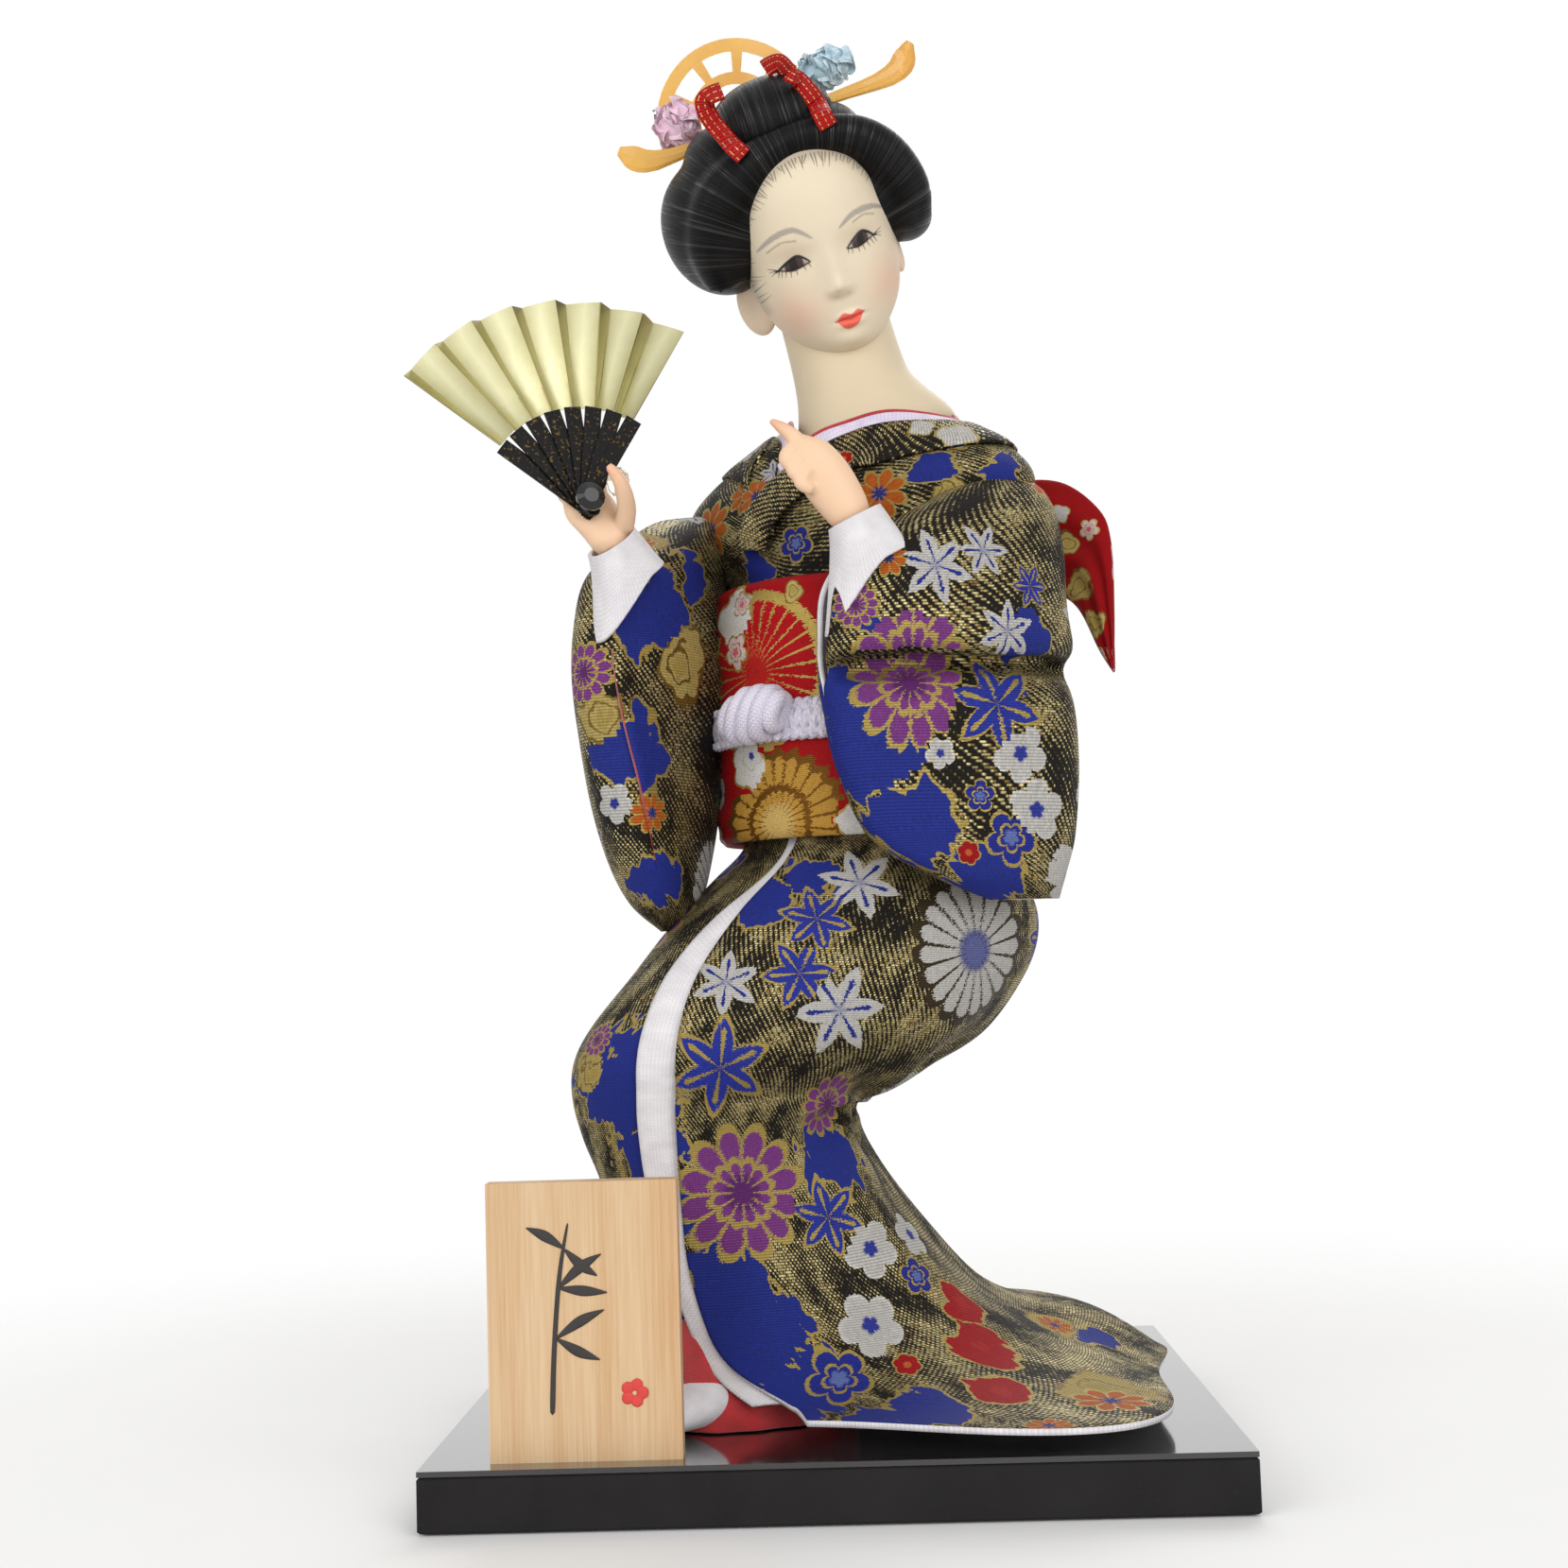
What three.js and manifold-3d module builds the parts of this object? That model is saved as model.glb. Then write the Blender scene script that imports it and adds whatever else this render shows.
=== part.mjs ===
// Kneeling dancer doll in a brocade robe, holding a folding fan, on a black display board.
// Millimetres, +Z up. The origin is the middle of the board's underside, +X is the viewer's
// right and +Y points away from the viewer. Left and right in names are the doll's own.
import * as THREE from "three";
import { mergeVertices } from "three/addons/utils/BufferGeometryUtils.js";
import Module from "manifold-3d";

const wasm = await Module();
wasm.setup();

// Clearances
const FIT_GAP = 0.4;
const TURN_GAP = 0.6;
const SEAT_GAP = 0.35;
const STUFF_GAP = 2;
const BORE_REACH = 9;

// Display board and name plate
const BOARD_WIDTH = 150;
const BOARD_DEPTH = 135;
const BOARD_THICKNESS = 10;
const BOARD_EDGE = 0.5;
const SHEET_THICKNESS = 1;
const PLATE_WIDTH = 35;
const PLATE_HEIGHT = 50;
const PLATE_THICKNESS = 5;
const PLATE_X = -45;
const PLATE_FRONT_INSET = 5;

// Fixings and armature
const SCREW_SHANK = 3.2;
const SCREW_HEAD = 7;
const SCREW_LENGTH = 26;
const DOWEL_DIAMETER = 9;
const DOWEL_LENGTH = 62;
const LEFT_DOWEL = [-12, -14];
const RIGHT_DOWEL = [-30, -18];
const WIRE_DIAMETER = 2.4;
const PEG_DIAMETER = 6;
const PEG_LENGTH = 22;
const PEG_IN_HEAD = 8;
const WRIST_RADIUS = 4;
const WRIST_DEPTH = 3;
const WRIST_HEIGHT = 2.5;

// Cloth
const CLOTH = 1.2;
const LINING = 0.6;
const OVERLAP_OFFSET = 3.2;
const LINING_OFFSET = 1.6;
const COLLAR_THICKNESS = 1.4;
const COLLAR_WIDTH = 9;
const UNDER_COLLAR_WIDTH = 5;

// Sash
const SASH_BOTTOM = 125;
const SASH_TOP = 179;
const SASH_THICKNESS = 1.8;
const CORD_HEIGHT = 149;
const CORD_WIDTH = 8;
const CORD_THICKNESS = 2.4;

// Bow
const BOW_DEPTH = 6;
const BOW_EDGE = 1.6;
const BOW_SEAT = 2.4;
const BOW_CURL = 600;
const BOW_KNOT = { width: 13, height: 24, depth: 9, middle: 184, out: 3 };

// Head
const NECK_RADIUS = 10.2;
const NOSE_REACH = 3.4;
const SOCKET_DEPTH = 1.1;
const EYE_RADIUS = 3.1;
const PIN_WIDTH = 2.6;
const PIN_THICKNESS = 1.4;
const COMB_RADIUS = 18;
const COMB_THICKNESS = 1.6;
const COMB_LEAN = 0.12;
const COMB_WINDOWS = 5;

// Fan
const FAN_RADIUS = 43;
const FAN_LEAF_INNER = 20.5;
const FAN_GORES = 7;
const FAN_GORE_ANGLE = 12.1;
const FAN_FIRST_ANGLE = 31;
const RIB_THICKNESS = 0.5;
const RIB_PITCH = 0.64;
const RIB_TIP_WIDTH = 3.4;
const RIB_HEEL_WIDTH = 3.2;
const RIB_HEEL = 3;
const RIVET_DIAMETER = 1.6;
const RIVET_CAP = 6;
const RIVET_HEAD = 1.6;
const LEAF_THICKNESS = 0.5;
const LEAF_FOLD = 2.4;
const LEAF_VALLEY = 0.7;

const BOARD_TOP = BOARD_THICKNESS + SHEET_THICKNESS;
const TAU = Math.PI * 2;

const point = (x, y, z) => new THREE.Vector3(x, y, z);
const clamp = (value, low, high) => Math.min(high, Math.max(low, value));

// Value of an even Catmull-Rom spline through the list at t from 0 to 1.
function spline(values, t) {
  const last = values.length - 1;
  const along = clamp(t, 0, 1) * last;
  const i = Math.min(Math.floor(along), last - 1);
  const f = along - i;
  const b = values[i];
  const c = values[i + 1];
  const a = i > 0 ? values[i - 1] : 2 * b - c;
  const d = i + 2 <= last ? values[i + 2] : 2 * c - b;
  const cubic = -a + 3 * b - 3 * c + d;
  const square = 2 * a - 5 * b + 4 * c - d;
  return 0.5 * (2 * b + (c - a) * f + square * f * f + cubic * f * f * f);
}

// Welds the vertices and turns the faces outward.
function closed(geometry) {
  geometry.deleteAttribute("normal");
  geometry.deleteAttribute("uv");
  const welded = mergeVertices(geometry, 1e-4);
  const p = welded.getAttribute("position");
  const index = welded.getIndex().array;
  const kept = [];
  let volume = 0;
  for (let i = 0; i < index.length; i += 3) {
    const [a, b, c] = [index[i], index[i + 1], index[i + 2]];
    if (a === b || b === c || a === c) {
      continue;
    }
    kept.push(a, b, c);
    const [u, v, w] = [a, b, c].map((k) => new THREE.Vector3().fromBufferAttribute(p, k));
    volume += u.dot(v.cross(w));
  }
  if (volume < 0) {
    for (let i = 0; i < kept.length; i += 3) {
      [kept[i], kept[i + 1]] = [kept[i + 1], kept[i]];
    }
  }
  welded.setIndex(kept);
  return welded;
}

// Moves every vertex of a primitive to place(x, y, z).
function warp(geometry, place) {
  const p = geometry.getAttribute("position");
  for (let i = 0; i < p.count; i += 1) {
    const q = place(p.getX(i), p.getY(i), p.getZ(i));
    p.setXYZ(i, q.x, q.y, q.z);
  }
  return closed(geometry);
}

// Moves every vertex of a primitive to place(u, v) by its surface coordinates.
function wrap(geometry, place) {
  const p = geometry.getAttribute("position");
  const uv = geometry.getAttribute("uv");
  for (let i = 0; i < p.count; i += 1) {
    const q = place(uv.getX(i), uv.getY(i));
    p.setXYZ(i, q.x, q.y, q.z);
  }
  return closed(geometry);
}

// Solid for the cuts.
function solid(geometry) {
  const p = geometry.getAttribute("position").array;
  const triVerts = new Uint32Array(geometry.getIndex().array);
  return new wasm.Manifold(new wasm.Mesh({ numProp: 3, vertProperties: new Float32Array(p), triVerts }));
}

// Largest body of a solid as a geometry, without the slivers that cuts leave.
const CUT_TOLERANCE = 0.1;
function shaped(body) {
  const pieces = body.decompose();
  const largest = pieces.reduce((best, next) => (next.volume() > best.volume() ? next : best));
  const made = largest.simplify(CUT_TOLERANCE).getMesh();
  const geometry = new THREE.BufferGeometry();
  geometry.setAttribute("position", new THREE.BufferAttribute(new Float32Array(made.vertProperties), 3));
  geometry.setIndex(Array.from(made.triVerts));
  return geometry;
}

// Solid left after each of the others is taken away.
const without = (body, ...others) => others.reduce((rest, next) => rest.subtract(next), body);
const joined = (first, ...others) => others.reduce((sum, next) => sum.add(next), first);

// Soft form made of rings stacked on splines. A station is
// [height, centre x, centre y, half width, half depth in front, half depth behind, turn in degrees].
class RingStack {
  constructor(stations, { ripple = () => 0, rise = () => 0, fullness = 1 } = {}) {
    this.columns = stations[0].map((_, k) => stations.map((station) => station[k]));
    this.ripple = ripple;
    this.rise = rise;
    this.fullness = fullness;
  }

  centre(v) {
    return point(spline(this.columns[1], v), spline(this.columns[2], v), spline(this.columns[0], v));
  }

  // u runs round the ring from its right end over the back, v up the stack.
  at(u, v) {
    const [z, x, y, width, front, back, turn] = this.columns.map((column) => spline(column, v));
    const angle = u * TAU;
    const heading = THREE.MathUtils.degToRad(turn);
    const grow = 1 + this.ripple(u, v);
    const full = (value) => Math.sign(value) * Math.abs(value) ** this.fullness;
    const across = width * full(Math.cos(angle)) * grow;
    const deep = (Math.sin(angle) > 0 ? back : front) * full(Math.sin(angle)) * grow;
    return point(
      x + across * Math.cos(heading) - deep * Math.sin(heading),
      y + across * Math.sin(heading) + deep * Math.cos(heading),
      z + this.rise(u, v),
    );
  }

  // Surface point moved out along the surface's normal.
  offset(u, v, out) {
    const here = this.at(u, v);
    const step = 0.004;
    const along = this.at(u + step, v).sub(this.at(u - step, v));
    const up = this.at(u, Math.min(v + step, 1)).sub(this.at(u, Math.max(v - step, 0)));
    return here.addScaledVector(along.cross(up).normalize(), out);
  }

  // Level of the stack at a height.
  level(height) {
    let [low, high] = [0, 1];
    for (let i = 0; i < 40; i += 1) {
      const middle = (low + high) / 2;
      if (spline(this.columns[0], middle) < height) {
        low = middle;
      } else {
        high = middle;
      }
    }
    return (low + high) / 2;
  }

  filled(from, to, out, around, rows) {
    return warp(new THREE.CylinderGeometry(1, 1, 1, around, rows), (x, y, z) => {
      const v = from + (to - from) * (y + 0.5);
      const centre = this.centre(v);
      return Math.hypot(x, z) < 0.5 ? centre : this.offset(Math.atan2(x, z) / TAU, v, out);
    });
  }

  shell(from, to, inner, outer, around, rows) {
    const count = 2 * rows + 3;
    const profile = Array.from({ length: count }, (_, k) => new THREE.Vector2(1, k));
    return wrap(new THREE.LatheGeometry(profile, around), (u, w) => {
      const k = Math.round(w * (count - 1)) % (count - 1);
      const outside = k <= rows;
      const step = outside ? k : 2 * rows + 1 - k;
      return this.offset(u, from + ((to - from) * step) / rows, outside ? outer : inner);
    });
  }

  // Slab on the surface between two edges that move with the level.
  sheet(from, to, edges, lift, thickness, around, rows) {
    return warp(new THREE.BoxGeometry(1, 1, 1, around, rows, 1), (x, y, z) => {
      const v = from + (to - from) * (y + 0.5);
      const [first, last] = edges(v);
      const u = first + (last - first) * (x + 0.5);
      return this.offset(u, v, lift(u, v) + z * thickness);
    });
  }
}

// Tapering limb along a spline path with half widths along the side vector and half thicknesses across it.
function limb(path, wide, thick, side, around = 12, rows = 8) {
  const curve = new THREE.CatmullRomCurve3(path);
  return warp(new THREE.CylinderGeometry(1, 1, 1, around, rows), (x, y, z) => {
    const t = y + 0.5;
    const tangent = curve.getTangent(t);
    const across = side.clone().addScaledVector(tangent, -side.dot(tangent)).normalize();
    const over = tangent.clone().cross(across);
    const here = curve.getPoint(t);
    here.addScaledVector(across, x * spline(wide, t));
    return here.addScaledVector(over, z * spline(thick, t));
  });
}

// Flat band along a spline path, facing away from an upright axis.
function band(path, facings, widths, thickness, rows) {
  const curve = new THREE.CatmullRomCurve3(path);
  const turns = new THREE.CatmullRomCurve3(facings);
  return warp(new THREE.BoxGeometry(1, 1, 1, 1, rows, 1), (x, y, z) => {
    const t = y + 0.5;
    const here = curve.getPoint(t);
    const tangent = curve.getTangent(t);
    const outward = turns.getPoint(t);
    const facing = outward.addScaledVector(tangent, -outward.dot(tangent)).normalize();
    const side = tangent.clone().cross(facing);
    here.addScaledVector(side, x * spline(widths, t));
    return here.addScaledVector(facing, z * thickness);
  });
}

// Round wire along a spline path.
function wire(path, diameter, steps) {
  const round = new THREE.Shape();
  round.absarc(0, 0, diameter / 2, 0, TAU);
  const extrudePath = new THREE.CatmullRomCurve3(path);
  return closed(new THREE.ExtrudeGeometry(round, { steps, curveSegments: 3, extrudePath }));
}

// Profile of a plain round bar between two heights.
const barProfile = (radius, low, high) => [[0, low], [radius, low], [radius, high], [0, high]];

// Turned piece standing at a place, its profile given as [radius, height] pairs.
function turned(profile, place, around = 24) {
  const lathe = new THREE.LatheGeometry(profile.map(([r, h]) => new THREE.Vector2(r, h)), around);
  lathe.rotateX(Math.PI / 2);
  lathe.translate(...place);
  return closed(lathe);
}

function rod(diameter, low, high, place, around = 14) {
  return turned(barProfile(diameter / 2, low, high), [place[0], place[1], 0], around);
}

// Turned piece along an axis through a base point.
function turnedAlong(profile, base, axis, around = 24) {
  const lathe = new THREE.LatheGeometry(profile.map(([r, h]) => new THREE.Vector2(r, h)), around);
  lathe.applyQuaternion(new THREE.Quaternion().setFromUnitVectors(point(0, 1, 0), axis));
  lathe.translate(base.x, base.y, base.z);
  return closed(lathe);
}

// Extruded outline of corner points, softened at its edges.
function plate(corners, depth, bevel) {
  const shape = new THREE.Shape(corners.map(([x, y]) => new THREE.Vector2(x, y)));
  const options = { depth: depth - 2 * bevel, bevelEnabled: bevel > 0, bevelSegments: 1 };
  options.bevelThickness = bevel;
  options.bevelSize = bevel;
  options.bevelOffset = -bevel;
  const made = new THREE.ExtrudeGeometry(shape, options);
  made.translate(0, 0, bevel);
  return made;
}

function box(width, depth, low, high, bevel) {
  const [w, d] = [width / 2, depth / 2];
  const made = plate([[-w, -d], [w, -d], [w, d], [-w, d]], high - low, bevel);
  return closed(made.translate(0, 0, low));
}

const doll = new THREE.Group();
doll.name = "geisha_doll";

// Empty group for one sub-assembly of the doll.
function assembly(name) {
  const group = new THREE.Group();
  group.name = name;
  doll.add(group);
  return group;
}
const stand = assembly("stand");
const figure = assembly("figure");
const clothes = assembly("clothes");
const headdress = assembly("headdress");
const fan = assembly("fan");

const FINISH = {
  board: [0x1d1b1c, 0.55, 0],
  gloss: [0x161516, 0.08, 0],
  pine: [0xe9c793, 0.6, 0],
  steel: [0xb8bac0, 0.35, 1],
  beech: [0xcfa878, 0.65, 0],
  foam: [0xe6dfcf, 0.9, 0],
  brocade: [0x353a78, 0.6, 0.1],
  red: [0xb8161c, 0.6, 0],
  satin: [0xa80f18, 0.4, 0],
  white: [0xe4e0e8, 0.8, 0],
  skin: [0xe2d4b8, 0.5, 0],
  hand: [0xecc4a0, 0.5, 0],
  eye: [0x1c120d, 0.1, 0],
  hair: [0x0b0a0b, 0.4, 0],
  comb: [0xe0a845, 0.35, 0],
  pink: [0xe2afc8, 0.8, 0],
  blue: [0xa9c9d2, 0.8, 0],
  lacquer: [0x121012, 0.15, 0],
  foil: [0xd9cf8e, 0.15, 1],
  glue: [0xe8e4da, 0.2, 0],
};

// Hangs a named piece of one finish in its sub-assembly.
function add(group, name, geometry, finish) {
  const [color, roughness, metalness] = FINISH[finish];
  const mesh = new THREE.Mesh(geometry, new THREE.MeshStandardMaterial({ color, roughness, metalness }));
  mesh.name = name;
  group.add(mesh);
}

// Display board: a painted core under a gloss sheet, bored for the two screws that hold the legs.
const boardCore = solid(box(BOARD_WIDTH, BOARD_DEPTH, 0, BOARD_THICKNESS, BOARD_EDGE));
const boardSheet = solid(box(BOARD_WIDTH, BOARD_DEPTH, BOARD_THICKNESS, BOARD_TOP, 0));
const SCREW_RECESS = 1;
const SCREW_BOTTOM = SCREW_RECESS;
const SCREW_TOP = SCREW_BOTTOM + SCREW_LENGTH;
const SCREW_TAPER = 2.6;
const SCREW_RIM = 0.6;
const SCREW_POINT = 2;

// Profile of a countersunk screw, or of its bore where it is grown.
function screw(grow) {
  const head = SCREW_HEAD / 2 + grow;
  const shank = SCREW_SHANK / 2 + grow;
  const low = grow > 0 ? SCREW_BOTTOM - 1.4 * SCREW_RECESS : SCREW_BOTTOM;
  return [
    [0, low],
    [head, low],
    [head, SCREW_BOTTOM + SCREW_RIM],
    [shank, SCREW_BOTTOM + SCREW_RIM + SCREW_TAPER],
    [shank, SCREW_TOP - SCREW_POINT + grow],
    [0, SCREW_TOP + grow],
  ];
}

const screwBores = [LEFT_DOWEL, RIGHT_DOWEL].map(([x, y]) => solid(turned(screw(SEAT_GAP), [x, y, 0], 12)));
add(stand, "base_board", shaped(without(boardCore, ...screwBores)), "board");
add(stand, "base_top_sheet", shaped(without(boardSheet, ...screwBores)), "gloss");
add(stand, "screw_left", turned(screw(0), [...LEFT_DOWEL, 0], 12), "steel");
add(stand, "screw_right", turned(screw(0), [...RIGHT_DOWEL, 0], 12), "steel");

const DOWEL_TOP = BOARD_TOP + DOWEL_LENGTH;
const dowel = (place, grow) => solid(rod(DOWEL_DIAMETER + 2 * grow, BOARD_TOP, DOWEL_TOP + grow, place));
add(figure, "leg_dowel_left", shaped(without(dowel(LEFT_DOWEL, 0), screwBores[0])), "beech");
add(figure, "leg_dowel_right", shaped(without(dowel(RIGHT_DOWEL, 0), screwBores[1])), "beech");

const nameplate = box(PLATE_WIDTH, PLATE_THICKNESS, BOARD_TOP, BOARD_TOP + PLATE_HEIGHT, 0);
const PLATE_Y = -BOARD_DEPTH / 2 + PLATE_FRONT_INSET + PLATE_THICKNESS / 2;
nameplate.translate(PLATE_X, PLATE_Y, 0);
add(stand, "name_plate", nameplate, "pine");

// Robe below the sash: thighs reach to the viewer's left, the shins drop and the hem spreads into a train.
const HEM_CORNER = 0.845;
const HEM_CORNER_SPREAD = 0.055;
const HEM_CORNER_REACH = 0.42;
const HUMP_TURN = 0.07;
const HUMP_LEVEL = 0.1;
const HUMP_HEIGHT = 7;
const HUMP_SPREAD = [0.11, 0.07];
const FOLD_DEPTH = 0.035;
const FOLD_COUNT = 9;
const FOLD_TURN = 0.6;
const FOLDS_END = 0.3;
const OVERLAP_FROM = 1;
const OVERLAP_TO = 1.36;
const HEM_LIFT = SEAT_GAP + CLOTH / 2;
const skirtStations = [
  [BOARD_TOP + HEM_LIFT, -2, 6, 69.5, 60, 48, 0],
  [BOARD_TOP + HEM_LIFT + 1.6, -3, 5, 61, 51.5, 43, 3],
  [19, -7, 2, 51, 41.5, 37, 9],
  [29, -10, -5, 39.5, 30, 29, 18],
  [43, -13.5, -11, 31, 21, 20, 22],
  [56, -19, -14, 27.5, 17, 17, 23],
  [66, -23.5, -15.5, 26.5, 16.5, 16.5, 23],
  [74, -23, -15.5, 29, 17.5, 17.5, 23],
  [81, -16, -13, 36, 21, 21, 23],
  [88, -7.5, -10, 41, 23, 23, 22],
  [98, 0.5, -7, 40.5, 23.5, 24, 20],
  [108, 5.5, -4, 37, 23, 23.5, 15],
  [117, 7.5, -1.5, 30, 20.5, 21, 8],
  [123, 7.5, 0, 24, 18.5, 18.5, -4],
  [129, 7, 1, 21, 17.5, 17.5, -14],
];
// The hem's front right corner spreads over the board, and soft folds run up from the hem.
function skirtRipple(u, v) {
  const low = clamp(1 - v / FOLDS_END, 0, 1);
  const turn = ((u % 1) - HEM_CORNER) / HEM_CORNER_SPREAD;
  const corner = HEM_CORNER_REACH * Math.exp(-turn * turn) * low * low;
  const wave = Math.sin(u * TAU * FOLD_COUNT + FOLD_TURN);
  const folds = FOLD_DEPTH * wave * low * clamp(v / 0.06, 0.35, 1);
  return corner + folds;
}
// The train behind the knees lies in a low hump.
function skirtRise(u, v) {
  const round = ((u + 0.5) % 1) - 0.5 - HUMP_TURN;
  const along = (v - HUMP_LEVEL) / HUMP_SPREAD[1];
  return HUMP_HEIGHT * Math.exp(-((round / HUMP_SPREAD[0]) ** 2) - along * along);
}
const skirt = new RingStack(skirtStations, { ripple: skirtRipple, rise: skirtRise });
// Turns at which the cloth's outer and inner edges lie, one for each station.
const outerEdge = [
  0.77, 0.745, 0.7, 0.66, 0.652, 0.652, 0.652, 0.648, 0.64, 0.63, 0.62, 0.624, 0.65, 0.68, 0.7,
];
const innerEdge = [
  1.52, 1.54, 1.57, 1.62, 1.7, 1.74, 1.76, 1.77, 1.78, 1.79, 1.8, 1.82, 1.85, 1.87, 1.88,
];
const skirtEdges = (v) => [spline(outerEdge, v), spline(innerEdge, v)];
const skirtLift = (u) => OVERLAP_OFFSET * (1 - THREE.MathUtils.smoothstep(u, OVERLAP_FROM, OVERLAP_TO));
const TURN_PER_MM = 0.008;
function robeSkirt(grow) {
  const spread = grow * TURN_PER_MM;
  const edges = (v) => [skirtEdges(v)[0] - spread, skirtEdges(v)[1] + spread];
  return skirt.sheet(0, 1, edges, skirtLift, CLOTH + 2 * grow, 28, 15);
}
add(clothes, "robe_skirt", robeSkirt(0), "brocade");

// White lining that shows along the outer edge, in turns of the ring at each station.
const bandWidths = [
  0.012, 0.012, 0.014, 0.016, 0.02, 0.034, 0.048, 0.056, 0.056, 0.048, 0.038, 0.028, 0.022, 0.018, 0.016,
];
const BAND_TUCK = 0.03;
const BAND_FROM = 0.1;
const BAND_TO = 0.97;
const bandEdges = (v) => [spline(outerEdge, v) - spline(bandWidths, v), spline(outerEdge, v) + BAND_TUCK];
const bandLift = () => LINING_OFFSET;
const liningSheet = (thickness) => skirt.sheet(BAND_FROM, BAND_TO, bandEdges, bandLift, thickness, 2, 15);
const lining = (grow) => solid(liningSheet(LINING + 2 * grow));
const robeClear = solid(robeSkirt(2 * FIT_GAP));
const liningClear = lining(SEAT_GAP);
add(clothes, "lining_band", shaped(without(lining(0), robeClear)), "white");

// Stuffed thighs and shins inside the robe, bored for the leg dowels.
const PADDING_LOW = skirt.level(46);
const PADDING_HIGH = skirt.level(126);
const padding = solid(skirt.filled(PADDING_LOW, PADDING_HIGH, -(CLOTH / 2 + STUFF_GAP), 14, 9));
const dowelBores = [dowel(LEFT_DOWEL, SEAT_GAP), dowel(RIGHT_DOWEL, SEAT_GAP)];
add(figure, "leg_padding", shaped(without(padding, ...dowelBores)), "foam");

// Feet in white split-toe socks, the nearer one showing under the hem.
const LEFT_FOOT = [[-12, -25], [-38, -49]];
const RIGHT_FOOT = [[-26, 6], [-52, -12]];
const FOOT_MIDDLES = [6.2, 6.2, 5, 3.4, 2.2];
const FOOT_HALF_WIDTHS = [4.6, 6, 6.4, 6.6, 2.2];
const FOOT_HALF_HEIGHTS = [5.6, 6, 4.8, 3.2, 1.4];
const footRest = BOARD_TOP + SEAT_GAP;
function foot([heel, toe], grow = 0) {
  const side = point(heel[1] - toe[1], toe[0] - heel[0], 0).normalize();
  const path = FOOT_MIDDLES.map((height, k) => {
    const f = k / (FOOT_MIDDLES.length - 1);
    return point(heel[0] + (toe[0] - heel[0]) * f, heel[1] + (toe[1] - heel[1]) * f, footRest + height);
  });
  const wide = FOOT_HALF_WIDTHS.map((r) => r + grow);
  const thick = FOOT_HALF_HEIGHTS.map((r) => r + grow);
  return solid(limb(path, wide, thick, side, 9, 5));
}
const floorCut = solid(box(2 * BOARD_WIDTH, 2 * BOARD_DEPTH, 0, footRest, 0));
const leftFoot = without(foot(LEFT_FOOT), floorCut);
const rightFoot = without(foot(RIGHT_FOOT), floorCut);
add(figure, "foot_left", shaped(without(leftFoot, ...dowelBores)), "white");
add(figure, "foot_right", shaped(without(rightFoot, ...dowelBores)), "white");

// Red underskirt round the ankles, its hem resting on the board and its top on the stuffed shins.
const underStations = [
  [BOARD_TOP + SEAT_GAP, -19, -20, 23, 22, 21, 23],
  [17, -19, -19, 24, 22, 20, 23],
  [27, -18.5, -17, 23, 19, 18.5, 23],
  [45, -18, -14.5, 21, 14.5, 14.5, 23],
];
const underskirt = new RingStack(underStations, { ripple: (u) => 0.03 * Math.sin(u * TAU * 5) });
const footClear = [foot(LEFT_FOOT, FIT_GAP), foot(RIGHT_FOOT, FIT_GAP)];
const underCuts = [...dowelBores, ...footClear, robeClear, liningClear];
const under = without(solid(underskirt.filled(0, 1, 0, 15, 3)), ...underCuts);
add(clothes, "under_skirt", shaped(under), "satin");

// Robe above the waist, turned to the viewer's left, over a foam torso.
const bodiceStations = [
  [129.5, 7, 1, 21.5, 17.5, 17.5, -30],
  [150, 7, 1, 23, 19, 18.5, -30],
  [170, 8, 1.5, 24.5, 20, 18.5, -30],
  [181, 8.5, 2, 27, 21, 18.5, -30],
  [190, 9.5, 2, 36, 21.5, 18.5, -30],
  [198, 10.5, 2.5, 41, 20, 17, -30],
  [205, 11.5, 3.5, 36, 18, 16, -30],
  [211, 13, 4.5, 26, 17.5, 15.5, -30],
  [214.5, 14, 5, 20, 18, 16, -30],
];
const bodice = new RingStack(bodiceStations);
const bodiceOuter = (grow) => solid(bodice.filled(0, 1, CLOTH / 2 + grow, 20, 8));

// Neck axis and the flare that hides inside the collar.
const NECK_BASE = point(13.4, 6, 213);
const NECK_AXIS = point(-0.23, 0.01, 0.973).normalize();
const FLARE = [[1.62, -3], [1.56, 0], [1.33, 4], [1.1, 9], [1, 14], [0.98, 22], [0.9, 34]];
const NECK_LOW = FLARE[0][1];
const NECK_HIGH = FLARE[FLARE.length - 1][1];
function neck(grow) {
  const profile = FLARE.map(([r, h]) => [r * NECK_RADIUS + grow, h]);
  const low = NECK_LOW - grow;
  const outline = [[0, low], [profile[0][0], low], ...profile, [0, NECK_HIGH]];
  return solid(turnedAlong(outline, NECK_BASE, NECK_AXIS, 18));
}
function peg(grow) {
  const r = PEG_DIAMETER / 2 + grow;
  const low = NECK_LOW - PEG_LENGTH - grow;
  const high = NECK_LOW + PEG_IN_HEAD + grow;
  return solid(turnedAlong(barProfile(r, low, high), NECK_BASE, NECK_AXIS, 12));
}

// Wire arms from the torso to the wrists.
const leftWirePath = [
  point(20, -2, 190), point(36, -12, 188), point(44, -20, 176), point(32, -29, 172), point(14, -35.5, 179),
  point(9, -37, 189),
];
const rightWirePath = [
  point(-2, 8, 190), point(-18, 15, 188), point(-29, 5, 175), point(-34, -12, 172), point(-37.5, -25, 181),
  point(-41, -29.5, 187.5),
];
const wireBore = (path, gap) => solid(wire(path, WIRE_DIAMETER + 2 * gap, 12));
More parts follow.
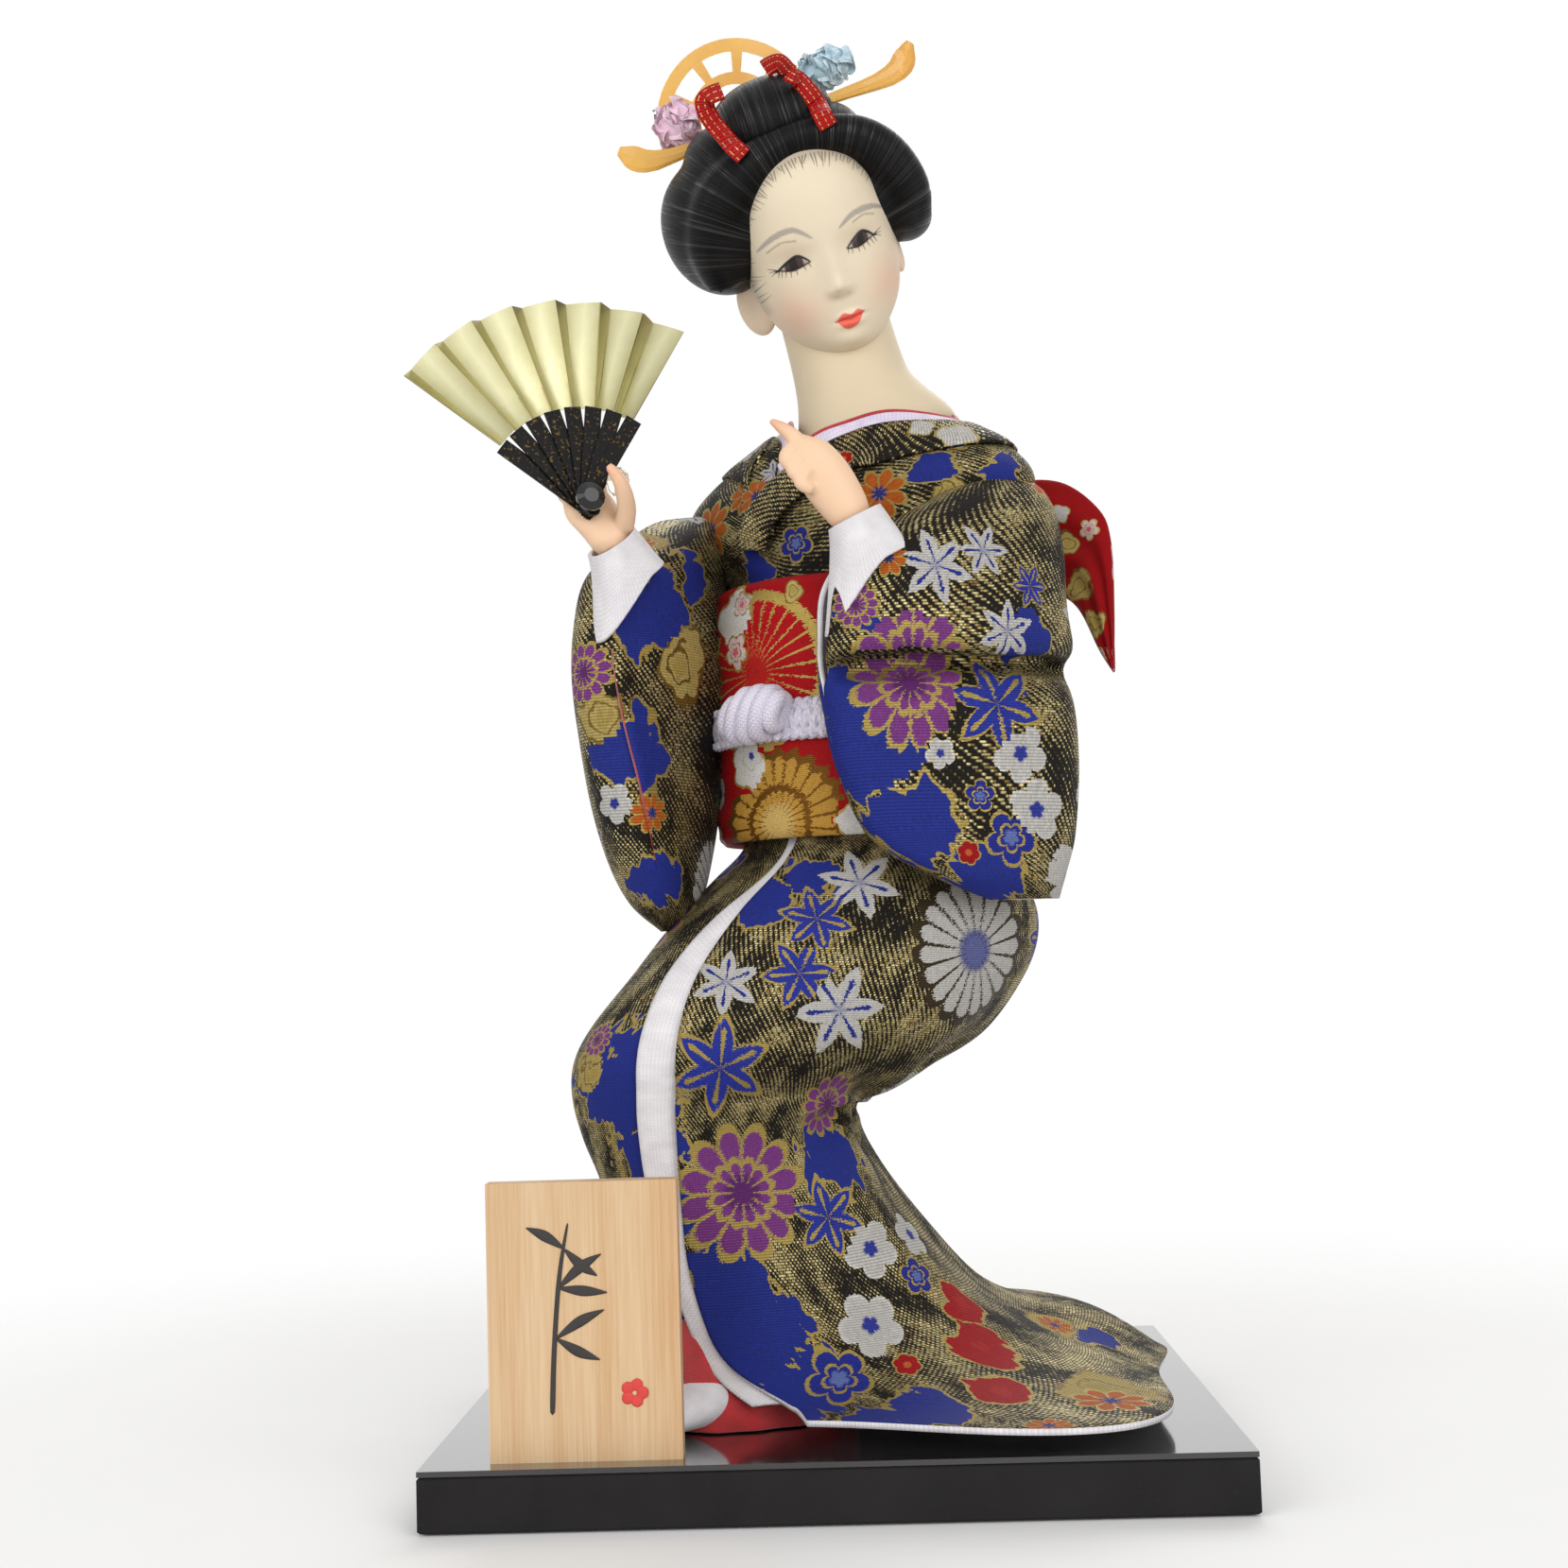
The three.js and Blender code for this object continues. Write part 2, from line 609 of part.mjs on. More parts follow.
// Path carried on past the wire's end, so that the hand's bore is deeper than the wire in it.
function pastEnd(path, reach) {
  const [before, end] = path.slice(-2);
  return [...path, end.clone().add(end.clone().sub(before).setLength(reach))];
}

const bodiceShell = solid(bodice.shell(0, 1, -CLOTH / 2, CLOTH / 2, 20, 8));
const wireBores = [leftWirePath, rightWirePath].map((path) => wireBore(path, SEAT_GAP));
add(clothes, "robe_bodice", shaped(without(bodiceShell, ...wireBores, neck(TURN_GAP))), "brocade");
const torso = solid(bodice.filled(0, bodice.level(210), -(CLOTH / 2 + STUFF_GAP), 12, 6));
add(figure, "torso_core", shaped(without(torso, ...wireBores, neck(TURN_GAP), peg(TURN_GAP))), "foam");
add(figure, "arm_wire_left", wire(leftWirePath, WIRE_DIAMETER, 12), "steel");
add(figure, "arm_wire_right", wire(rightWirePath, WIRE_DIAMETER, 12), "steel");

// Sash, its cord and the cord's knot.
const sashIn = OVERLAP_OFFSET + CLOTH + FIT_GAP;
const sashStations = [
  [SASH_BOTTOM, 7.5, 1, 23.5, 19.5, 19.5, -30],
  [(SASH_BOTTOM + SASH_TOP) / 2, 7.5, 1.2, 23.2, 19.2, 19, -30],
  [SASH_TOP, 8.5, 2, 25, 20, 18, -30],
];
const sash = new RingStack(sashStations);
const SASH_ROOM = 1.2;
const sashRoom = new RingStack(sashStations.map(([z, ...rest], k) => [z + (k - 1) * SASH_ROOM, ...rest]));
const sashOuter = (grow) => solid(sashRoom.filled(0, 1, sashIn + SASH_THICKNESS + grow, 26, 2));
const sashShell = solid(sash.shell(0, 1, sashIn, sashIn + SASH_THICKNESS, 26, 2));
const waist = solid(skirt.filled(skirt.level(120), 1, OVERLAP_OFFSET + CLOTH / 2 + SEAT_GAP, 26, 3));
const sashBody = without(sashShell, bodiceOuter(SEAT_GAP), waist);
add(clothes, "obi_sash", shaped(sashBody), "red");

const cordIn = sashIn + SASH_THICKNESS + SEAT_GAP;
const cordLow = sash.level(CORD_HEIGHT - CORD_WIDTH / 2);
const cordHigh = sash.level(CORD_HEIGHT + CORD_WIDTH / 2);
const cordShell = solid(sash.shell(cordLow, cordHigh, cordIn, cordIn + CORD_THICKNESS, 26, 1));
const KNOT_U = 0.735;
const KNOT_RISE = 1.5;
const KNOT_OUT = 2.6;
const KNOT_RADII = [7.4, 4.6, 5.4];
const knotPlace = sash.offset(KNOT_U, sash.level(CORD_HEIGHT + KNOT_RISE), cordIn + KNOT_OUT);
function knot(grow) {
  const [rx, ry, rz] = KNOT_RADII.map((r) => r + grow);
  const ball = new THREE.SphereGeometry(1, 12, 8);
  const place = (x, y, z) => point(knotPlace.x + rx * x, knotPlace.y + ry * y, knotPlace.z + rz * z);
  return solid(warp(ball, place));
}
const sashClear = sashOuter(SEAT_GAP);
add(clothes, "obi_cord", shaped(without(cordShell, knot(SEAT_GAP))), "white");
add(clothes, "obi_cord_knot", shaped(without(knot(0), sashClear)), "white");
const CORD_ROOM = CORD_WIDTH / 2 + 1;
const roomLow = sash.level(CORD_HEIGHT - CORD_ROOM);
const roomHigh = sash.level(CORD_HEIGHT + CORD_ROOM);
const cordOuter = solid(sash.filled(roomLow, roomHigh, cordIn + CORD_THICKNESS + FIT_GAP, 26, 1));

// Long sleeves, each a pouch hanging under the forearm, with a white inner sleeve at the wrist.
const leftSleeve = new RingStack([
  [111, 41, -25, 8, 2.4, 2.4, 25],
  [116, 36, -26, 15, 5, 5, 25],
  [124, 31.5, -25.5, 22.5, 7, 7, 23],
  [138, 29.5, -25, 26.5, 9, 9, 23],
  [150, 28.5, -25, 27.5, 10, 10, 23],
  [157, 27.5, -25, 27.5, 8, 10, 24],
  [163, 27, -25.5, 27.5, 11.5, 11, 25],
  [174, 27.5, -25, 27, 13, 12, 26],
  [184, 31, -22.5, 23, 12.5, 11.5, 28],
  [192, 36, -18, 16, 11, 10, 32],
  [200, 41, -14, 6, 6, 5, 34],
], { fullness: 0.85 });
const rightSleeve = new RingStack([
  [107, -31, -13, 5, 3, 3, 70],
  [113, -32, -12, 11, 6, 6, 70],
  [124, -33.5, -10, 17, 9, 9, 70],
  [140, -35, -8, 21, 12, 11.5, 70],
  [156, -35.5, -6, 23.5, 13, 12.5, 70],
  [170, -34.5, -4, 24.5, 12.5, 12, 70],
  [181, -32.5, -2, 24, 11, 10, 68],
  [190, -28, 5, 17, 9.5, 8.5, 66],
  [199, -23, 14, 7, 5, 4.5, 64],
], { fullness: 0.85 });
const sleeveLeft = (grow) => solid(leftSleeve.filled(0, 1, grow, 14, 10));
const sleeveRight = (grow) => solid(rightSleeve.filled(0, 1, grow, 12, 8));

// Wrists: a hand turns in its white inner sleeve about the forearm's end.
const LEFT_WRIST = point(9.4, -36.8, 187.5);
const LEFT_WRIST_AXIS = point(-0.42, -0.13, 0.9).normalize();
const RIGHT_WRIST = point(-40, -28.3, 186);
const RIGHT_WRIST_AXIS = point(-0.46, -0.42, 0.78).normalize();
const cuffProfile = (lengths, grow) => [
  [0, -lengths[0] - grow],
  [lengths[1] + grow, -lengths[0] - grow],
  [lengths[2] + grow, 0],
  [0, 0],
];
const cuff = (wrist, axis, lengths, grow) => solid(turnedAlong(cuffProfile(lengths, grow), wrist, axis, 14));
const SOCKET_LOW = -WRIST_DEPTH - TURN_GAP;
const SOCKET_HIGH = 1;
const SOCKET_RADIUS = WRIST_RADIUS + TURN_GAP;
const socketProfile = barProfile(SOCKET_RADIUS, SOCKET_LOW, SOCKET_HIGH);
const LEFT_CUFF = [10, 7.6, 5.8];
const RIGHT_CUFF = [9, 7, 5.6];
const leftCuff = cuff(LEFT_WRIST, LEFT_WRIST_AXIS, LEFT_CUFF, 0);
const rightCuff = cuff(RIGHT_WRIST, RIGHT_WRIST_AXIS, RIGHT_CUFF, 0);
const leftSocket = solid(turnedAlong(socketProfile, LEFT_WRIST, LEFT_WRIST_AXIS, 14));
const rightSocket = solid(turnedAlong(socketProfile, RIGHT_WRIST, RIGHT_WRIST_AXIS, 14));
const waistClear = [sashClear, cordOuter];
add(clothes, "cuff_left", shaped(without(leftCuff, leftSocket, wireBores[0], ...waistClear)), "white");
add(clothes, "cuff_right", shaped(without(rightCuff, rightSocket, wireBores[1], ...waistClear)), "white");

const bodiceClear = bodiceOuter(1.5 * FIT_GAP);
const skirtClear = solid(skirt.filled(skirt.level(84), 1, OVERLAP_OFFSET + CLOTH / 2 + FIT_GAP, 32, 8));
const knotClear = knot(FIT_GAP);
const sleeveCuts = [bodiceClear, ...waistClear, knotClear, skirtClear];
const leftCuffClear = cuff(LEFT_WRIST, LEFT_WRIST_AXIS, LEFT_CUFF, FIT_GAP);
const rightCuffClear = cuff(RIGHT_WRIST, RIGHT_WRIST_AXIS, RIGHT_CUFF, FIT_GAP);
const leftBody = without(sleeveLeft(0), ...sleeveCuts, leftCuffClear, leftSocket, wireBores[0]);
const rightBody = without(sleeveRight(0), ...sleeveCuts, rightCuffClear, rightSocket, wireBores[1]);
add(clothes, "sleeve_left", shaped(leftBody), "brocade");
add(clothes, "sleeve_right", shaped(rightBody), "brocade");

// Hands: a round wrist plug, a palm and fingers in one moulding.
function wristPlug(wrist, axis) {
  return solid(turnedAlong(barProfile(WRIST_RADIUS, -WRIST_DEPTH, WRIST_HEIGHT), wrist, axis, 14));
}
const leftPalm = limb(
  [point(9, -36.9, 188.2), point(6.6, -37.8, 193.5), point(3.2, -38.8, 198.7), point(-1.1, -39, 202.8),
    point(-6.5, -38.3, 207.1)],
  [4, 6.2, 5.4, 2.8, 0.9], [3.9, 4, 4, 2.6, 0.9], point(0.8, 0, 0.6), 9, 6,
);
const leftFingers = limb(
  [point(3.8, -39.5, 199), point(-0.5, -42, 197.5), point(-1.6, -41.5, 193), point(1, -39.5, 190.5)],
  [4, 3.6, 3, 1.6], [2.4, 2, 1.8, 1.2], point(0.5, 0.3, 0.8), 8, 5,
);
const ARM_ROOM = 5 * WRIST_RADIUS;
const wristRoom = barProfile(ARM_ROOM, -ARM_ROOM, SEAT_GAP);
const beyondWrist = (body, wrist, axis) => without(body, solid(turnedAlong(wristRoom, wrist, axis, 14)));
const HAND_BORE_GAP = 2 * TURN_GAP;
const wireEnds = [leftWirePath, rightWirePath].map((path) => {
  return wireBore(pastEnd(path, HAND_BORE_GAP), HAND_BORE_GAP);
});
const leftGrip = beyondWrist(joined(solid(leftPalm), solid(leftFingers)), LEFT_WRIST, LEFT_WRIST_AXIS);
const handLeft = joined(wristPlug(LEFT_WRIST, LEFT_WRIST_AXIS), leftGrip);
add(figure, "hand_left", shaped(without(handLeft, wireEnds[0])), "hand");

// Fan frame: the pivot in the hand, the front face's normal and the directions up and right in the leaf.
const FAN_PIVOT = point(-44.3, -33, 193.4);
const fanNormal = point(0.36, -0.92, 0.14).normalize();
const fanUp = point(0, 0, 1).addScaledVector(fanNormal, -fanNormal.z).normalize();
const fanRight = fanUp.clone().cross(fanNormal).normalize();
const RIB_COUNT = FAN_GORES + 1;
function fanPoint(angle, radius, depth, across = 0) {
  const a = THREE.MathUtils.degToRad(angle);
  const along = fanUp.clone().multiplyScalar(Math.cos(a)).addScaledVector(fanRight, Math.sin(a));
  const side = fanRight.clone().multiplyScalar(Math.cos(a)).addScaledVector(fanUp, -Math.sin(a));
  const place = FAN_PIVOT.clone().addScaledVector(along, radius).addScaledVector(side, across);
  return place.addScaledVector(fanNormal, depth);
}
const ribAngle = (k) => FAN_FIRST_ANGLE - k * FAN_GORE_ANGLE;
const ribDepth = (k) => ((RIB_COUNT - 1) / 2 - k) * RIB_PITCH;
// Round room along the fan's pivot.
function pivotRoom(radius, low, high, around) {
  return solid(turnedAlong(barProfile(radius, low, high), FAN_PIVOT, fanNormal, around));
}
const RIVET_GAP = 0.2;
const rivetBore = pivotRoom(RIVET_DIAMETER / 2 + RIVET_GAP, -BORE_REACH, BORE_REACH, 10);
function rib(k) {
  const slip = new THREE.BoxGeometry(1, 1, 1);
  const reach = FAN_LEAF_INNER - SEAT_GAP + RIB_HEEL;
  const bar = warp(slip, (x, y, z) => {
    const t = y + 0.5;
    const width = RIB_HEEL_WIDTH + (RIB_TIP_WIDTH - RIB_HEEL_WIDTH) * t;
    return fanPoint(ribAngle(k), -RIB_HEEL + reach * t, ribDepth(k) + z * RIB_THICKNESS, x * width);
  });
  return shaped(without(solid(bar), rivetBore));
}
for (let k = 0; k < RIB_COUNT; k += 1) {
  const name = k === 0 ? "fan_guard_front" : k === FAN_GORES ? "fan_guard_back" : `fan_rib_${k}`;
  add(fan, name, rib(k), "lacquer");
}
// Pleated leaf: every gore has a broad face and a narrow return.
const leafPlan = new THREE.BoxGeometry(1, 1, 1, FAN_GORES * 2, 1, 1);
add(fan, "fan_leaf", warp(leafPlan, (x, y, z) => {
  const k = Math.round((x + 0.5) * FAN_GORES * 2);
  const gore = Math.floor(k / 2);
  const valley = k % 2 === 1;
  const step = gore + (valley ? LEAF_VALLEY : 0);
  const angle = ribAngle(step);
  const depth = ribDepth(step) * 0.9 - (valley ? LEAF_FOLD : 0);
  const radius = FAN_LEAF_INNER + (y + 0.5) * (FAN_RADIUS - FAN_LEAF_INNER);
  return fanPoint(angle, radius, depth + z * LEAF_THICKNESS);
}), "foil");
const STACK = (RIB_COUNT * RIB_PITCH) / 2 + 0.1;
const RIVET_BACK = -STACK - 0.5;
const RIVET_FRONT = STACK + RIVET_HEAD;
add(fan, "fan_rivet", turnedAlong([
  [0, RIVET_BACK], [RIVET_DIAMETER / 2, RIVET_BACK], [RIVET_DIAMETER / 2, STACK], [RIVET_CAP / 2, STACK],
  [RIVET_CAP / 2, STACK + RIVET_HEAD / 2], [RIVET_CAP / 4, RIVET_FRONT], [0, RIVET_FRONT],
], FAN_PIVOT, fanNormal, 16), "lacquer");

// The right hand's palm and fingers lie behind the sticks and its thumb over the front stick.
const behind = -STACK - FIT_GAP;
const rightPalm = limb(
  [point(-39.8, -28.2, 185.8), point(-41.6, -27.8, 189.5), point(-44.4, -27, 193.4), point(-46.6, -26.6, 198),
    point(-47.6, -27, 203)],
  [3.9, 5.4, 5.8, 4.8, 1.8], [3.8, 3.4, 3, 2.4, 1.2], fanRight, 9, 6,
);
const thumbTip = fanPoint(FAN_FIRST_ANGLE, 9, STACK + 1.8);
const thumb = limb(
  [point(-37.6, -29, 188.5), point(-36.4, -33, 192), point(-37, -37.2, 196), thumbTip],
  [2.6, 2.6, 2.2, 1.2], [2.6, 2.4, 2, 1.1], point(0.9, 0, 0.3), 8, 6,
);
const STICK_ROOM = FAN_LEAF_INNER + 3;
const sweep = pivotRoom(STICK_ROOM, behind, STACK + FIT_GAP, 32);
const capClear = pivotRoom(RIVET_CAP / 2 + FIT_GAP, 0, BORE_REACH, 16);
const rightGrip = beyondWrist(joined(solid(rightPalm), solid(thumb)), RIGHT_WRIST, RIGHT_WRIST_AXIS);
const handRight = joined(wristPlug(RIGHT_WRIST, RIGHT_WRIST_AXIS), rightGrip);
add(figure, "hand_right", shaped(without(handRight, sweep, capClear, rivetBore, wireEnds[1])), "hand");

// Drop of glue between the thumb and the front stick.
const GLUE_RADII = [2.4, 1.6, 3.2];
const gluePlace = fanPoint(62, 6.5, STACK + 1.2);
const glue = solid(warp(new THREE.SphereGeometry(1, 10, 6), (x, y, z) => point(
  gluePlace.x + GLUE_RADII[0] * x, gluePlace.y + GLUE_RADII[1] * y, gluePlace.z + GLUE_RADII[2] * z,
)));
add(fan, "glue_bead", shaped(without(glue, sweep, capClear, handRight)), "glue");

// Collars: brocade bands crossing at the chest over white under-collars.
const CHEST_AXIS = point(13, 5, 0);
const onChest = ([u, height, out]) => bodice.offset(u, bodice.level(height), CLOTH / 2 + FIT_GAP + out);
function chestFacing([u, height]) {
  const v = bodice.level(height);
  return bodice.offset(u, v, 1).sub(bodice.offset(u, v, 0));
}
const COLLAR_EASE = 1.8;
const over = COLLAR_THICKNESS / 2 + COLLAR_EASE;
const collarTop = COLLAR_THICKNESS + FIT_GAP + over;
// Places of each collar from the nape to the chest: turn round the chest, height and gap over the cloth.
const leftCollarPath = [
  [0.25, 210.5, over], [0.1, 211, over], [0.96, 210, over], [0.86, 206.5, collarTop], [0.76, 200, collarTop],
  [0.69, 192, collarTop], [0.645, 183, collarTop],
];
const rightCollarPath = [
  [0.3, 210.5, over], [0.42, 211, over], [0.53, 210, over], [0.615, 206.5, over], [0.69, 200, over],
  [0.75, 193, over],
];
const sleevesClear = [sleeveLeft(FIT_GAP), sleeveRight(FIT_GAP)];
const collarCuts = [bodiceOuter(FIT_GAP), neck(TURN_GAP), sashClear, ...sleevesClear];
function collarBand(path, grow, rows) {
  const wide = COLLAR_WIDTH + 2 * grow;
  const facings = path.map(chestFacing);
  return solid(band(path.map(onChest), facings, [wide, wide], COLLAR_THICKNESS + 2 * grow, rows));
}
const leftBand = (grow) => collarBand(leftCollarPath, grow, 10);
const rightBand = (grow) => collarBand(rightCollarPath, grow, 9);
add(clothes, "collar_left", shaped(without(leftBand(0), ...collarCuts)), "brocade");
add(clothes, "collar_right", shaped(without(rightBand(0), ...collarCuts, leftBand(SEAT_GAP))), "brocade");

// White under-collars between the neck and the brocade collars.
const innerCuts = [...collarCuts, leftBand(SEAT_GAP), rightBand(SEAT_GAP)];
const UNDER_INSET = 0.2;
const UNDER_RISE = 0.62 * UNDER_COLLAR_WIDTH;
const UNDER_POINTS = 5;
const fromAxis = (place) => place.clone().sub(CHEST_AXIS).setZ(0);
const inner = (path) => path.slice(0, UNDER_POINTS).map(onChest).map((place) => {
  return place.clone().addScaledVector(fromAxis(place), -UNDER_INSET).add(point(0, 0, UNDER_RISE));
});
const underShares = [1, 1, 1, 0.8, 0.6];
function underBand(path, grow) {
  const wide = underShares.map((share) => share * UNDER_COLLAR_WIDTH + grow);
  const places = inner(path);
  const facings = places.map((place, k) => chestFacing(path[k]).add(fromAxis(place).normalize()));
  return solid(band(places, facings, wide, COLLAR_THICKNESS + grow, 8));
}
const leftUnder = underBand(leftCollarPath, 0);
const rightUnder = underBand(rightCollarPath, 0);
const leftUnderClear = underBand(leftCollarPath, 2 * SEAT_GAP);
add(clothes, "under_collar_left", shaped(without(leftUnder, ...innerCuts)), "white");
add(clothes, "under_collar_right", shaped(without(rightUnder, ...innerCuts, leftUnderClear)), "white");

// Head frame: x to the viewer's right, y to the back of the head and z to its top. The face looks down
// toward the viewer and tips to the viewer's left.
const HEAD_CENTRE = point(2.8, -3, 258.2);
const headFrame = new THREE.Matrix4().makeBasis(
  point(0.96, -0.005, 0.281).normalize(), point(-0.101, 0.927, 0.36), point(-0.263, -0.374, 0.889),
).setPosition(HEAD_CENTRE);
const onHead = (x, y, z) => point(x, y, z).applyMatrix4(headFrame);
const bump = (d, centre, spread) => Math.exp(-d.clone().sub(centre).lengthSq() / (spread * spread));
const NOSE = point(0, -0.9, -0.42).normalize();
const SOCKETS = [point(-0.4, -0.88, -0.2).normalize(), point(0.4, -0.88, -0.2).normalize()];
const EYES = [[-7.4, -16.2, -4.6], [7.4, -16.2, -4.6]];
// Head levels from the chin to the crown: height, half width, front and back.
const HEAD_LEVELS = [
  [-26.6, 0, -9.5, -9.5], [-25.5, 4.6, -14, -4.5], [-22.4, 8.6, -16.6, 2], [-17.8, 12.6, -17.6, 9],
  [-12, 15.3, -18.1, 14], [-5.2, 17, -18.5, 18], [2, 17.8, -18.6, 20], [9.5, 16.9, -17.4, 19.5],
  [16, 13.6, -13.6, 16], [20.4, 7.8, -7.5, 9.5], [22, 0, 0, 0],
];
const headColumn = (k) => HEAD_LEVELS.map((level) => level[k]);
const [HEAD_HEIGHTS, HEAD_HALVES, HEAD_FRONTS, HEAD_BACKS] = [0, 1, 2, 3].map(headColumn);
function facePoint(x, y, z, grow) {
  const d = point(x, y, z);
  const share = 1 - Math.acos(THREE.MathUtils.clamp(z, -1, 1)) / Math.PI;
  const turn = Math.atan2(y, x);
  const front = spline(HEAD_FRONTS, share);
  const back = spline(HEAD_BACKS, share);
  const wide = spline(HEAD_HALVES, share) * Math.cos(turn) + grow * x;
  const deep = (front + back) / 2 + (back - front) / 2 * Math.sin(turn) + grow * y;
  const forward = NOSE_REACH * bump(d, NOSE, 0.16);
  const sunk = SOCKETS.reduce((sum, socket) => sum + SOCKET_DEPTH * bump(d, socket, 0.2), 0);
  return onHead(wide, deep - forward + sunk, spline(HEAD_HEIGHTS, share) + grow * z);
}
function skull(grow) {
  return solid(warp(new THREE.SphereGeometry(1, 18, 12), (x, y, z) => facePoint(x, -z, y, grow)));
}
function blob(centre, radii, grow = 0, around = 11, rows = 7) {
  return solid(warp(new THREE.SphereGeometry(1, around, rows), (x, y, z) => onHead(
    centre[0] + (radii[0] + grow) * x, centre[1] - (radii[1] + grow) * z, centre[2] + (radii[2] + grow) * y,
  )));
}
const EAR_RADII = [2.4, 3.6, 6];
const ears = (grow) => [-1, 1].map((side) => blob([side * 17, -1, -10], EAR_RADII, grow, 8, 6));
const EYE_RADII = [EYE_RADIUS, EYE_RADIUS * 0.7, EYE_RADIUS * 0.6];
const eye = (k, grow) => blob(EYES[k], EYE_RADII, grow, 10, 6);
const headSolid = joined(skull(0), neck(0), ...ears(0));
add(figure, "head", shaped(without(headSolid, eye(0, FIT_GAP), eye(1, FIT_GAP), peg(SEAT_GAP))), "skin");
add(figure, "eye_right", shaped(eye(0, 0)), "eye");
add(figure, "eye_left", shaped(eye(1, 0)), "eye");
add(figure, "neck_peg", shaped(peg(0)), "beech");

// Wig: a combed roll round the face, full sides and a bun, cut back from the face and the head.
const HAIR_LOBES = [
  [[-1, 6, 8], [27, 23, 20.5]],
  [[-17.5, 3, 3], [13.6, 16.5, 13]],
  [[14.5, 3, 3.5], [12.5, 16.5, 12]],
  [[-1, 17, -4], [15, 11, 15]],
];
const ROLL_PATH = [[-20.5, -7, -2], [-15.5, -11.5, 10.5], [0, -12.5, 21], [15.5, -11.5, 10.5], [20, -7, -2]];
const ROLL_RADII = [5, 6.8, 7.2, 6.8, 5];
function frontRoll(grow) {
  const path = ROLL_PATH.map((place) => onHead(...place));
  const radii = ROLL_RADII.map((r) => r + grow);
  return solid(limb(path, radii, radii, onHead(0, -1, 0).sub(HEAD_CENTRE), 8, 9));
}
const wig = (grow) => joined(frontRoll(grow), ...HAIR_LOBES.map(([c, r]) => blob(c, r, grow)));
const FACE_OPENING = { halfWidth: 15.6, halfHeight: 23.5, middle: -8, front: -26, depth: 20 };
const faceOpening = solid(warp(new THREE.CylinderGeometry(1, 1, 1, 22, 1), (x, y, z) => onHead(
  FACE_OPENING.halfWidth * x,
  FACE_OPENING.front + FACE_OPENING.depth * (y + 0.5),
  FACE_OPENING.middle + FACE_OPENING.halfHeight * z,
)));
const wigCuts = [skull(FIT_GAP), neck(FIT_GAP), ...ears(FIT_GAP), faceOpening];
const BUN = [[-2, 15, 25], [15, 13, 12]];
const bun = (grow) => blob(BUN[0], BUN[1], grow, 14, 9);

// Hairpin: a flat stick through the bun with upturned ends.
const pinPath = [
  onHead(-34.5, 16.5, 28), onHead(-29.5, 14.9, 24.2), onHead(-16.4, 12.7, 23.7), onHead(-2, 11.6, 24),
  onHead(14.3, 11.1, 24.5), onHead(28.8, 11.6, 25.8), onHead(33.3, 13.5, 30.4),
];
const pinSide = onHead(0, 0.1, 1).sub(HEAD_CENTRE);
const PIN_WIDTHS = [0.8, 2.1, 2, 1.3, 1, 1, 1, 1, 1, 1.3, 2, 2.1, 0.8];
function pin(grow) {
  const wide = PIN_WIDTHS.map((share) => (share * PIN_WIDTH) / 2 + grow);
  const thick = [0.7, 1, 1, 1, 1, 1, 0.7].map((share) => (share * PIN_THICKNESS) / 2 + grow);
  return solid(limb(pinPath, wide, thick, pinSide, 10, 30));
}
const pinClear = pin(SEAT_GAP);
const wigClear = wig(SEAT_GAP);
const bunClear = bun(SEAT_GAP);
add(headdress, "hair_wig", shaped(without(wig(0), ...wigCuts, pinClear)), "hair");
add(headdress, "hair_bun", shaped(without(bun(0), wigClear, pinClear)), "hair");
add(headdress, "hairpin", shaped(pin(0)), "comb");

// Openwork half-round comb standing behind the bun.
const COMB_CENTRE = [-7, 27, 26];
function combShape() {
  const outline = new THREE.Shape();
  outline.absarc(0, 0, COMB_RADIUS, -0.25, Math.PI + 0.25, false);
  outline.lineTo(-COMB_RADIUS * 0.42, -1);
  outline.absarc(0, 0, COMB_RADIUS * 0.45, Math.PI, 0, true);
  const half = (0.37 * Math.PI) / COMB_WINDOWS;
  for (let k = 0; k < COMB_WINDOWS; k += 1) {
    const mid = (Math.PI * (k + 0.5)) / COMB_WINDOWS;
    const hole = new THREE.Path();
    hole.absarc(0, 0, COMB_RADIUS * 0.84, mid - half, mid + half, false);
    hole.absarc(0, 0, COMB_RADIUS * 0.6, mid + half, mid - half, true);
    outline.holes.push(hole);
  }
  return outline;
}
const combOptions = { depth: COMB_THICKNESS, bevelEnabled: false, curveSegments: 16 };
function combPlace(x, y, z) {
  return onHead(COMB_CENTRE[0] + x, COMB_CENTRE[1] + z + y * COMB_LEAN, COMB_CENTRE[2] + y);
}
const comb = warp(new THREE.ExtrudeGeometry(combShape(), combOptions), combPlace);
add(headdress, "hair_comb", shaped(without(solid(comb), bunClear, wigClear, pinClear)), "comb");

// Red ribbons over the bun and a tuft of petals at each side.
const combRoom = COMB_RADIUS + FIT_GAP;
const combClear = solid(warp(
  new THREE.CylinderGeometry(combRoom, combRoom, COMB_THICKNESS + 2 * FIT_GAP, 48),
  (x, y, z) => combPlace(x, -z, y + COMB_THICKNESS / 2),
));
const RIBBON_HALF_WIDTH = 2.4;
const RIBBON_HALF_THICKNESS = 0.5;
const RIBBON_LIFT = RIBBON_HALF_THICKNESS + FIT_GAP;
function onBun(x, f) {
  const angle = f * Math.PI;
  const [middle, radii] = BUN;
  const scale = Math.sqrt(1 - ((x - middle[0]) / radii[0]) ** 2);
  const forward = (radii[1] * scale + RIBBON_LIFT) * Math.cos(angle);
  return onHead(x, middle[1] - forward, middle[2] + (radii[2] * scale + RIBBON_LIFT) * Math.sin(angle));
}
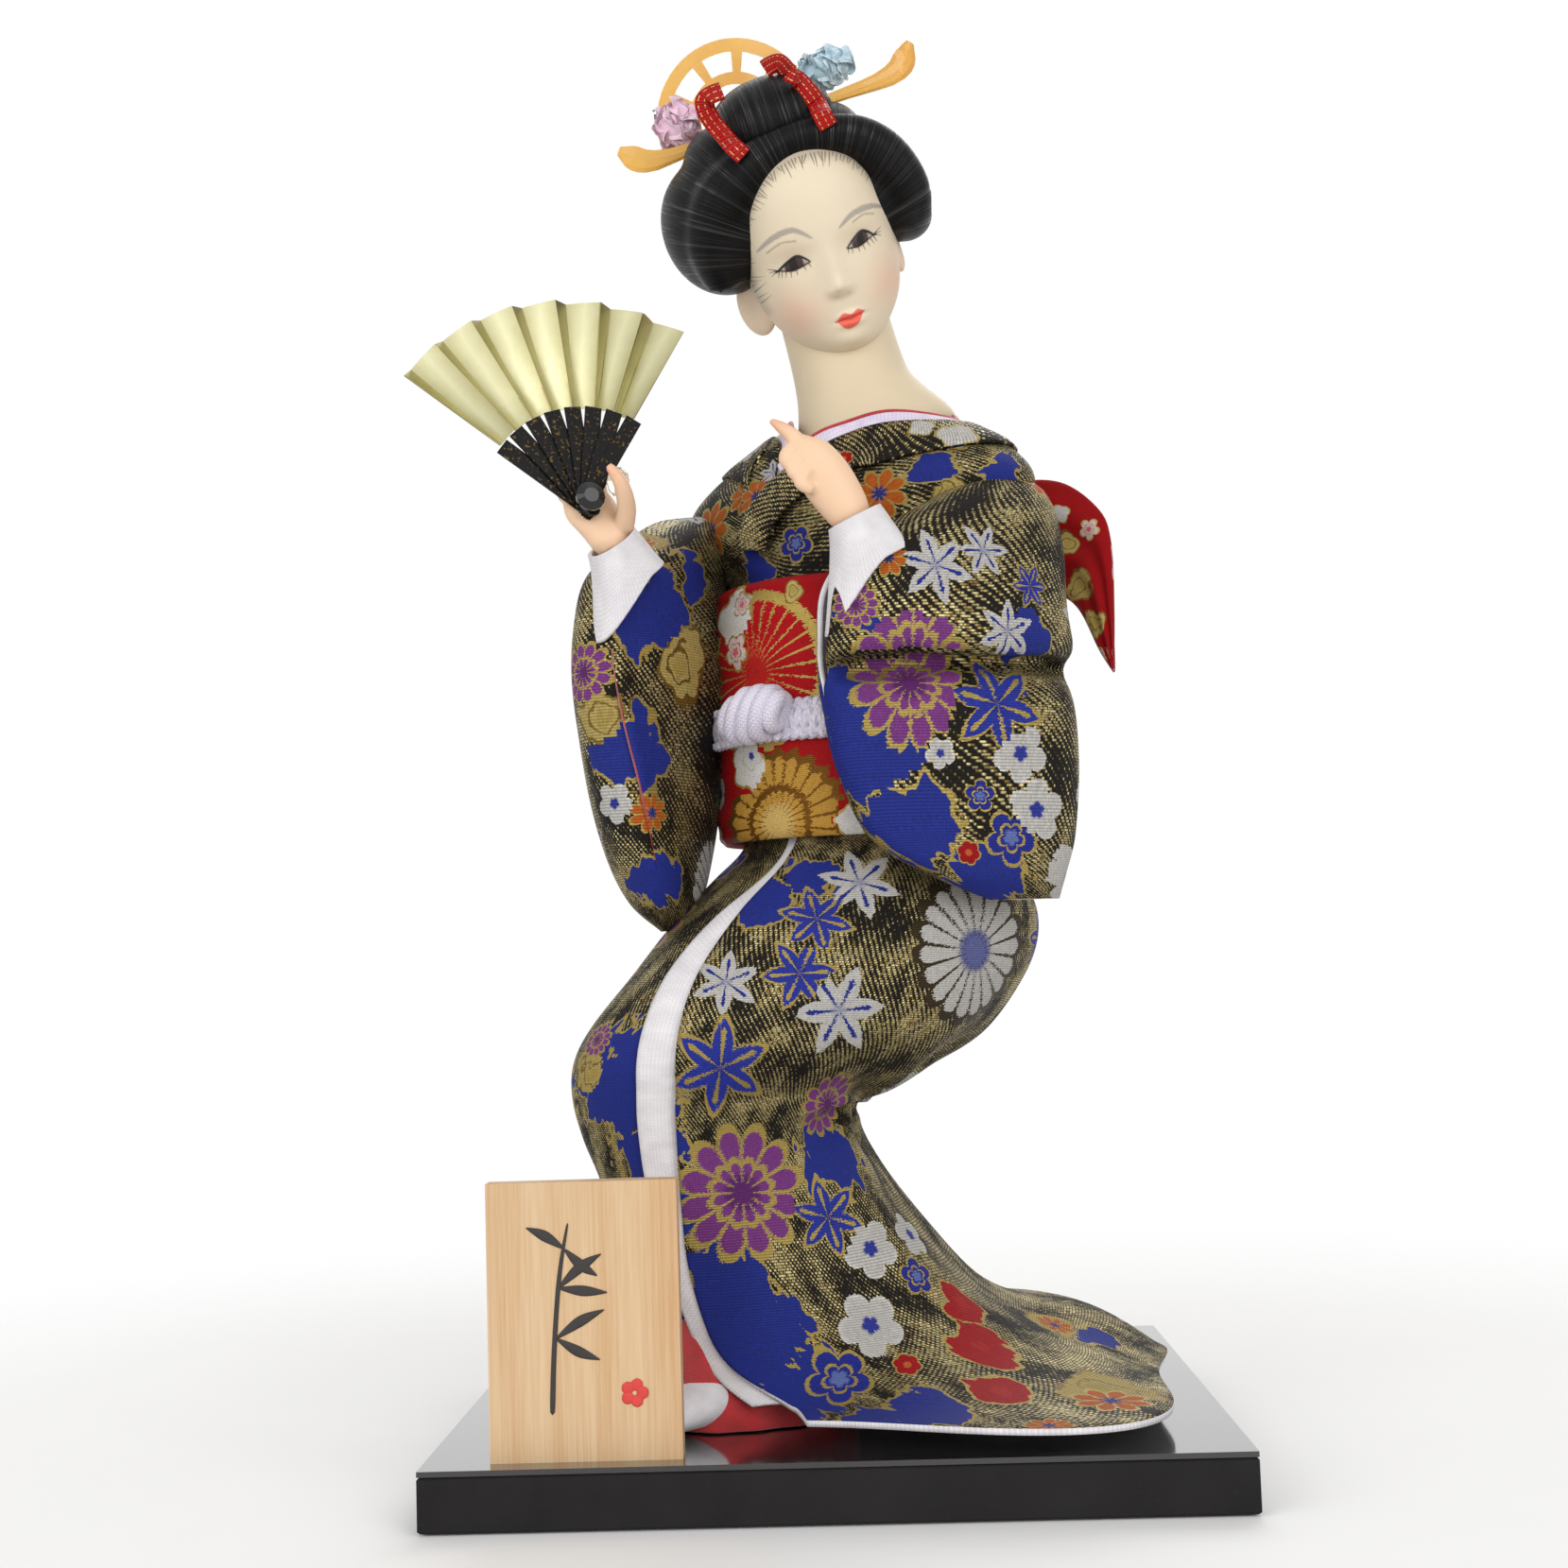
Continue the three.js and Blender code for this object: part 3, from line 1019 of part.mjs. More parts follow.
const ribbonSide = onHead(1, 0, 0).sub(HEAD_CENTRE);
function ribbon(x) {
  const path = [0.02, 0.16, 0.32, 0.5, 0.66].map((f) => onBun(x, f));
  const wide = [1, 1, 1, 1, 0.83].map((share) => share * RIBBON_HALF_WIDTH);
  const thick = [RIBBON_HALF_THICKNESS, RIBBON_HALF_THICKNESS];
  return solid(limb(path, wide, thick, ribbonSide, 6, 9));
}
const hairCuts = [wigClear, bunClear, pinClear, combClear];
add(headdress, "ribbon_right", shaped(without(ribbon(-10), ...hairCuts)), "red");
add(headdress, "ribbon_left", shaped(without(ribbon(7), ...hairCuts)), "red");
const pinkFlower = blob([-20.5, 16.5, 29.5], [4.6, 4, 5.4], 0, 10, 7);
const blueFlower = blob([14.5, 17.5, 31], [6, 4, 4], 0, 10, 7);
add(headdress, "flower_pink", shaped(without(pinkFlower, ...hairCuts)), "pink");
add(headdress, "flower_blue", shaped(without(blueFlower, ...hairCuts)), "blue");

// Bow at the back of the sash: a knot and two hanging wings.
const BOW_BACK = sash.offset(0.25, sash.level(172), sashIn + SASH_THICKNESS);
const BOW_TURN = THREE.MathUtils.degToRad(sashStations[2][6]);
const sideways = point(Math.cos(BOW_TURN), Math.sin(BOW_TURN), 0);
const backward = point(-Math.sin(BOW_TURN), Math.cos(BOW_TURN), 0);
const onBow = (across, height, depth) => point(BOW_BACK.x, BOW_BACK.y, height)
  .addScaledVector(sideways, across).addScaledVector(backward, depth);
// Outline of a wing as [distance from the knot, height] pairs.
const WING = [
  [7, 196], [24, 203.5], [38, 203], [48, 195], [51.5, 187], [51.5, 172], [50.5, 158.5], [47, 163], [41, 178],
  [24, 176], [7, 172],
];
function wing(side) {
  const outline = WING.map(([s, z]) => [s * side, z]);
  const made = plate(side > 0 ? outline : outline.reverse(), BOW_DEPTH, BOW_EDGE);
  return solid(warp(made, (x, y, z) => onBow(x, y, z - BOW_SEAT - (x * x) / BOW_CURL)));
}
const bowKnot = solid(warp(new THREE.BoxGeometry(1, 1, 1, 4, 4, 2), (x, y, z) => onBow(
  x * BOW_KNOT.width * (1 - 0.5 * z * z),
  BOW_KNOT.middle + y * BOW_KNOT.height * (1 - 0.3 * z * z),
  BOW_KNOT.out + z * BOW_KNOT.depth,
)));
const knotRoom = solid(warp(new THREE.BoxGeometry(1, 1, 1), (x, y, z) => onBow(
  x * (BOW_KNOT.width + 2 * FIT_GAP),
  BOW_KNOT.middle + y * (BOW_KNOT.height + 2 * FIT_GAP),
  BOW_KNOT.out + z * (BOW_KNOT.depth + 2 * FIT_GAP),
)));
const bowCuts = [bodiceClear, ...waistClear, ...sleevesClear];
add(clothes, "bow_knot", shaped(without(bowKnot, ...bowCuts)), "red");
add(clothes, "bow_wing_left", shaped(without(wing(1), ...bowCuts, knotRoom)), "red");
add(clothes, "bow_wing_right", shaped(without(wing(-1), ...bowCuts, knotRoom)), "red");

export default doll;
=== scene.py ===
"""Looks of the kneeling doll: cloth, hair, face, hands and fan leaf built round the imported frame."""

from __future__ import annotations

import logging
import math
from dataclasses import dataclass, field
from enum import Enum, IntEnum
from typing import Any, Callable, Iterable, Sequence

import bmesh
import bpy
import numpy as np
from mathutils import Matrix, Vector
from mathutils.bvhtree import BVHTree


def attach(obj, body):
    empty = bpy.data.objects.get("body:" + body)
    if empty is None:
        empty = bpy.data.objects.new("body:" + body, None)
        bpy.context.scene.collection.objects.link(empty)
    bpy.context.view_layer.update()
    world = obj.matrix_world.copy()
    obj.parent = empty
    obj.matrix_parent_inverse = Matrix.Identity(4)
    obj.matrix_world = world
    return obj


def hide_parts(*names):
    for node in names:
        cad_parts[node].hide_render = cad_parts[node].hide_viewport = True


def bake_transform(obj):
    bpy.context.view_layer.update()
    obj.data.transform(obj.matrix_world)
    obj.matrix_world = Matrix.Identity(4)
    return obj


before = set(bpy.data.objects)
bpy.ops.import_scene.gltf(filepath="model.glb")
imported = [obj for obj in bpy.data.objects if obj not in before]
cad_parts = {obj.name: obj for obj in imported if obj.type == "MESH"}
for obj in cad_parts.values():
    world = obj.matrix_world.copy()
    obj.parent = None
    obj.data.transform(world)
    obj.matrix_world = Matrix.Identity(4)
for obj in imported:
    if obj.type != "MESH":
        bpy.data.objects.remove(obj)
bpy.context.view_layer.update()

LOG = logging.getLogger("doll")
MM = 0.001
TAU = 2.0 * math.pi
SEED = 7

Colour = tuple[float, float, float]
Point = tuple[float, float, float]
Array = np.ndarray
Material = bpy.types.Material
Piece = bpy.types.Object
Shell = bmesh.types.BMesh
Surface = Callable[[Array, Array], Array]


def srgb(red: int, green: int, blue: int) -> Colour:
    """Linear colour of a 0 to 255 display colour."""
    shares = [c / 255.0 for c in (red, green, blue)]
    return tuple(c / 12.92 if c <= 0.04045 else ((c + 0.055) / 1.055) ** 2.4 for c in shares)


def unit(vectors: Array) -> Array:
    """Vectors scaled to length one along the last axis."""
    length = np.linalg.norm(vectors, axis=-1, keepdims=True)
    return vectors / np.maximum(length, 1e-9)


def scaled(values: Array, way: Array) -> Array:
    """Vectors along a direction, one for each value."""
    return np.multiply.outer(values, way)


def smooth(x: Array | float, low: float, high: float) -> Array:
    """Smooth step from 0 at low to 1 at high."""
    t = np.clip((np.asarray(x, float) - low) / (high - low), 0.0, 1.0)
    return t * t * (3.0 - 2.0 * t)


def bell(x: Array | float, middle: float, spread: float) -> Array:
    """Bell curve of height one."""
    return np.exp(-(((np.asarray(x, float) - middle) / spread) ** 2))


def spline(points: Sequence[Sequence[float]], share: Array) -> Array:
    """Even Catmull-Rom spline through rows of values.

    Args:
        points: rows of values, one row for each station.
        share: places along the spline from 0 to 1, of any shape.

    Returns:
        Values with the shape of share and one more axis for the columns.
    """
    rows = np.asarray(points, float)
    if rows.ndim == 1:
        rows = rows[:, None]
    last = len(rows) - 1
    along = np.clip(np.asarray(share, float), 0.0, 1.0) * last
    start = np.minimum(along.astype(int), last - 1)
    t = (along - start)[..., None]
    picks = [rows[np.clip(start + k, 0, last)] for k in (-1, 0, 1, 2)]
    before, a, b, after = picks
    return 0.5 * (
        2.0 * a
        + (b - before) * t
        + (2.0 * before - 5.0 * a + 4.0 * b - after) * t**2
        + (3.0 * a - before - 3.0 * b + after) * t**3
    )


def power(values: Array, exponent: float) -> Array:
    """Signed power, which squares off a round section for exponents under one."""
    return np.sign(values) * np.abs(values) ** exponent


class Sock:
    """Output of a shader node with arithmetic that adds nodes to the same tree."""

    def __init__(self, finish: "Tree", socket: bpy.types.NodeSocket) -> None:
        """Keeps the tree and the socket of the value."""
        self.finish = finish
        self.socket = socket

    def op(self, operation: str, other: "Sock | float" = 0.0, swap: bool = False) -> "Sock":
        """Math node of this socket and another value."""
        pair = (other, self) if swap else (self, other)
        return self.finish.math(operation, *pair)

    def __add__(self, other: "Sock | float") -> "Sock":
        """Sum with another value."""
        return self.op("ADD", other)

    def __sub__(self, other: "Sock | float") -> "Sock":
        """Difference from another value."""
        return self.op("SUBTRACT", other)

    def __mul__(self, other: "Sock | float") -> "Sock":
        """Product with another value."""
        return self.op("MULTIPLY", other)

    def __truediv__(self, other: "Sock | float") -> "Sock":
        """Quotient by another value."""
        return self.op("DIVIDE", other)

    def __pow__(self, other: "Sock | float") -> "Sock":
        """Power of the value."""
        return self.op("POWER", other)

    def __lt__(self, other: "Sock | float") -> "Sock":
        """One where the value is smaller, else 0."""
        return self.op("LESS_THAN", other)

    def __gt__(self, other: "Sock | float") -> "Sock":
        """One where the value is greater, else 0."""
        return self.op("GREATER_THAN", other)

    def __rsub__(self, other: "Sock | float") -> "Sock":
        """Difference of a number and the value."""
        return self.op("SUBTRACT", other, swap=True)

    __radd__ = __add__
    __rmul__ = __mul__

    def wave(self, pitch: "Sock | float") -> "Sock":
        """Triangle wave from 0 to 1 that repeats at each pitch."""
        return self.op("PINGPONG", pitch) / pitch

    def cell(self) -> "Sock":
        """Whole number at or below the value."""
        return self.op("FLOOR")

    def step(self, low: float, high: float) -> "Sock":
        """Smooth step of the value from low to high.

        Args:
            low: value where the step begins.
            high: value where it ends.

        Returns:
            The step, from 0 to 1.
        """
        made = self.finish.node(
            "ShaderNodeMapRange",
            {"interpolation_type": "SMOOTHSTEP"},
            {"Value": self, "From Min": low, "From Max": high},
        )
        return Sock(self.finish, made.outputs[0])

    def near(self, value: float, reach: float = 0.5) -> "Sock":
        """One where the value is within reach of a number, else 0."""
        return self.finish.math("COMPARE", self, value, reach)


class Tree:
    """Node tree with short calls for the nodes that the finishes and the backdrop use."""

    def __init__(self, owner: Material | bpy.types.World) -> None:
        """Clears the owner's node tree.

        Args:
            owner: material or world whose tree it is.
        """
        owner.use_nodes = True
        self.tree = owner.node_tree
        self.tree.nodes.clear()

    def link(self, source: bpy.types.NodeSocket, target: bpy.types.NodeSocket) -> None:
        """Link from one socket to another."""
        self.tree.links.new(source, target)

    def node(
        self, kind: str, settings: dict[str, Any] | None = None, values: dict[Any, Any] | None = None
    ) -> bpy.types.Node:
        """New node with its settings made first, then its sockets set or linked.

        Args:
            kind: the node's type name.
            settings: attributes set on the node.
            values: socket names or places, with the values or Socks that go in.

        Returns:
            The node.
        """
        made = self.tree.nodes.new(kind)
        for key, value in (settings or {}).items():
            setattr(made, key, value)
        for key, value in (values or {}).items():
            self.put(made.inputs[key], value)
        return made

    def put(self, target: bpy.types.NodeSocket, value: Any) -> None:
        """Value or link put into a socket.

        Args:
            target: socket to fill.
            value: a number, a colour or a value of the tree.
        """
        if isinstance(value, Sock):
            self.link(value.socket, target)
        elif target.type == "RGBA" and len(value) == 3:
            target.default_value = (*value, 1.0)
        else:
            target.default_value = value

    def math(self, operation: str, *values: "Sock | float") -> Sock:
        """Math node of up to three values."""
        made = self.node("ShaderNodeMath", {"operation": operation}, dict(enumerate(values)))
        return Sock(self, made.outputs[0])

    def mix(
        self, share: "Sock | float", low: "Sock | Colour", high: "Sock | Colour", how: str = "MIX"
    ) -> Sock:
        """Mix of two colours.

        Args:
            share: how much of the second colour.
            low: first colour.
            high: second colour.
            how: blend type.

        Returns:
            The mixed colour.
        """
        settings = {"data_type": "RGBA", "blend_type": how}
        made = self.node("ShaderNodeMix", settings, {0: share, 6: low, 7: high})
        return Sock(self, made.outputs[2])

    def shaded(self, colour: Sock, share: Sock) -> Sock:
        """Colour multiplied by a number."""
        return self.mix(1.0, colour, self.join(share, share, share), "MULTIPLY")

    def attribute(self, name: str, output: str = "Vector") -> Sock:
        """Mesh attribute as a vector, colour or number."""
        made = self.node("ShaderNodeAttribute", {"attribute_name": name})
        return Sock(self, made.outputs[output])

    def place(self) -> Sock:
        """Position in the piece's own frame, in metres."""
        return Sock(self, self.node("ShaderNodeTexCoord").outputs["Object"])

    def split(self, vector: Sock) -> tuple[Sock, Sock, Sock]:
        """Three numbers of a vector."""
        made = self.node("ShaderNodeSeparateXYZ", None, {0: vector})
        return tuple(Sock(self, made.outputs[k]) for k in range(3))

    def join(self, x: "Sock | float", y: "Sock | float", z: "Sock | float" = 0.0) -> Sock:
        """Vector of three numbers."""
        return Sock(self, self.node("ShaderNodeCombineXYZ", None, {0: x, 1: y, 2: z}).outputs[0])

    def noise(self, vector: Sock, scale: float, detail: float = 2.0, rough: float = 0.5) -> Sock:
        """Noise from 0 to 1."""
        values = {"Vector": vector, "Scale": scale, "Detail": detail, "Roughness": rough}
        return Sock(self, self.node("ShaderNodeTexNoise", None, values).outputs[0])

    def ramp(self, share: Sock, stops: Sequence[tuple[float, Colour]], steps: bool = False) -> Sock:
        """Colour ramp through stops, blended or in steps.

        Args:
            share: place on the ramp.
            stops: places with their colours.
            steps: whether the colours change in steps.

        Returns:
            The ramp's colour.
        """
        made = self.node("ShaderNodeValToRGB", None, {0: share})
        made.color_ramp.interpolation = "CONSTANT" if steps else "LINEAR"
        elements = made.color_ramp.elements
        elements.remove(elements[-1])
        for number, (place, colour) in enumerate(sorted(stops)):
            element = elements[0] if number == 0 else elements.new(place)
            element.position = place
            element.color = (*colour, 1.0)
        return Sock(self, made.outputs[0])

    def bump(self, height: Sock, depth: float, strength: float = 1.0) -> Sock:
        """Normal bent by a height from 0 to 1, its depth in metres."""
        values = {"Height": height, "Distance": depth, "Strength": strength}
        return Sock(self, self.node("ShaderNodeBump", None, values).outputs[0])


class Paint(Tree):
    """Node tree of one material round a principled shader."""

    def __init__(self, name: str) -> None:
        """Makes a material with a principled shader and its output.

        Args:
            name: name of the material.
        """
        self.material = bpy.data.materials.new(name)
        super().__init__(self.material)
        self.shader = self.node("ShaderNodeBsdfPrincipled")
        self.node("ShaderNodeOutputMaterial", None, {"Surface": Sock(self, self.shader.outputs[0])})

    def finish(self, **values: Any) -> Material:
        """Principled sockets set by name, with underscores for spaces, and the material made.

        Returns:
            The material.
        """
        for key, value in values.items():
            self.put(self.shader.inputs[key.replace("_", " ")], value)
        return self.material


class Motif(IntEnum):
    """Woven and printed patterns that a cloth face can carry."""

    NONE = 0
    WHITE_MAPLE = 1
    BLUE_LEAF = 2
    PURPLE_MUM = 3
    WHITE_PLUM = 4
    ORANGE_FLOWER = 5
    WHITE_MUM = 6
    RED_DOT = 7
    BLUE_PLUM = 8
    GOLD_FAN = 9
    WHITE_CLOUD = 10
    PINK_PLUM = 11
    BLUE_CLOUD = 12
    GOLD_CLOUD = 13
    GOLD_RAYS = 14
    RED_CLOUD = 15


GOLD = srgb(205, 178, 96)
DARK_GOLD = srgb(150, 120, 55)
WHITE = srgb(236, 232, 226)
BLUE = srgb(44, 60, 166)
ORANGE = srgb(222, 112, 34)
RED = srgb(196, 16, 26)
KINDS = 16.0
MOST_PETALS = 32.0
MOST_ROUND = 4.0


@dataclass(frozen=True)
class Pattern:
    """How one motif is drawn: its lobes, its colours and which gold lines it has."""

    petals: int
    base: float
    round: float
    main: Colour
    second: Colour
    line: Colour = GOLD
    veins: float = 0.0
    gaps: float = 0.0
    ring: float = 0.0
    rim: float = 1.0
    wild: float = 0.0


PATTERNS: dict[Motif, Pattern] = {
    Motif.NONE: Pattern(5, 0.5, 1.0, GOLD, GOLD),
    Motif.WHITE_MAPLE: Pattern(6, 0.42, 0.9, WHITE, srgb(206, 205, 214), BLUE, veins=1.0, rim=0.0),
    Motif.BLUE_LEAF: Pattern(6, 0.42, 1.0, srgb(52, 66, 186), BLUE, GOLD, veins=1.0),
    Motif.PURPLE_MUM: Pattern(
        12, 0.72, 2.4, srgb(150, 72, 158), srgb(118, 48, 128), GOLD, gaps=1.0, ring=1.0
    ),
    Motif.WHITE_PLUM: Pattern(5, 0.66, 2.4, WHITE, srgb(60, 70, 180), WHITE),
    Motif.ORANGE_FLOWER: Pattern(8, 0.62, 1.8, ORANGE, srgb(60, 62, 150), GOLD, gaps=1.0),
    Motif.WHITE_MUM: Pattern(18, 0.84, 2.6, WHITE, srgb(120, 126, 190), srgb(70, 58, 36), gaps=1.0),
    Motif.RED_DOT: Pattern(6, 0.8, 2.0, RED, srgb(236, 120, 60), GOLD),
    Motif.BLUE_PLUM: Pattern(5, 0.62, 2.4, srgb(44, 56, 168), srgb(120, 140, 214), GOLD, ring=1.0),
    Motif.GOLD_FAN: Pattern(
        24, 0.9, 1.0, srgb(206, 156, 66), srgb(222, 186, 110), srgb(126, 82, 26), gaps=1.0, ring=1.0
    ),
    Motif.GOLD_RAYS: Pattern(28, 1.0, 1.0, RED, srgb(206, 40, 36), GOLD, gaps=1.0),
    Motif.WHITE_CLOUD: Pattern(4, 0.74, 1.6, WHITE, WHITE, GOLD, wild=0.7),
    Motif.PINK_PLUM: Pattern(5, 0.6, 2.4, srgb(244, 214, 214), srgb(226, 110, 130), GOLD, ring=1.0),
    Motif.BLUE_CLOUD: Pattern(3, 0.8, 1.4, BLUE, BLUE, GOLD, wild=1.0),
    Motif.GOLD_CLOUD: Pattern(3, 0.74, 1.4, srgb(214, 190, 112), GOLD, DARK_GOLD, ring=1.0, wild=0.8),
    Motif.RED_CLOUD: Pattern(3, 0.8, 1.4, RED, srgb(206, 40, 36), GOLD, wild=0.7),
}


class Ground(Enum):
    """Cloth behind the motifs."""

    LAME = "gold lame twill"
    PRINT = "plain red print cloth"


@dataclass(frozen=True)
class Brocade:
    """Figured cloth: a ground, a layer of clouds and a layer of motifs, all drawn in threads."""

    name: str
    ground: Ground
    pitch: float = 0.46

    def layer(self, paint: Paint, source: str, colour: Sock, metal: Sock) -> tuple[Sock, Sock]:
        """One layer of motifs laid over the cloth so far.

        Args:
            paint: the material's tree.
            source: the face attribute with the place in the motif and its kind.
            colour: colour of the cloth below.
            metal: how metallic the cloth below is.

        Returns:
            Colour and metal with the layer on top.
        """
        x, y, kind = paint.split(paint.attribute(source))
        across, along, _ = paint.split(paint.attribute("thread"))
        key = (kind + 0.5) / KINDS

        def choose(value: Callable[[Pattern], Colour]) -> Sock:
            """Value of the face's own pattern."""
            return paint.ramp(key, [(k / KINDS, value(p)) for k, p in PATTERNS.items()], steps=True)

        rim, wild, _ = paint.split(choose(lambda p: (p.rim, p.wild, 0.0)))
        ragged = paint.noise(paint.join(across * 1.3, along * 2.4), 1.0, 1.0) - 0.5
        x = x + ragged * 0.14 + (paint.noise(paint.join(across, along), 0.13, 2.0) - 0.5) * wild * 1.8
        y = y + ragged * 0.1 + (paint.noise(paint.join(along, across), 0.13, 2.0) - 0.5) * wild * 1.8
        shape = choose(lambda p: (p.petals / MOST_PETALS, p.base, p.round / MOST_ROUND))
        petals, base, fullness = paint.split(shape)
        vein, gap, ring = paint.split(choose(lambda p: (p.veins, p.gaps, p.ring)))
        lobe = (paint.math("ARCTAN2", y, x) * petals * (MOST_PETALS / TAU)).wave(0.5)
        edge = base + (1.0 - base) * (1.0 - lobe ** (fullness * MOST_ROUND))
        radius = (x * x + y * y).op("SQRT")
        share = radius / edge
        cover = (share < 1.0) * (kind > 0.5)
        drawn = paint.math("MAXIMUM", (share > 0.87) * rim, (lobe < 0.16) * vein * (share < 0.72))
        drawn = paint.math("MAXIMUM", drawn, (lobe > 0.82) * gap * (share > 0.2))
        drawn = paint.math("MAXIMUM", drawn, share.near(0.48, 0.05) * ring)
        body = paint.mix(share.step(0.22, 0.34), choose(lambda p: p.second), choose(lambda p: p.main))
        figure = paint.mix(drawn, body, choose(lambda p: p.line))
        return paint.mix(cover, colour, figure), metal * (1.0 - cover) + cover * drawn * rim * 0.5

    def make(self) -> Material:
        """Material of the cloth.

        Returns:
            The material.
        """
        paint = Paint(self.name)
        across, along, _ = paint.split(paint.attribute("thread"))
        row = (along / self.pitch).cell()
        weft = (along / self.pitch).op("FRACT").wave(0.5)
        dash = paint.noise(paint.join(across * 0.8, row * 7.31), 1.0, 1.0)
        patch = paint.noise(paint.join(across, along), 0.09, 3.0)
        fleck = paint.noise(paint.join(across * 1.3, row * 3.7), 1.6, 1.0)
        if self.ground is Ground.LAME:
            twill = (across / 1.7 + row * 0.29).op("FRACT").wave(0.5)
            # Gold floats from the twill and the dashes, plus painted highlight and shade: the patch term
            # makes large areas where the gold reads lit or dark.
            gold_floats_and_painted_glint = (twill * 0.42 + dash * 0.58 + (patch - 0.5) * 1.3).step(0.46, 0.62)
            float_share = gold_floats_and_painted_glint * weft.step(0.0, 0.45)
            gold = paint.mix(fleck.step(0.3, 0.7), srgb(150, 118, 54), srgb(255, 240, 176))
            colour = paint.mix(float_share, srgb(24, 18, 11), gold)
            metal = float_share * 0.7
        else:
            colour = paint.mix(patch, srgb(160, 8, 16), srgb(200, 16, 24))
            metal = patch * 0.0
        colour, metal = self.layer(paint, "cloud", colour, metal)
        colour, metal = self.layer(paint, "motif", colour, metal)
        least = 0.12 if self.ground is Ground.LAME else 0.36
        # Darkens the whole cloth: the weft term is painted shade between the weft rows, the fleck term is
        # random tone of the threads.
        thread_shade_and_tone = weft * 0.3 + fleck * 0.46 + least
        colour = paint.shaded(colour, thread_shade_and_tone)
        warp = (across / self.pitch + row * 0.5).op("FRACT").wave(0.5)
        height = weft * 0.6 + warp * 0.4
        return paint.finish(
            Base_Color=colour,
            Metallic=metal,
            Roughness=0.62 - metal * 0.3,
            Normal=paint.bump(height, 0.00016, 0.6),
            Specular_IOR_Level=0.14,
            Sheen_Weight=0.02,
            Sheen_Roughness=0.4,
        )


@dataclass(frozen=True)
class Weave:
    """Plain, satin or crepe cloth in one colour with fine threads, with painted shade in the grooves between
    them.
    """

    name: str
    light: Colour
    dark: Colour
    pitch: float = 0.4
    roughness: float = 0.7
    sheen: float = 0.2
    depth: float = 0.00012

    def make(self) -> Material:
        """Material of the cloth.

        Returns:
            The material.
        """
        paint = Paint(self.name)
        across, along, _ = paint.split(paint.attribute("thread"))
        warp = (across / self.pitch).op("FRACT").wave(0.5)
        weft = (along / self.pitch).op("FRACT").wave(0.5)
        checker = ((across / self.pitch).cell() + (along / self.pitch).cell()).wave(1.0)
        height = warp * checker + weft * (1.0 - checker)
        patch = paint.noise(paint.join(across, along), 0.22, 3.0)
        # The height term paints shade into the grooves between threads; the patch term is random tone.
        share = patch * 0.7 + height * 0.3
        return paint.finish(
            Base_Color=paint.mix(share.step(0.2, 0.8), self.dark, self.light),
            Roughness=self.roughness + patch * 0.12,
            Normal=paint.bump(height, self.depth, 0.5),
            Sheen_Weight=self.sheen,
        )


@dataclass(frozen=True)
class Ribbon:
    """Ribbed lame ribbon with dashed gold stitch lines along it."""

    name: str
    width: float

    def make(self) -> Material:
        """Material of the ribbon.

        Returns:
            The material.
        """
        paint = Paint(self.name)
        across, along, _ = paint.split(paint.attribute("thread"))
        rib = (along / 0.45).op("FRACT").wave(0.5)
        lines = (across / (self.width / 3.0)).op("FRACT").near(0.5, 0.06)
        stitch = lines * ((along / 1.1).op("FRACT") < 0.55)
        # Ribs painted lighter on their tops and darker between them: painted highlight and shade along the
        # ribs.
        base = paint.mix(rib, srgb(116, 2, 8), srgb(196, 10, 18))
        return paint.finish(
            Base_Color=paint.mix(stitch, base, GOLD),
            Metallic=stitch * 0.7,
            Roughness=0.45 - stitch * 0.15,
            Specular_IOR_Level=0.2,
            Normal=paint.bump(rib + stitch, 0.0002, 0.6),
        )


@dataclass(frozen=True)
class Skin:
    """Matt painted skin whose features come from a colour attribute."""

    name: str
    roughness: float = 0.55

    def make(self) -> Material:
        """Material of the skin.

        Returns:
            The material.
        """
        paint = Paint(self.name)
        place = paint.place()
        cloudy = paint.noise(place, 140.0, 3.0)
        grain = paint.noise(place, 2600.0, 2.0)
        tint = cloudy * 0.05 + 0.97
        painted = paint.attribute("paint", "Color")
        return paint.finish(
            Base_Color=paint.shaded(painted, tint),
            Roughness=self.roughness + grain * 0.1,
            Normal=paint.bump(grain, 0.00004, 0.35),
            Subsurface_Weight=0.06,
            Subsurface_Radius=(0.004, 0.002, 0.0012),
        )


@dataclass(frozen=True)
class Glaze:
    """Wet-looking clear coat over a colour attribute."""

    name: str

    def make(self) -> Material:
        """Material of the glaze.

        Returns:
            The material.
        """
        paint = Paint(self.name)
        streak = paint.noise(paint.place(), 1400.0, 2.0)
        tint = streak * 0.5 + 0.75
        painted = paint.attribute("paint", "Color")
        return paint.finish(
            Base_Color=paint.shaded(painted, tint),
            Roughness=0.3,
            Coat_Weight=0.3,
            Coat_Roughness=0.04,
            Specular_IOR_Level=0.15,
            Normal=paint.bump(streak, 0.00003, 0.3),
        )


@dataclass(frozen=True)
class Hair:
    """Combed black hair with fine strands and a soft sheen."""

    name: str
    strands: float = 3.4

    def make(self) -> Material:
        """Material of the hair.

        Returns:
            The material.
        """
        paint = Paint(self.name)
        across, along, _ = paint.split(paint.attribute("strand"))
        fine = paint.noise(paint.join(across * self.strands, along * 0.05), 1.0, 3.0, 0.7)
        lock = paint.noise(paint.join(across * 0.5, along * 0.02), 1.0, 2.0)
        glint = fine.step(0.5, 0.68) * lock.step(0.3, 0.6)
        return paint.finish(
            Base_Color=paint.mix(glint, srgb(9, 8, 9), srgb(40, 36, 34)),
            Roughness=0.3 + fine * 0.2,
            Coat_Weight=glint * 0.8,
            Coat_Roughness=0.22,
            Normal=paint.bump(fine * 0.8 + lock * 0.5, 0.0006, 0.7),
            Specular_IOR_Level=0.12,
        )


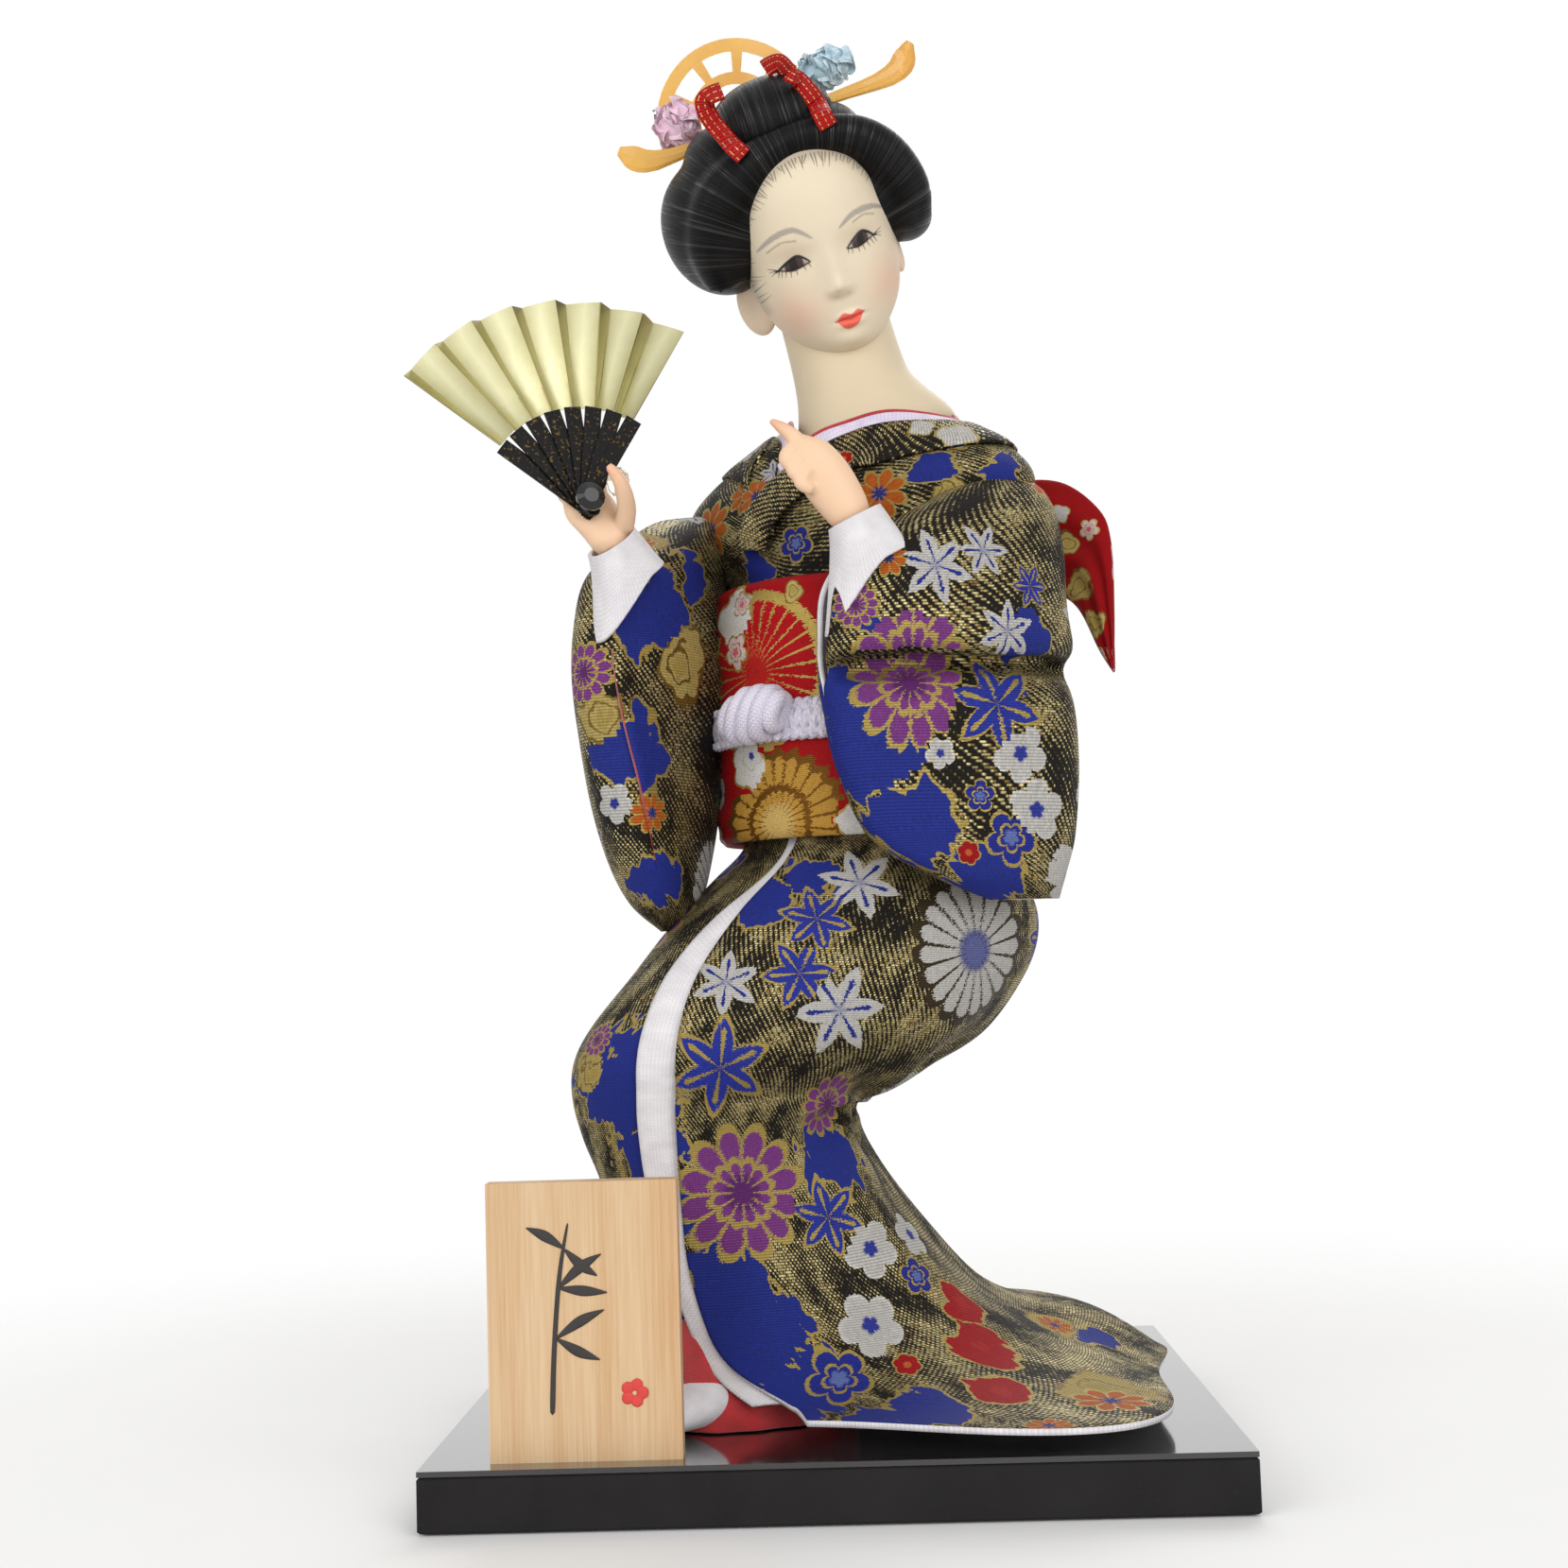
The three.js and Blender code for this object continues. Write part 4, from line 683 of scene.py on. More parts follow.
@dataclass(frozen=True)
class Lacquer:
    """Dark glossy paint with a little dust, wear and flecks."""

    name: str
    colour: Colour
    roughness: float = 0.16
    fleck: Colour | None = None
    coat: float = 0.6
    shine: float = 0.12

    def make(self) -> Material:
        """Material of the paint.

        Returns:
            The material.
        """
        paint = Paint(self.name)
        place = paint.place()
        smear = paint.noise(place, 60.0, 4.0)
        dust = paint.noise(place, 1500.0, 2.0)
        lighter = tuple(c * 1.8 + 0.01 for c in self.colour)
        colour = paint.mix(smear, self.colour, lighter)
        if self.fleck is not None:
            colour = paint.mix(dust.step(0.6, 0.68), colour, self.fleck)
        return paint.finish(
            Base_Color=colour,
            Roughness=self.roughness + smear * 0.14,
            Coat_Weight=self.coat,
            Coat_Roughness=0.08,
            Specular_IOR_Level=self.shine,
            Normal=paint.bump(dust, 0.00003, 0.3),
        )


@dataclass(frozen=True)
class Foil:
    """Pale gold mirror foil with faint creases and painted reflection bands across it."""

    name: str

    def make(self) -> Material:
        """Material of the foil.

        Returns:
            The material.
        """
        paint = Paint(self.name)
        place = paint.place()
        across, along, _ = paint.split(paint.attribute("thread"))
        crease = paint.noise(place, 90.0, 4.0, 0.6)
        grain = paint.noise(place, 900.0, 2.0)
        # Bands lighter and darker across each pleat: painted reflection of a mirror foil, shifted by the
        # creases.
        painted_reflection_sweep = (across * 0.17 + along * 0.012 + crease * 0.5).wave(1.0)
        return paint.finish(
            Base_Color=paint.mix(painted_reflection_sweep, srgb(146, 138, 88), srgb(206, 202, 164)),
            Metallic=0.92,
            Roughness=0.36 + grain * 0.1,
            Normal=paint.bump(crease, 0.0004, 0.35),
        )


@dataclass(frozen=True)
class Resin:
    """Translucent moulded plastic with flow streaks."""

    name: str
    light: Colour
    deep: Colour
    clear: float = 0.45

    def make(self) -> Material:
        """Material of the plastic.

        Returns:
            The material.
        """
        paint = Paint(self.name)
        place = paint.place()
        streak = paint.noise(place, 70.0, 2.0)
        return paint.finish(
            Base_Color=paint.mix(streak.step(0.1, 0.9), self.deep, self.light),
            Roughness=0.24 + streak * 0.12,
            Transmission_Weight=self.clear,
            IOR=1.46,
            Coat_Weight=0.3,
            Normal=paint.bump(streak, 0.0003, 0.3),
        )


@dataclass(frozen=True)
class Pine:
    """Pale planed wood with upright grain."""

    name: str

    def make(self) -> Material:
        """Material of the wood.

        Returns:
            The material.
        """
        paint = Paint(self.name)
        x, y, z = paint.split(paint.place())
        drift = paint.noise(paint.join(x * 30.0, y * 30.0, z * 12.0), 1.0, 2.0)
        line = paint.noise(paint.join(x * 130.0 + drift, y * 130.0, z * 3.0), 1.0, 2.0)
        pore = paint.noise(paint.join(x * 2600.0, y * 2600.0, z * 60.0), 1.0, 2.0)
        share = line * 0.6 + pore * 0.4
        return paint.finish(
            Base_Color=paint.mix(share.step(0.3, 0.8), srgb(214, 186, 148), srgb(192, 146, 98)),
            Roughness=0.55 + pore * 0.15,
            Normal=paint.bump(pore, 0.00008, 0.4),
        )


@dataclass(frozen=True)
class Plain:
    """Quiet finish for small or hidden pieces, with fine mottling."""

    name: str
    colour: Colour
    roughness: float = 0.5
    metal: float = 0.0

    def make(self) -> Material:
        """Material of the piece.

        Returns:
            The material.
        """
        paint = Paint(self.name)
        mottle = paint.noise(paint.place(), 400.0, 3.0)
        lighter = tuple(min(1.0, c * 1.3 + 0.015) for c in self.colour)
        return paint.finish(
            Base_Color=paint.mix(mottle, self.colour, lighter),
            Metallic=self.metal,
            Roughness=self.roughness + mottle * 0.1,
            Normal=paint.bump(mottle, 0.00005, 0.3),
        )


@dataclass
class Station:
    """One level of a body of rings: height, middle, half sizes and turn."""

    z: float
    x: float
    y: float
    half: float
    front: float
    back: float
    turn: float = 0.0

    def row(self) -> list[float]:
        """Values in the order that the rings read them."""
        return [self.z, self.x, self.y, self.half, self.front, self.back, self.turn]


def stations(*rows: Sequence[float]) -> list[Station]:
    """Stations from rows of numbers."""
    return [Station(*row) for row in rows]


@dataclass
class Rings:
    """Closed rings along a line of stations, the same body as in the frame.

    Round the ring, u is 0 at the right end, 0.25 at the back, 0.5 at the left end and 0.75 in front.
    """

    levels: list[Station]
    fullness: float = 1.0
    ripple: Callable[[Array, Array], Array] | None = None
    rise: Callable[[Array, Array], Array] | None = None

    def at(self, u: Array, v: Array) -> Array:
        """Points on the rings, in millimetres.

        Args:
            u: places round the ring, in turns.
            v: places up the rings, from 0 to 1.

        Returns:
            Places in millimetres.
        """
        u, v = np.broadcast_arrays(np.asarray(u, float), np.asarray(v, float))
        rows = spline([level.row() for level in self.levels], v)
        z, x, y, half, front, back, turn = np.moveaxis(rows, -1, 0)
        angle, turned = u * TAU, np.radians(turn)
        grow = 1.0 + (self.ripple(u, v) if self.ripple else 0.0)
        across = half * power(np.cos(angle), self.fullness) * grow
        side = np.where(np.sin(angle) > 0.0, back, front)
        deep = side * power(np.sin(angle), self.fullness) * grow
        lift = self.rise(u, v) if self.rise else 0.0
        return np.stack(
            [
                x + across * np.cos(turned) - deep * np.sin(turned),
                y + across * np.sin(turned) + deep * np.cos(turned),
                z + lift,
            ],
            axis=-1,
        )

    def normal(self, u: Array, v: Array) -> Array:
        """Outward directions on the rings.

        Args:
            u: places round the ring, in turns.
            v: places up the rings, from 0 to 1.

        Returns:
            Directions of length one.
        """
        step = 0.004
        round_way = self.at(u + step, v) - self.at(u - step, v)
        up_way = self.at(u, np.minimum(v + step, 1.0)) - self.at(u, np.maximum(v - step, 0.0))
        return unit(np.cross(round_way, up_way))

    def offset(self, u: Array, v: Array, out: Array | float) -> Array:
        """Points moved outwards from the rings."""
        return self.at(u, v) + self.normal(u, v) * np.asarray(out, float)[..., None]

    def level(self, height: Array | float) -> Array:
        """Share along the stations at a height.

        Args:
            height: heights in millimetres.

        Returns:
            Shares from 0 to 1.
        """
        share = np.linspace(0.0, 1.0, 400)
        heights = spline([[level.z] for level in self.levels], share)[:, 0]
        return np.interp(np.asarray(height, float), heights, share)


def piece_from(mesh: bpy.types.Mesh, name: str, finishes: Sequence[Material]) -> Piece:
    """Object of a mesh at the origin, shaded smooth, with its materials.

    Args:
        mesh: the mesh, in metres.
        name: name of the piece.
        finishes: materials, in the order of their places.

    Returns:
        The piece.
    """
    made = bpy.data.objects.new(name, mesh)
    bpy.context.scene.collection.objects.link(made)
    for finish in finishes:
        mesh.materials.append(finish)
    mesh.shade_smooth()
    return made


def face_away(bm: Shell) -> None:
    """Normals made to agree and to point away from the middle of the mesh.

    Args:
        bm: the mesh to turn.
    """
    bmesh.ops.recalc_face_normals(bm, faces=bm.faces)
    middle = sum((v.co for v in bm.verts), Vector()) / len(bm.verts)
    facing = sum(f.normal.dot(f.calc_center_median() - middle) * f.calc_area() for f in bm.faces)
    if facing < 0.0:
        bmesh.ops.reverse_faces(bm, faces=bm.faces)


@dataclass
class Sheet:
    """Grid laid on a surface, with threads along it in millimetres."""

    name: str
    columns: int
    rows: int
    surface: Surface
    thread: tuple[float, float]
    keep_facing: bool = False

    def bmesh(self) -> Shell:
        """The sheet without thickness, in metres.

        Returns:
            The mesh with its threads.
        """
        bm = bmesh.new()
        bmesh.ops.create_grid(bm, x_segments=self.columns, y_segments=self.rows, size=0.5)
        flat = np.array([v.co[:2] for v in bm.verts]) + 0.5
        places = self.surface(flat[:, 0], flat[:, 1]) * MM
        layer = bm.loops.layers.uv.new("thread")
        sizes = np.array(self.thread)
        for face in bm.faces:
            for loop in face.loops:
                loop[layer].uv = flat[loop.vert.index] * sizes
        for vert, place in zip(bm.verts, places):
            vert.co = place
        bmesh.ops.remove_doubles(bm, verts=bm.verts, dist=2e-6)
        if self.keep_facing:
            bmesh.ops.recalc_face_normals(bm, faces=bm.faces)
        else:
            face_away(bm)
        return bm

    def build(
        self, finishes: Sequence[Material], thick: float = 0.0, flip: bool = False
    ) -> Piece:
        """Object of the sheet.

        Args:
            finishes: materials of the outer side, the inner side and the cut edge.
            thick: thickness in millimetres, added inwards.
            flip: turns the outer side over first.

        Returns:
            The object, its mesh final.
        """
        bm = self.bmesh()
        if flip:
            bmesh.ops.reverse_faces(bm, faces=bm.faces)
        mesh = bpy.data.meshes.new(self.name)
        bm.to_mesh(mesh)
        bm.free()
        made = piece_from(mesh, self.name, finishes)
        if thick > 0.0:
            solid = made.modifiers.new("thickness", "SOLIDIFY")
            solid.thickness = thick * MM
            solid.offset = -1.0
            solid.material_offset = min(1, len(finishes) - 1)
            solid.material_offset_rim = min(2, len(finishes) - 1)
            settle(made)
        return made


def settle(made: Piece) -> Piece:
    """Modifiers turned into the mesh itself.

    Args:
        made: piece with modifiers.

    Returns:
        The piece without them.
    """
    graph = bpy.context.evaluated_depsgraph_get()
    graph.update()
    mesh = bpy.data.meshes.new_from_object(
        made.evaluated_get(graph), preserve_all_data_layers=True, depsgraph=graph
    )
    made.modifiers.clear()
    made.data = mesh
    mesh.shade_smooth()
    return made


@dataclass
class Tube:
    """Sweep of an oval section along a path, its ends rounded off."""

    path: Sequence[Sequence[float]]
    wide: Sequence[float]
    thick: Sequence[float]
    side: Point = (1.0, 0.0, 0.0)
    around: int = 16
    along: int = 24

    def surface(self, s: Array, t: Array) -> Array:
        """Points of the sweep: s round the section and t along the path.

        Args:
            s: places round it, from 0 to 1.
            t: places along it, from 0 to 1.

        Returns:
            Places in millimetres.
        """
        inside = np.clip(t, 0.02, 0.98)
        here = spline(self.path, inside)
        ahead = unit(spline(self.path, np.minimum(inside + 0.01, 1.0)) - spline(self.path, inside - 0.01))
        side = np.asarray(self.side, float)
        across = unit(side - ahead * (ahead @ side)[..., None])
        up = np.cross(ahead, across)
        end = np.sqrt(np.clip(1.0 - (np.abs(t - 0.5) * 2.0) ** 14, 0.0, 1.0))
        wide = spline(self.wide, inside)[..., 0] * end
        thick = spline(self.thick, inside)[..., 0] * end
        cap = np.sign(t - 0.5) * smooth(np.abs(t - 0.5), 0.44, 0.5) * np.minimum(wide, thick)
        angle = s * TAU
        ring = across * (wide * np.cos(angle))[..., None] + up * (thick * np.sin(angle))[..., None]
        return here + ring + ahead * cap[..., None]

    def sheet(self, name: str) -> Sheet:
        """Grid of the sweep, with threads sized by its length.

        Args:
            name: name of the sheet.

        Returns:
            The sheet.
        """
        points = spline(self.path, np.linspace(0.0, 1.0, 40))
        length = float(np.linalg.norm(np.diff(points, axis=0), axis=1).sum())
        girth = 2.0 * math.pi * max(max(self.wide), max(self.thick))
        return Sheet(name, self.around, self.along, self.surface, (girth, length))

    def build(self, name: str, finishes: Sequence[Material]) -> Piece:
        """Object of the sweep."""
        return self.sheet(name).build(finishes)


def merged(name: str, parts: Iterable[Shell], finishes: Sequence[Material]) -> Piece:
    """One object of several meshes.

    Args:
        name: name of the piece.
        parts: meshes to join.
        finishes: materials, in the order of their places.

    Returns:
        The piece.
    """
    whole = bmesh.new()
    for part in parts:
        shell = bpy.data.meshes.new("shell")
        part.to_mesh(shell)
        part.free()
        whole.from_mesh(shell)
        bpy.data.meshes.remove(shell)
    mesh = bpy.data.meshes.new(name)
    whole.to_mesh(mesh)
    whole.free()
    return piece_from(mesh, name, finishes)


def blobbed(made: Piece, voxel: float, smoothing: int) -> Piece:
    """Overlapping shells of an object melted into one skin.

    Args:
        made: the object.
        voxel: size of the skin's cells in millimetres.
        smoothing: rounds of smoothing after it.

    Returns:
        The same object with its new mesh.
    """
    remesh = made.modifiers.new("skin", "REMESH")
    remesh.mode = "VOXEL"
    remesh.voxel_size = voxel * MM
    remesh.use_smooth_shade = True
    softer = made.modifiers.new("softer", "SMOOTH")
    softer.factor = 0.5
    softer.iterations = smoothing
    return settle(made)


def ball(centre: Sequence[float], radii: Sequence[float], detail: int = 4) -> Shell:
    """Egg shape from an icosphere, in metres.

    Args:
        centre: middle in millimetres.
        radii: half sizes in millimetres.
        detail: subdivisions of the icosphere.

    Returns:
        The mesh.
    """
    bm = bmesh.new()
    bmesh.ops.create_icosphere(bm, subdivisions=detail, radius=1.0)
    bmesh.ops.scale(bm, vec=Vector(radii) * MM, verts=bm.verts)
    bmesh.ops.translate(bm, vec=Vector(centre) * MM, verts=bm.verts)
    return bm


def points_of(mesh: bpy.types.Mesh) -> Array:
    """Vertex places in millimetres.

    Args:
        mesh: the mesh.

    Returns:
        One row for each vertex.
    """
    flat = np.zeros(len(mesh.vertices) * 3)
    mesh.vertices.foreach_get("co", flat)
    return flat.reshape(-1, 3) / MM


def store(
    mesh: bpy.types.Mesh, name: str, values: Array, kind: str = "FLOAT_VECTOR", where: str = "POINT"
) -> None:
    """Attribute of a mesh filled from an array.

    Args:
        mesh: the mesh.
        name: name of the attribute.
        values: one row for each element.
        kind: data type.
        where: which elements it is for.
    """
    made = mesh.attributes.get(name) or mesh.attributes.new(name, kind, where)
    key = {"FLOAT": "value", "FLOAT_COLOR": "color"}.get(kind, "vector")
    made.data.foreach_set(key, np.ascontiguousarray(values, np.float32).ravel())


@dataclass
class Placed:
    """One motif on a cloth: where it is in the picture, its radius in millimetres and its turn."""

    kind: Motif
    x: float
    y: float
    radius: float
    turn: float = 0.3
    layer: str = "motif"


PICTURE_SCALE = 5.6
FIRST_TURN = 0.3
NEXT_TURN = 0.7


def motifs(kind: Motif, *spots: Sequence[float], layer: str = "motif") -> list[Placed]:
    """Motifs of one kind from rows of picture place and radius in picture points.

    Args:
        kind: the motif.
        spots: place across and down the picture, and radius.
        layer: attribute that draws it.

    Returns:
        The motifs, each turned further than the last.
    """
    return [
        Placed(kind, x, y, radius / PICTURE_SCALE, NEXT_TURN * k + FIRST_TURN, layer)
        for k, (x, y, radius) in enumerate(spots)
    ]


def drifts(kind: Motif, *spots: Sequence[float]) -> list[Placed]:
    """Motifs of one kind on the layer of clouds, below the flowers and leaves."""
    return motifs(kind, *spots, layer="cloud")


@dataclass
class Decorator:
    """Lays motifs on the outer side of a cloth, those seen from the camera first and a scatter behind."""

    eye: "Eye"
    seen: list[Placed]
    scatter: Sequence[tuple[Motif, float]] = ()
    spacing: float = 19.0
    tries: int = 1600
    turned_away: float = 0.12

    def dress(self, made: Piece) -> None:
        """Fills the two face attributes of a cloth.

        Args:
            made: the cloth, its outer side on material place 0.
        """
        mesh = made.data
        tree = BVHTree.FromObject(made, bpy.context.evaluated_depsgraph_get())
        outer = np.array([p.material_index == 0 for p in mesh.polygons])
        middles = np.array([p.center for p in mesh.polygons]) / MM
        normals = np.array([p.normal for p in mesh.polygons])
        laid: dict[str, list[tuple[Placed, Array, Array]]] = {"cloud": [], "motif": []}
        for spot in self.seen:
            origin, way = self.eye.ray(spot.x, spot.y)
            hit, facing, _, _ = tree.ray_cast(Vector(origin) * MM, Vector(way))
            if hit is not None:
                laid[spot.layer].append((spot, np.array(hit) / MM, np.array(facing)))
        laid["motif"] += self.spread(middles[outer], normals[outer], laid["motif"] + laid["cloud"])
        corner = np.zeros(len(mesh.loops), int)
        mesh.loops.foreach_get("vertex_index", corner)
        loops = points_of(mesh)[corner]
        totals = np.array([p.loop_total for p in mesh.polygons])
        for layer, items in laid.items():
            values = self.place(items, middles, normals, outer, loops, totals)
            store(mesh, layer, values, "FLOAT_VECTOR", "CORNER")

    def spread(self, middles: Array, normals: Array, taken: list) -> list:
        """Motifs scattered over the sides that the picture does not show.

        Args:
            middles: middles of the outer faces.
            normals: directions of those faces.
            taken: motifs laid before.

        Returns:
            The new motifs with their places and directions.
        """
        if not self.scatter or not len(middles):
            return []
        pick = np.random.default_rng(SEED)
        sites = [site for _, site, _ in taken]
        sizes = [spot.radius for spot, _, _ in taken]
        found = []
        for index in pick.permutation(len(middles))[: self.tries]:
            site, facing = middles[index], normals[index]
            to_eye = unit(np.array(self.eye.position) - site)
            if facing @ to_eye > self.turned_away:
                continue
            kind, radius = self.scatter[int(pick.integers(len(self.scatter)))]
            clear = all(
                np.linalg.norm(site - other) > max(self.spacing * 0.5 + size, radius + size)
                for other, size in zip(sites, sizes)
            )
            if clear:
                sites.append(site)
                sizes.append(radius)
                found.append((Placed(kind, 0.0, 0.0, radius, float(pick.uniform(0.0, TAU))), site, facing))
        return found

    def place(
        self,
        items: list[tuple[Placed, Array, Array]],
        middles: Array,
        normals: Array,
        outer: Array,
        loops: Array,
        totals: Array,
    ) -> Array:
        """Place in the nearest motif and its kind for each face corner.

        Args:
            items: motifs with their places and directions.
            middles: middles of the faces.
            normals: directions of the faces.
            outer: which faces are on the outer side.
            loops: places of the face corners.
            totals: number of corners of each face.

        Returns:
            Place across and up in the motif, and its kind, for each corner.
        """
        best = np.full(len(middles), 1.05)
        which = np.full(len(middles), -1)
        for number, (spot, site, facing) in enumerate(items):
            gap = np.linalg.norm(middles - site, axis=1) / (spot.radius + 0.9)
            hit = outer & (normals @ facing > 0.1) & (gap < best)
            best[hit] = gap[hit]
            which[hit] = number
        values = np.zeros((len(loops), 3))
        owner = np.repeat(which, totals)
        for number, (spot, site, facing) in enumerate(items):
            mine = owner == number
            up = np.array([0.0, 0.0, 1.0]) if abs(facing[2]) < 0.9 else np.array([0.0, 1.0, 0.0])
            right = unit(np.cross(up, facing))
            high = np.cross(facing, right)
            local = (loops[mine] - site) / spot.radius
            x, y = local @ right, local @ high
            c, s = math.cos(spot.turn), math.sin(spot.turn)
            values[mine, 0] = x * c - y * s
            values[mine, 1] = x * s + y * c
            values[mine, 2] = float(spot.kind)
        return values


@dataclass
class Eye:
    """Camera fitted to the picture: its place in millimetres, its angles and its focal length in points."""

    position: Point = (5.603, -462.027, 98.721)
    yaw: float = -0.0278018
    pitch: float = 0.0845601
    roll: float = -0.0312770
    focal: float = 2295.52
    picture: float = 1659.0
    sensor: float = 36.0

    def axes(self) -> Array:
        """Right, up and forward directions as rows.

        Returns:
            Three rows of length one.
        """
        cy, sy, cp, sp = math.cos(self.yaw), math.sin(self.yaw), math.cos(self.pitch), math.sin(self.pitch)
        ahead = np.array([sy * cp, cy * cp, sp])
        level = np.array([cy, -sy, 0.0])
        above = np.cross(level, ahead)
        cr, sr = math.cos(self.roll), math.sin(self.roll)
        return np.array([cr * level + sr * above, -sr * level + cr * above, ahead])

    def ray(self, x: float, y: float) -> tuple[Array, Array]:
        """Start and direction of the ray through a picture point.

        Args:
            x: pixels across the picture.
            y: pixels down the picture.

        Returns:
            The camera's place and the direction.
        """
        right, up, ahead = self.axes()
        half = self.picture / 2.0
        way = ahead + right * ((x - half) / self.focal) - up * ((y - half) / self.focal)
        return np.array(self.position), unit(way)

    def build(self) -> None:
        """Camera object, made the scene's own."""
        data = bpy.data.cameras.new("picture_camera")
        data.sensor_width = self.sensor
        data.lens = self.focal / self.picture * self.sensor
        data.clip_start, data.clip_end = 0.01, 20.0
        made = bpy.data.objects.new("picture_camera", data)
        bpy.context.scene.collection.objects.link(made)
        right, up, ahead = (Vector(a) for a in self.axes())
        made.matrix_world = Matrix.Translation(Vector(self.position) * MM) @ Matrix(
            (right, up, -ahead)
        ).transposed().to_4x4()
        bpy.context.scene.camera = made


def made_once(finish: Any) -> Any:
    """Field of a dataclass that holds a finish's material."""
    return field(default_factory=finish.make)


@dataclass
class Finishes:
    """All materials, each made once."""

    robe: Material = made_once(Brocade("robe_brocade", Ground.LAME))
    sash: Material = made_once(Brocade("sash_print", Ground.PRINT, 0.36))
    satin: Material = made_once(Weave("red_satin", srgb(206, 24, 32), srgb(150, 8, 16), 0.3, 0.42, 0.5))
    white: Material = made_once(
        Weave("white_crepe", srgb(238, 235, 236), srgb(206, 202, 208), 0.45, 0.75, 0.3)
    )
    braid: Material = made_once(
        Weave("white_braid", srgb(236, 231, 242), srgb(200, 192, 214), 0.5, 0.7, 0.3, 0.0003)
    )
    ribbon: Material = made_once(Ribbon("red_ribbon", 4.8))
    face: Material = made_once(Skin("painted_face", 0.5))
    hand: Material = made_once(Skin("painted_hand", 0.45))
    hair: Material = made_once(Hair("combed_hair"))
    eye: Material = made_once(Glaze("eye_gloss"))
    lash: Material = made_once(Plain("lash_ink", srgb(22, 18, 18), 0.6))
    wash: Material = made_once(Plain("grey_wash", srgb(128, 116, 104), 0.7))
    under: Material = made_once(
        Weave("lavender_crepe", srgb(232, 224, 238), srgb(196, 182, 212), 0.9, 0.7, 0.3)
    )
    board: Material = made_once(Lacquer("board_matt", srgb(20, 18, 19), 0.5, srgb(34, 32, 32), 0.0))
    gloss: Material = made_once(Lacquer("board_gloss", srgb(20, 18, 19), 0.06, None, 1.0, 0.5))
    stick: Material = made_once(Lacquer("fan_stick", srgb(10, 8, 8), 0.34, srgb(112, 88, 40), 0.03, 0.06))
    rivet: Material = made_once(Lacquer("fan_rivet", srgb(12, 11, 12), 0.08))
    foil: Material = made_once(Foil("gold_foil"))
    amber: Material = made_once(Resin("amber_comb", srgb(246, 198, 98), srgb(228, 166, 64), 0.25))
    glue: Material = made_once(Resin("clear_glue", srgb(246, 240, 226), srgb(232, 222, 200), 0.85))
    pine: Material = made_once(Pine("planed_pine"))
    beech: Material = made_once(Pine("beech_rod"))
    steel: Material = made_once(Plain("steel", srgb(150, 152, 156), 0.3, 1.0))
    foam: Material = made_once(Plain("foam", srgb(224, 220, 206), 0.9))
    pink: Material = made_once(Weave("pink_silk", srgb(255, 234, 244), srgb(244, 200, 224), 0.3, 0.6, 0.6))
    sky: Material = made_once(Weave("blue_silk", srgb(230, 244, 250), srgb(182, 214, 228), 0.3, 0.6, 0.6))
    ink: Material = made_once(Plain("brush_ink", srgb(40, 36, 34), 0.7))
    vermilion: Material = made_once(Plain("red_paint", srgb(196, 52, 44), 0.6))


@dataclass
class Looks:
    """What each sub-assembly needs: the finishes, the camera and the list of made pieces."""

    finishes: Finishes
    eye: Eye
    made: list[str] = field(default_factory=list)

    def add(self, piece: Piece, body: str, slot: str, *nodes: str) -> Piece:
        """Piece tied to its body, with the frame nodes that it stands for hidden.

        Args:
            piece: the finished piece.
            body: body that it rides on.
            slot: not used.
            nodes: frame nodes that it replaces.

        Returns:
            The same piece.
        """
        if nodes:
            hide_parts(*nodes)
        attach(piece, body)
        self.made.append(piece.name)
        LOG.info("%s: %d faces on %s", piece.name, len(piece.data.polygons), body)
        return piece


SCATTER = (
    (Motif.WHITE_MAPLE, 7.5),
    (Motif.BLUE_LEAF, 8.0),
    (Motif.PURPLE_MUM, 11.0),
    (Motif.WHITE_PLUM, 6.0),
    (Motif.ORANGE_FLOWER, 6.5),
    (Motif.BLUE_PLUM, 6.0),
    (Motif.WHITE_MUM, 12.0),
)


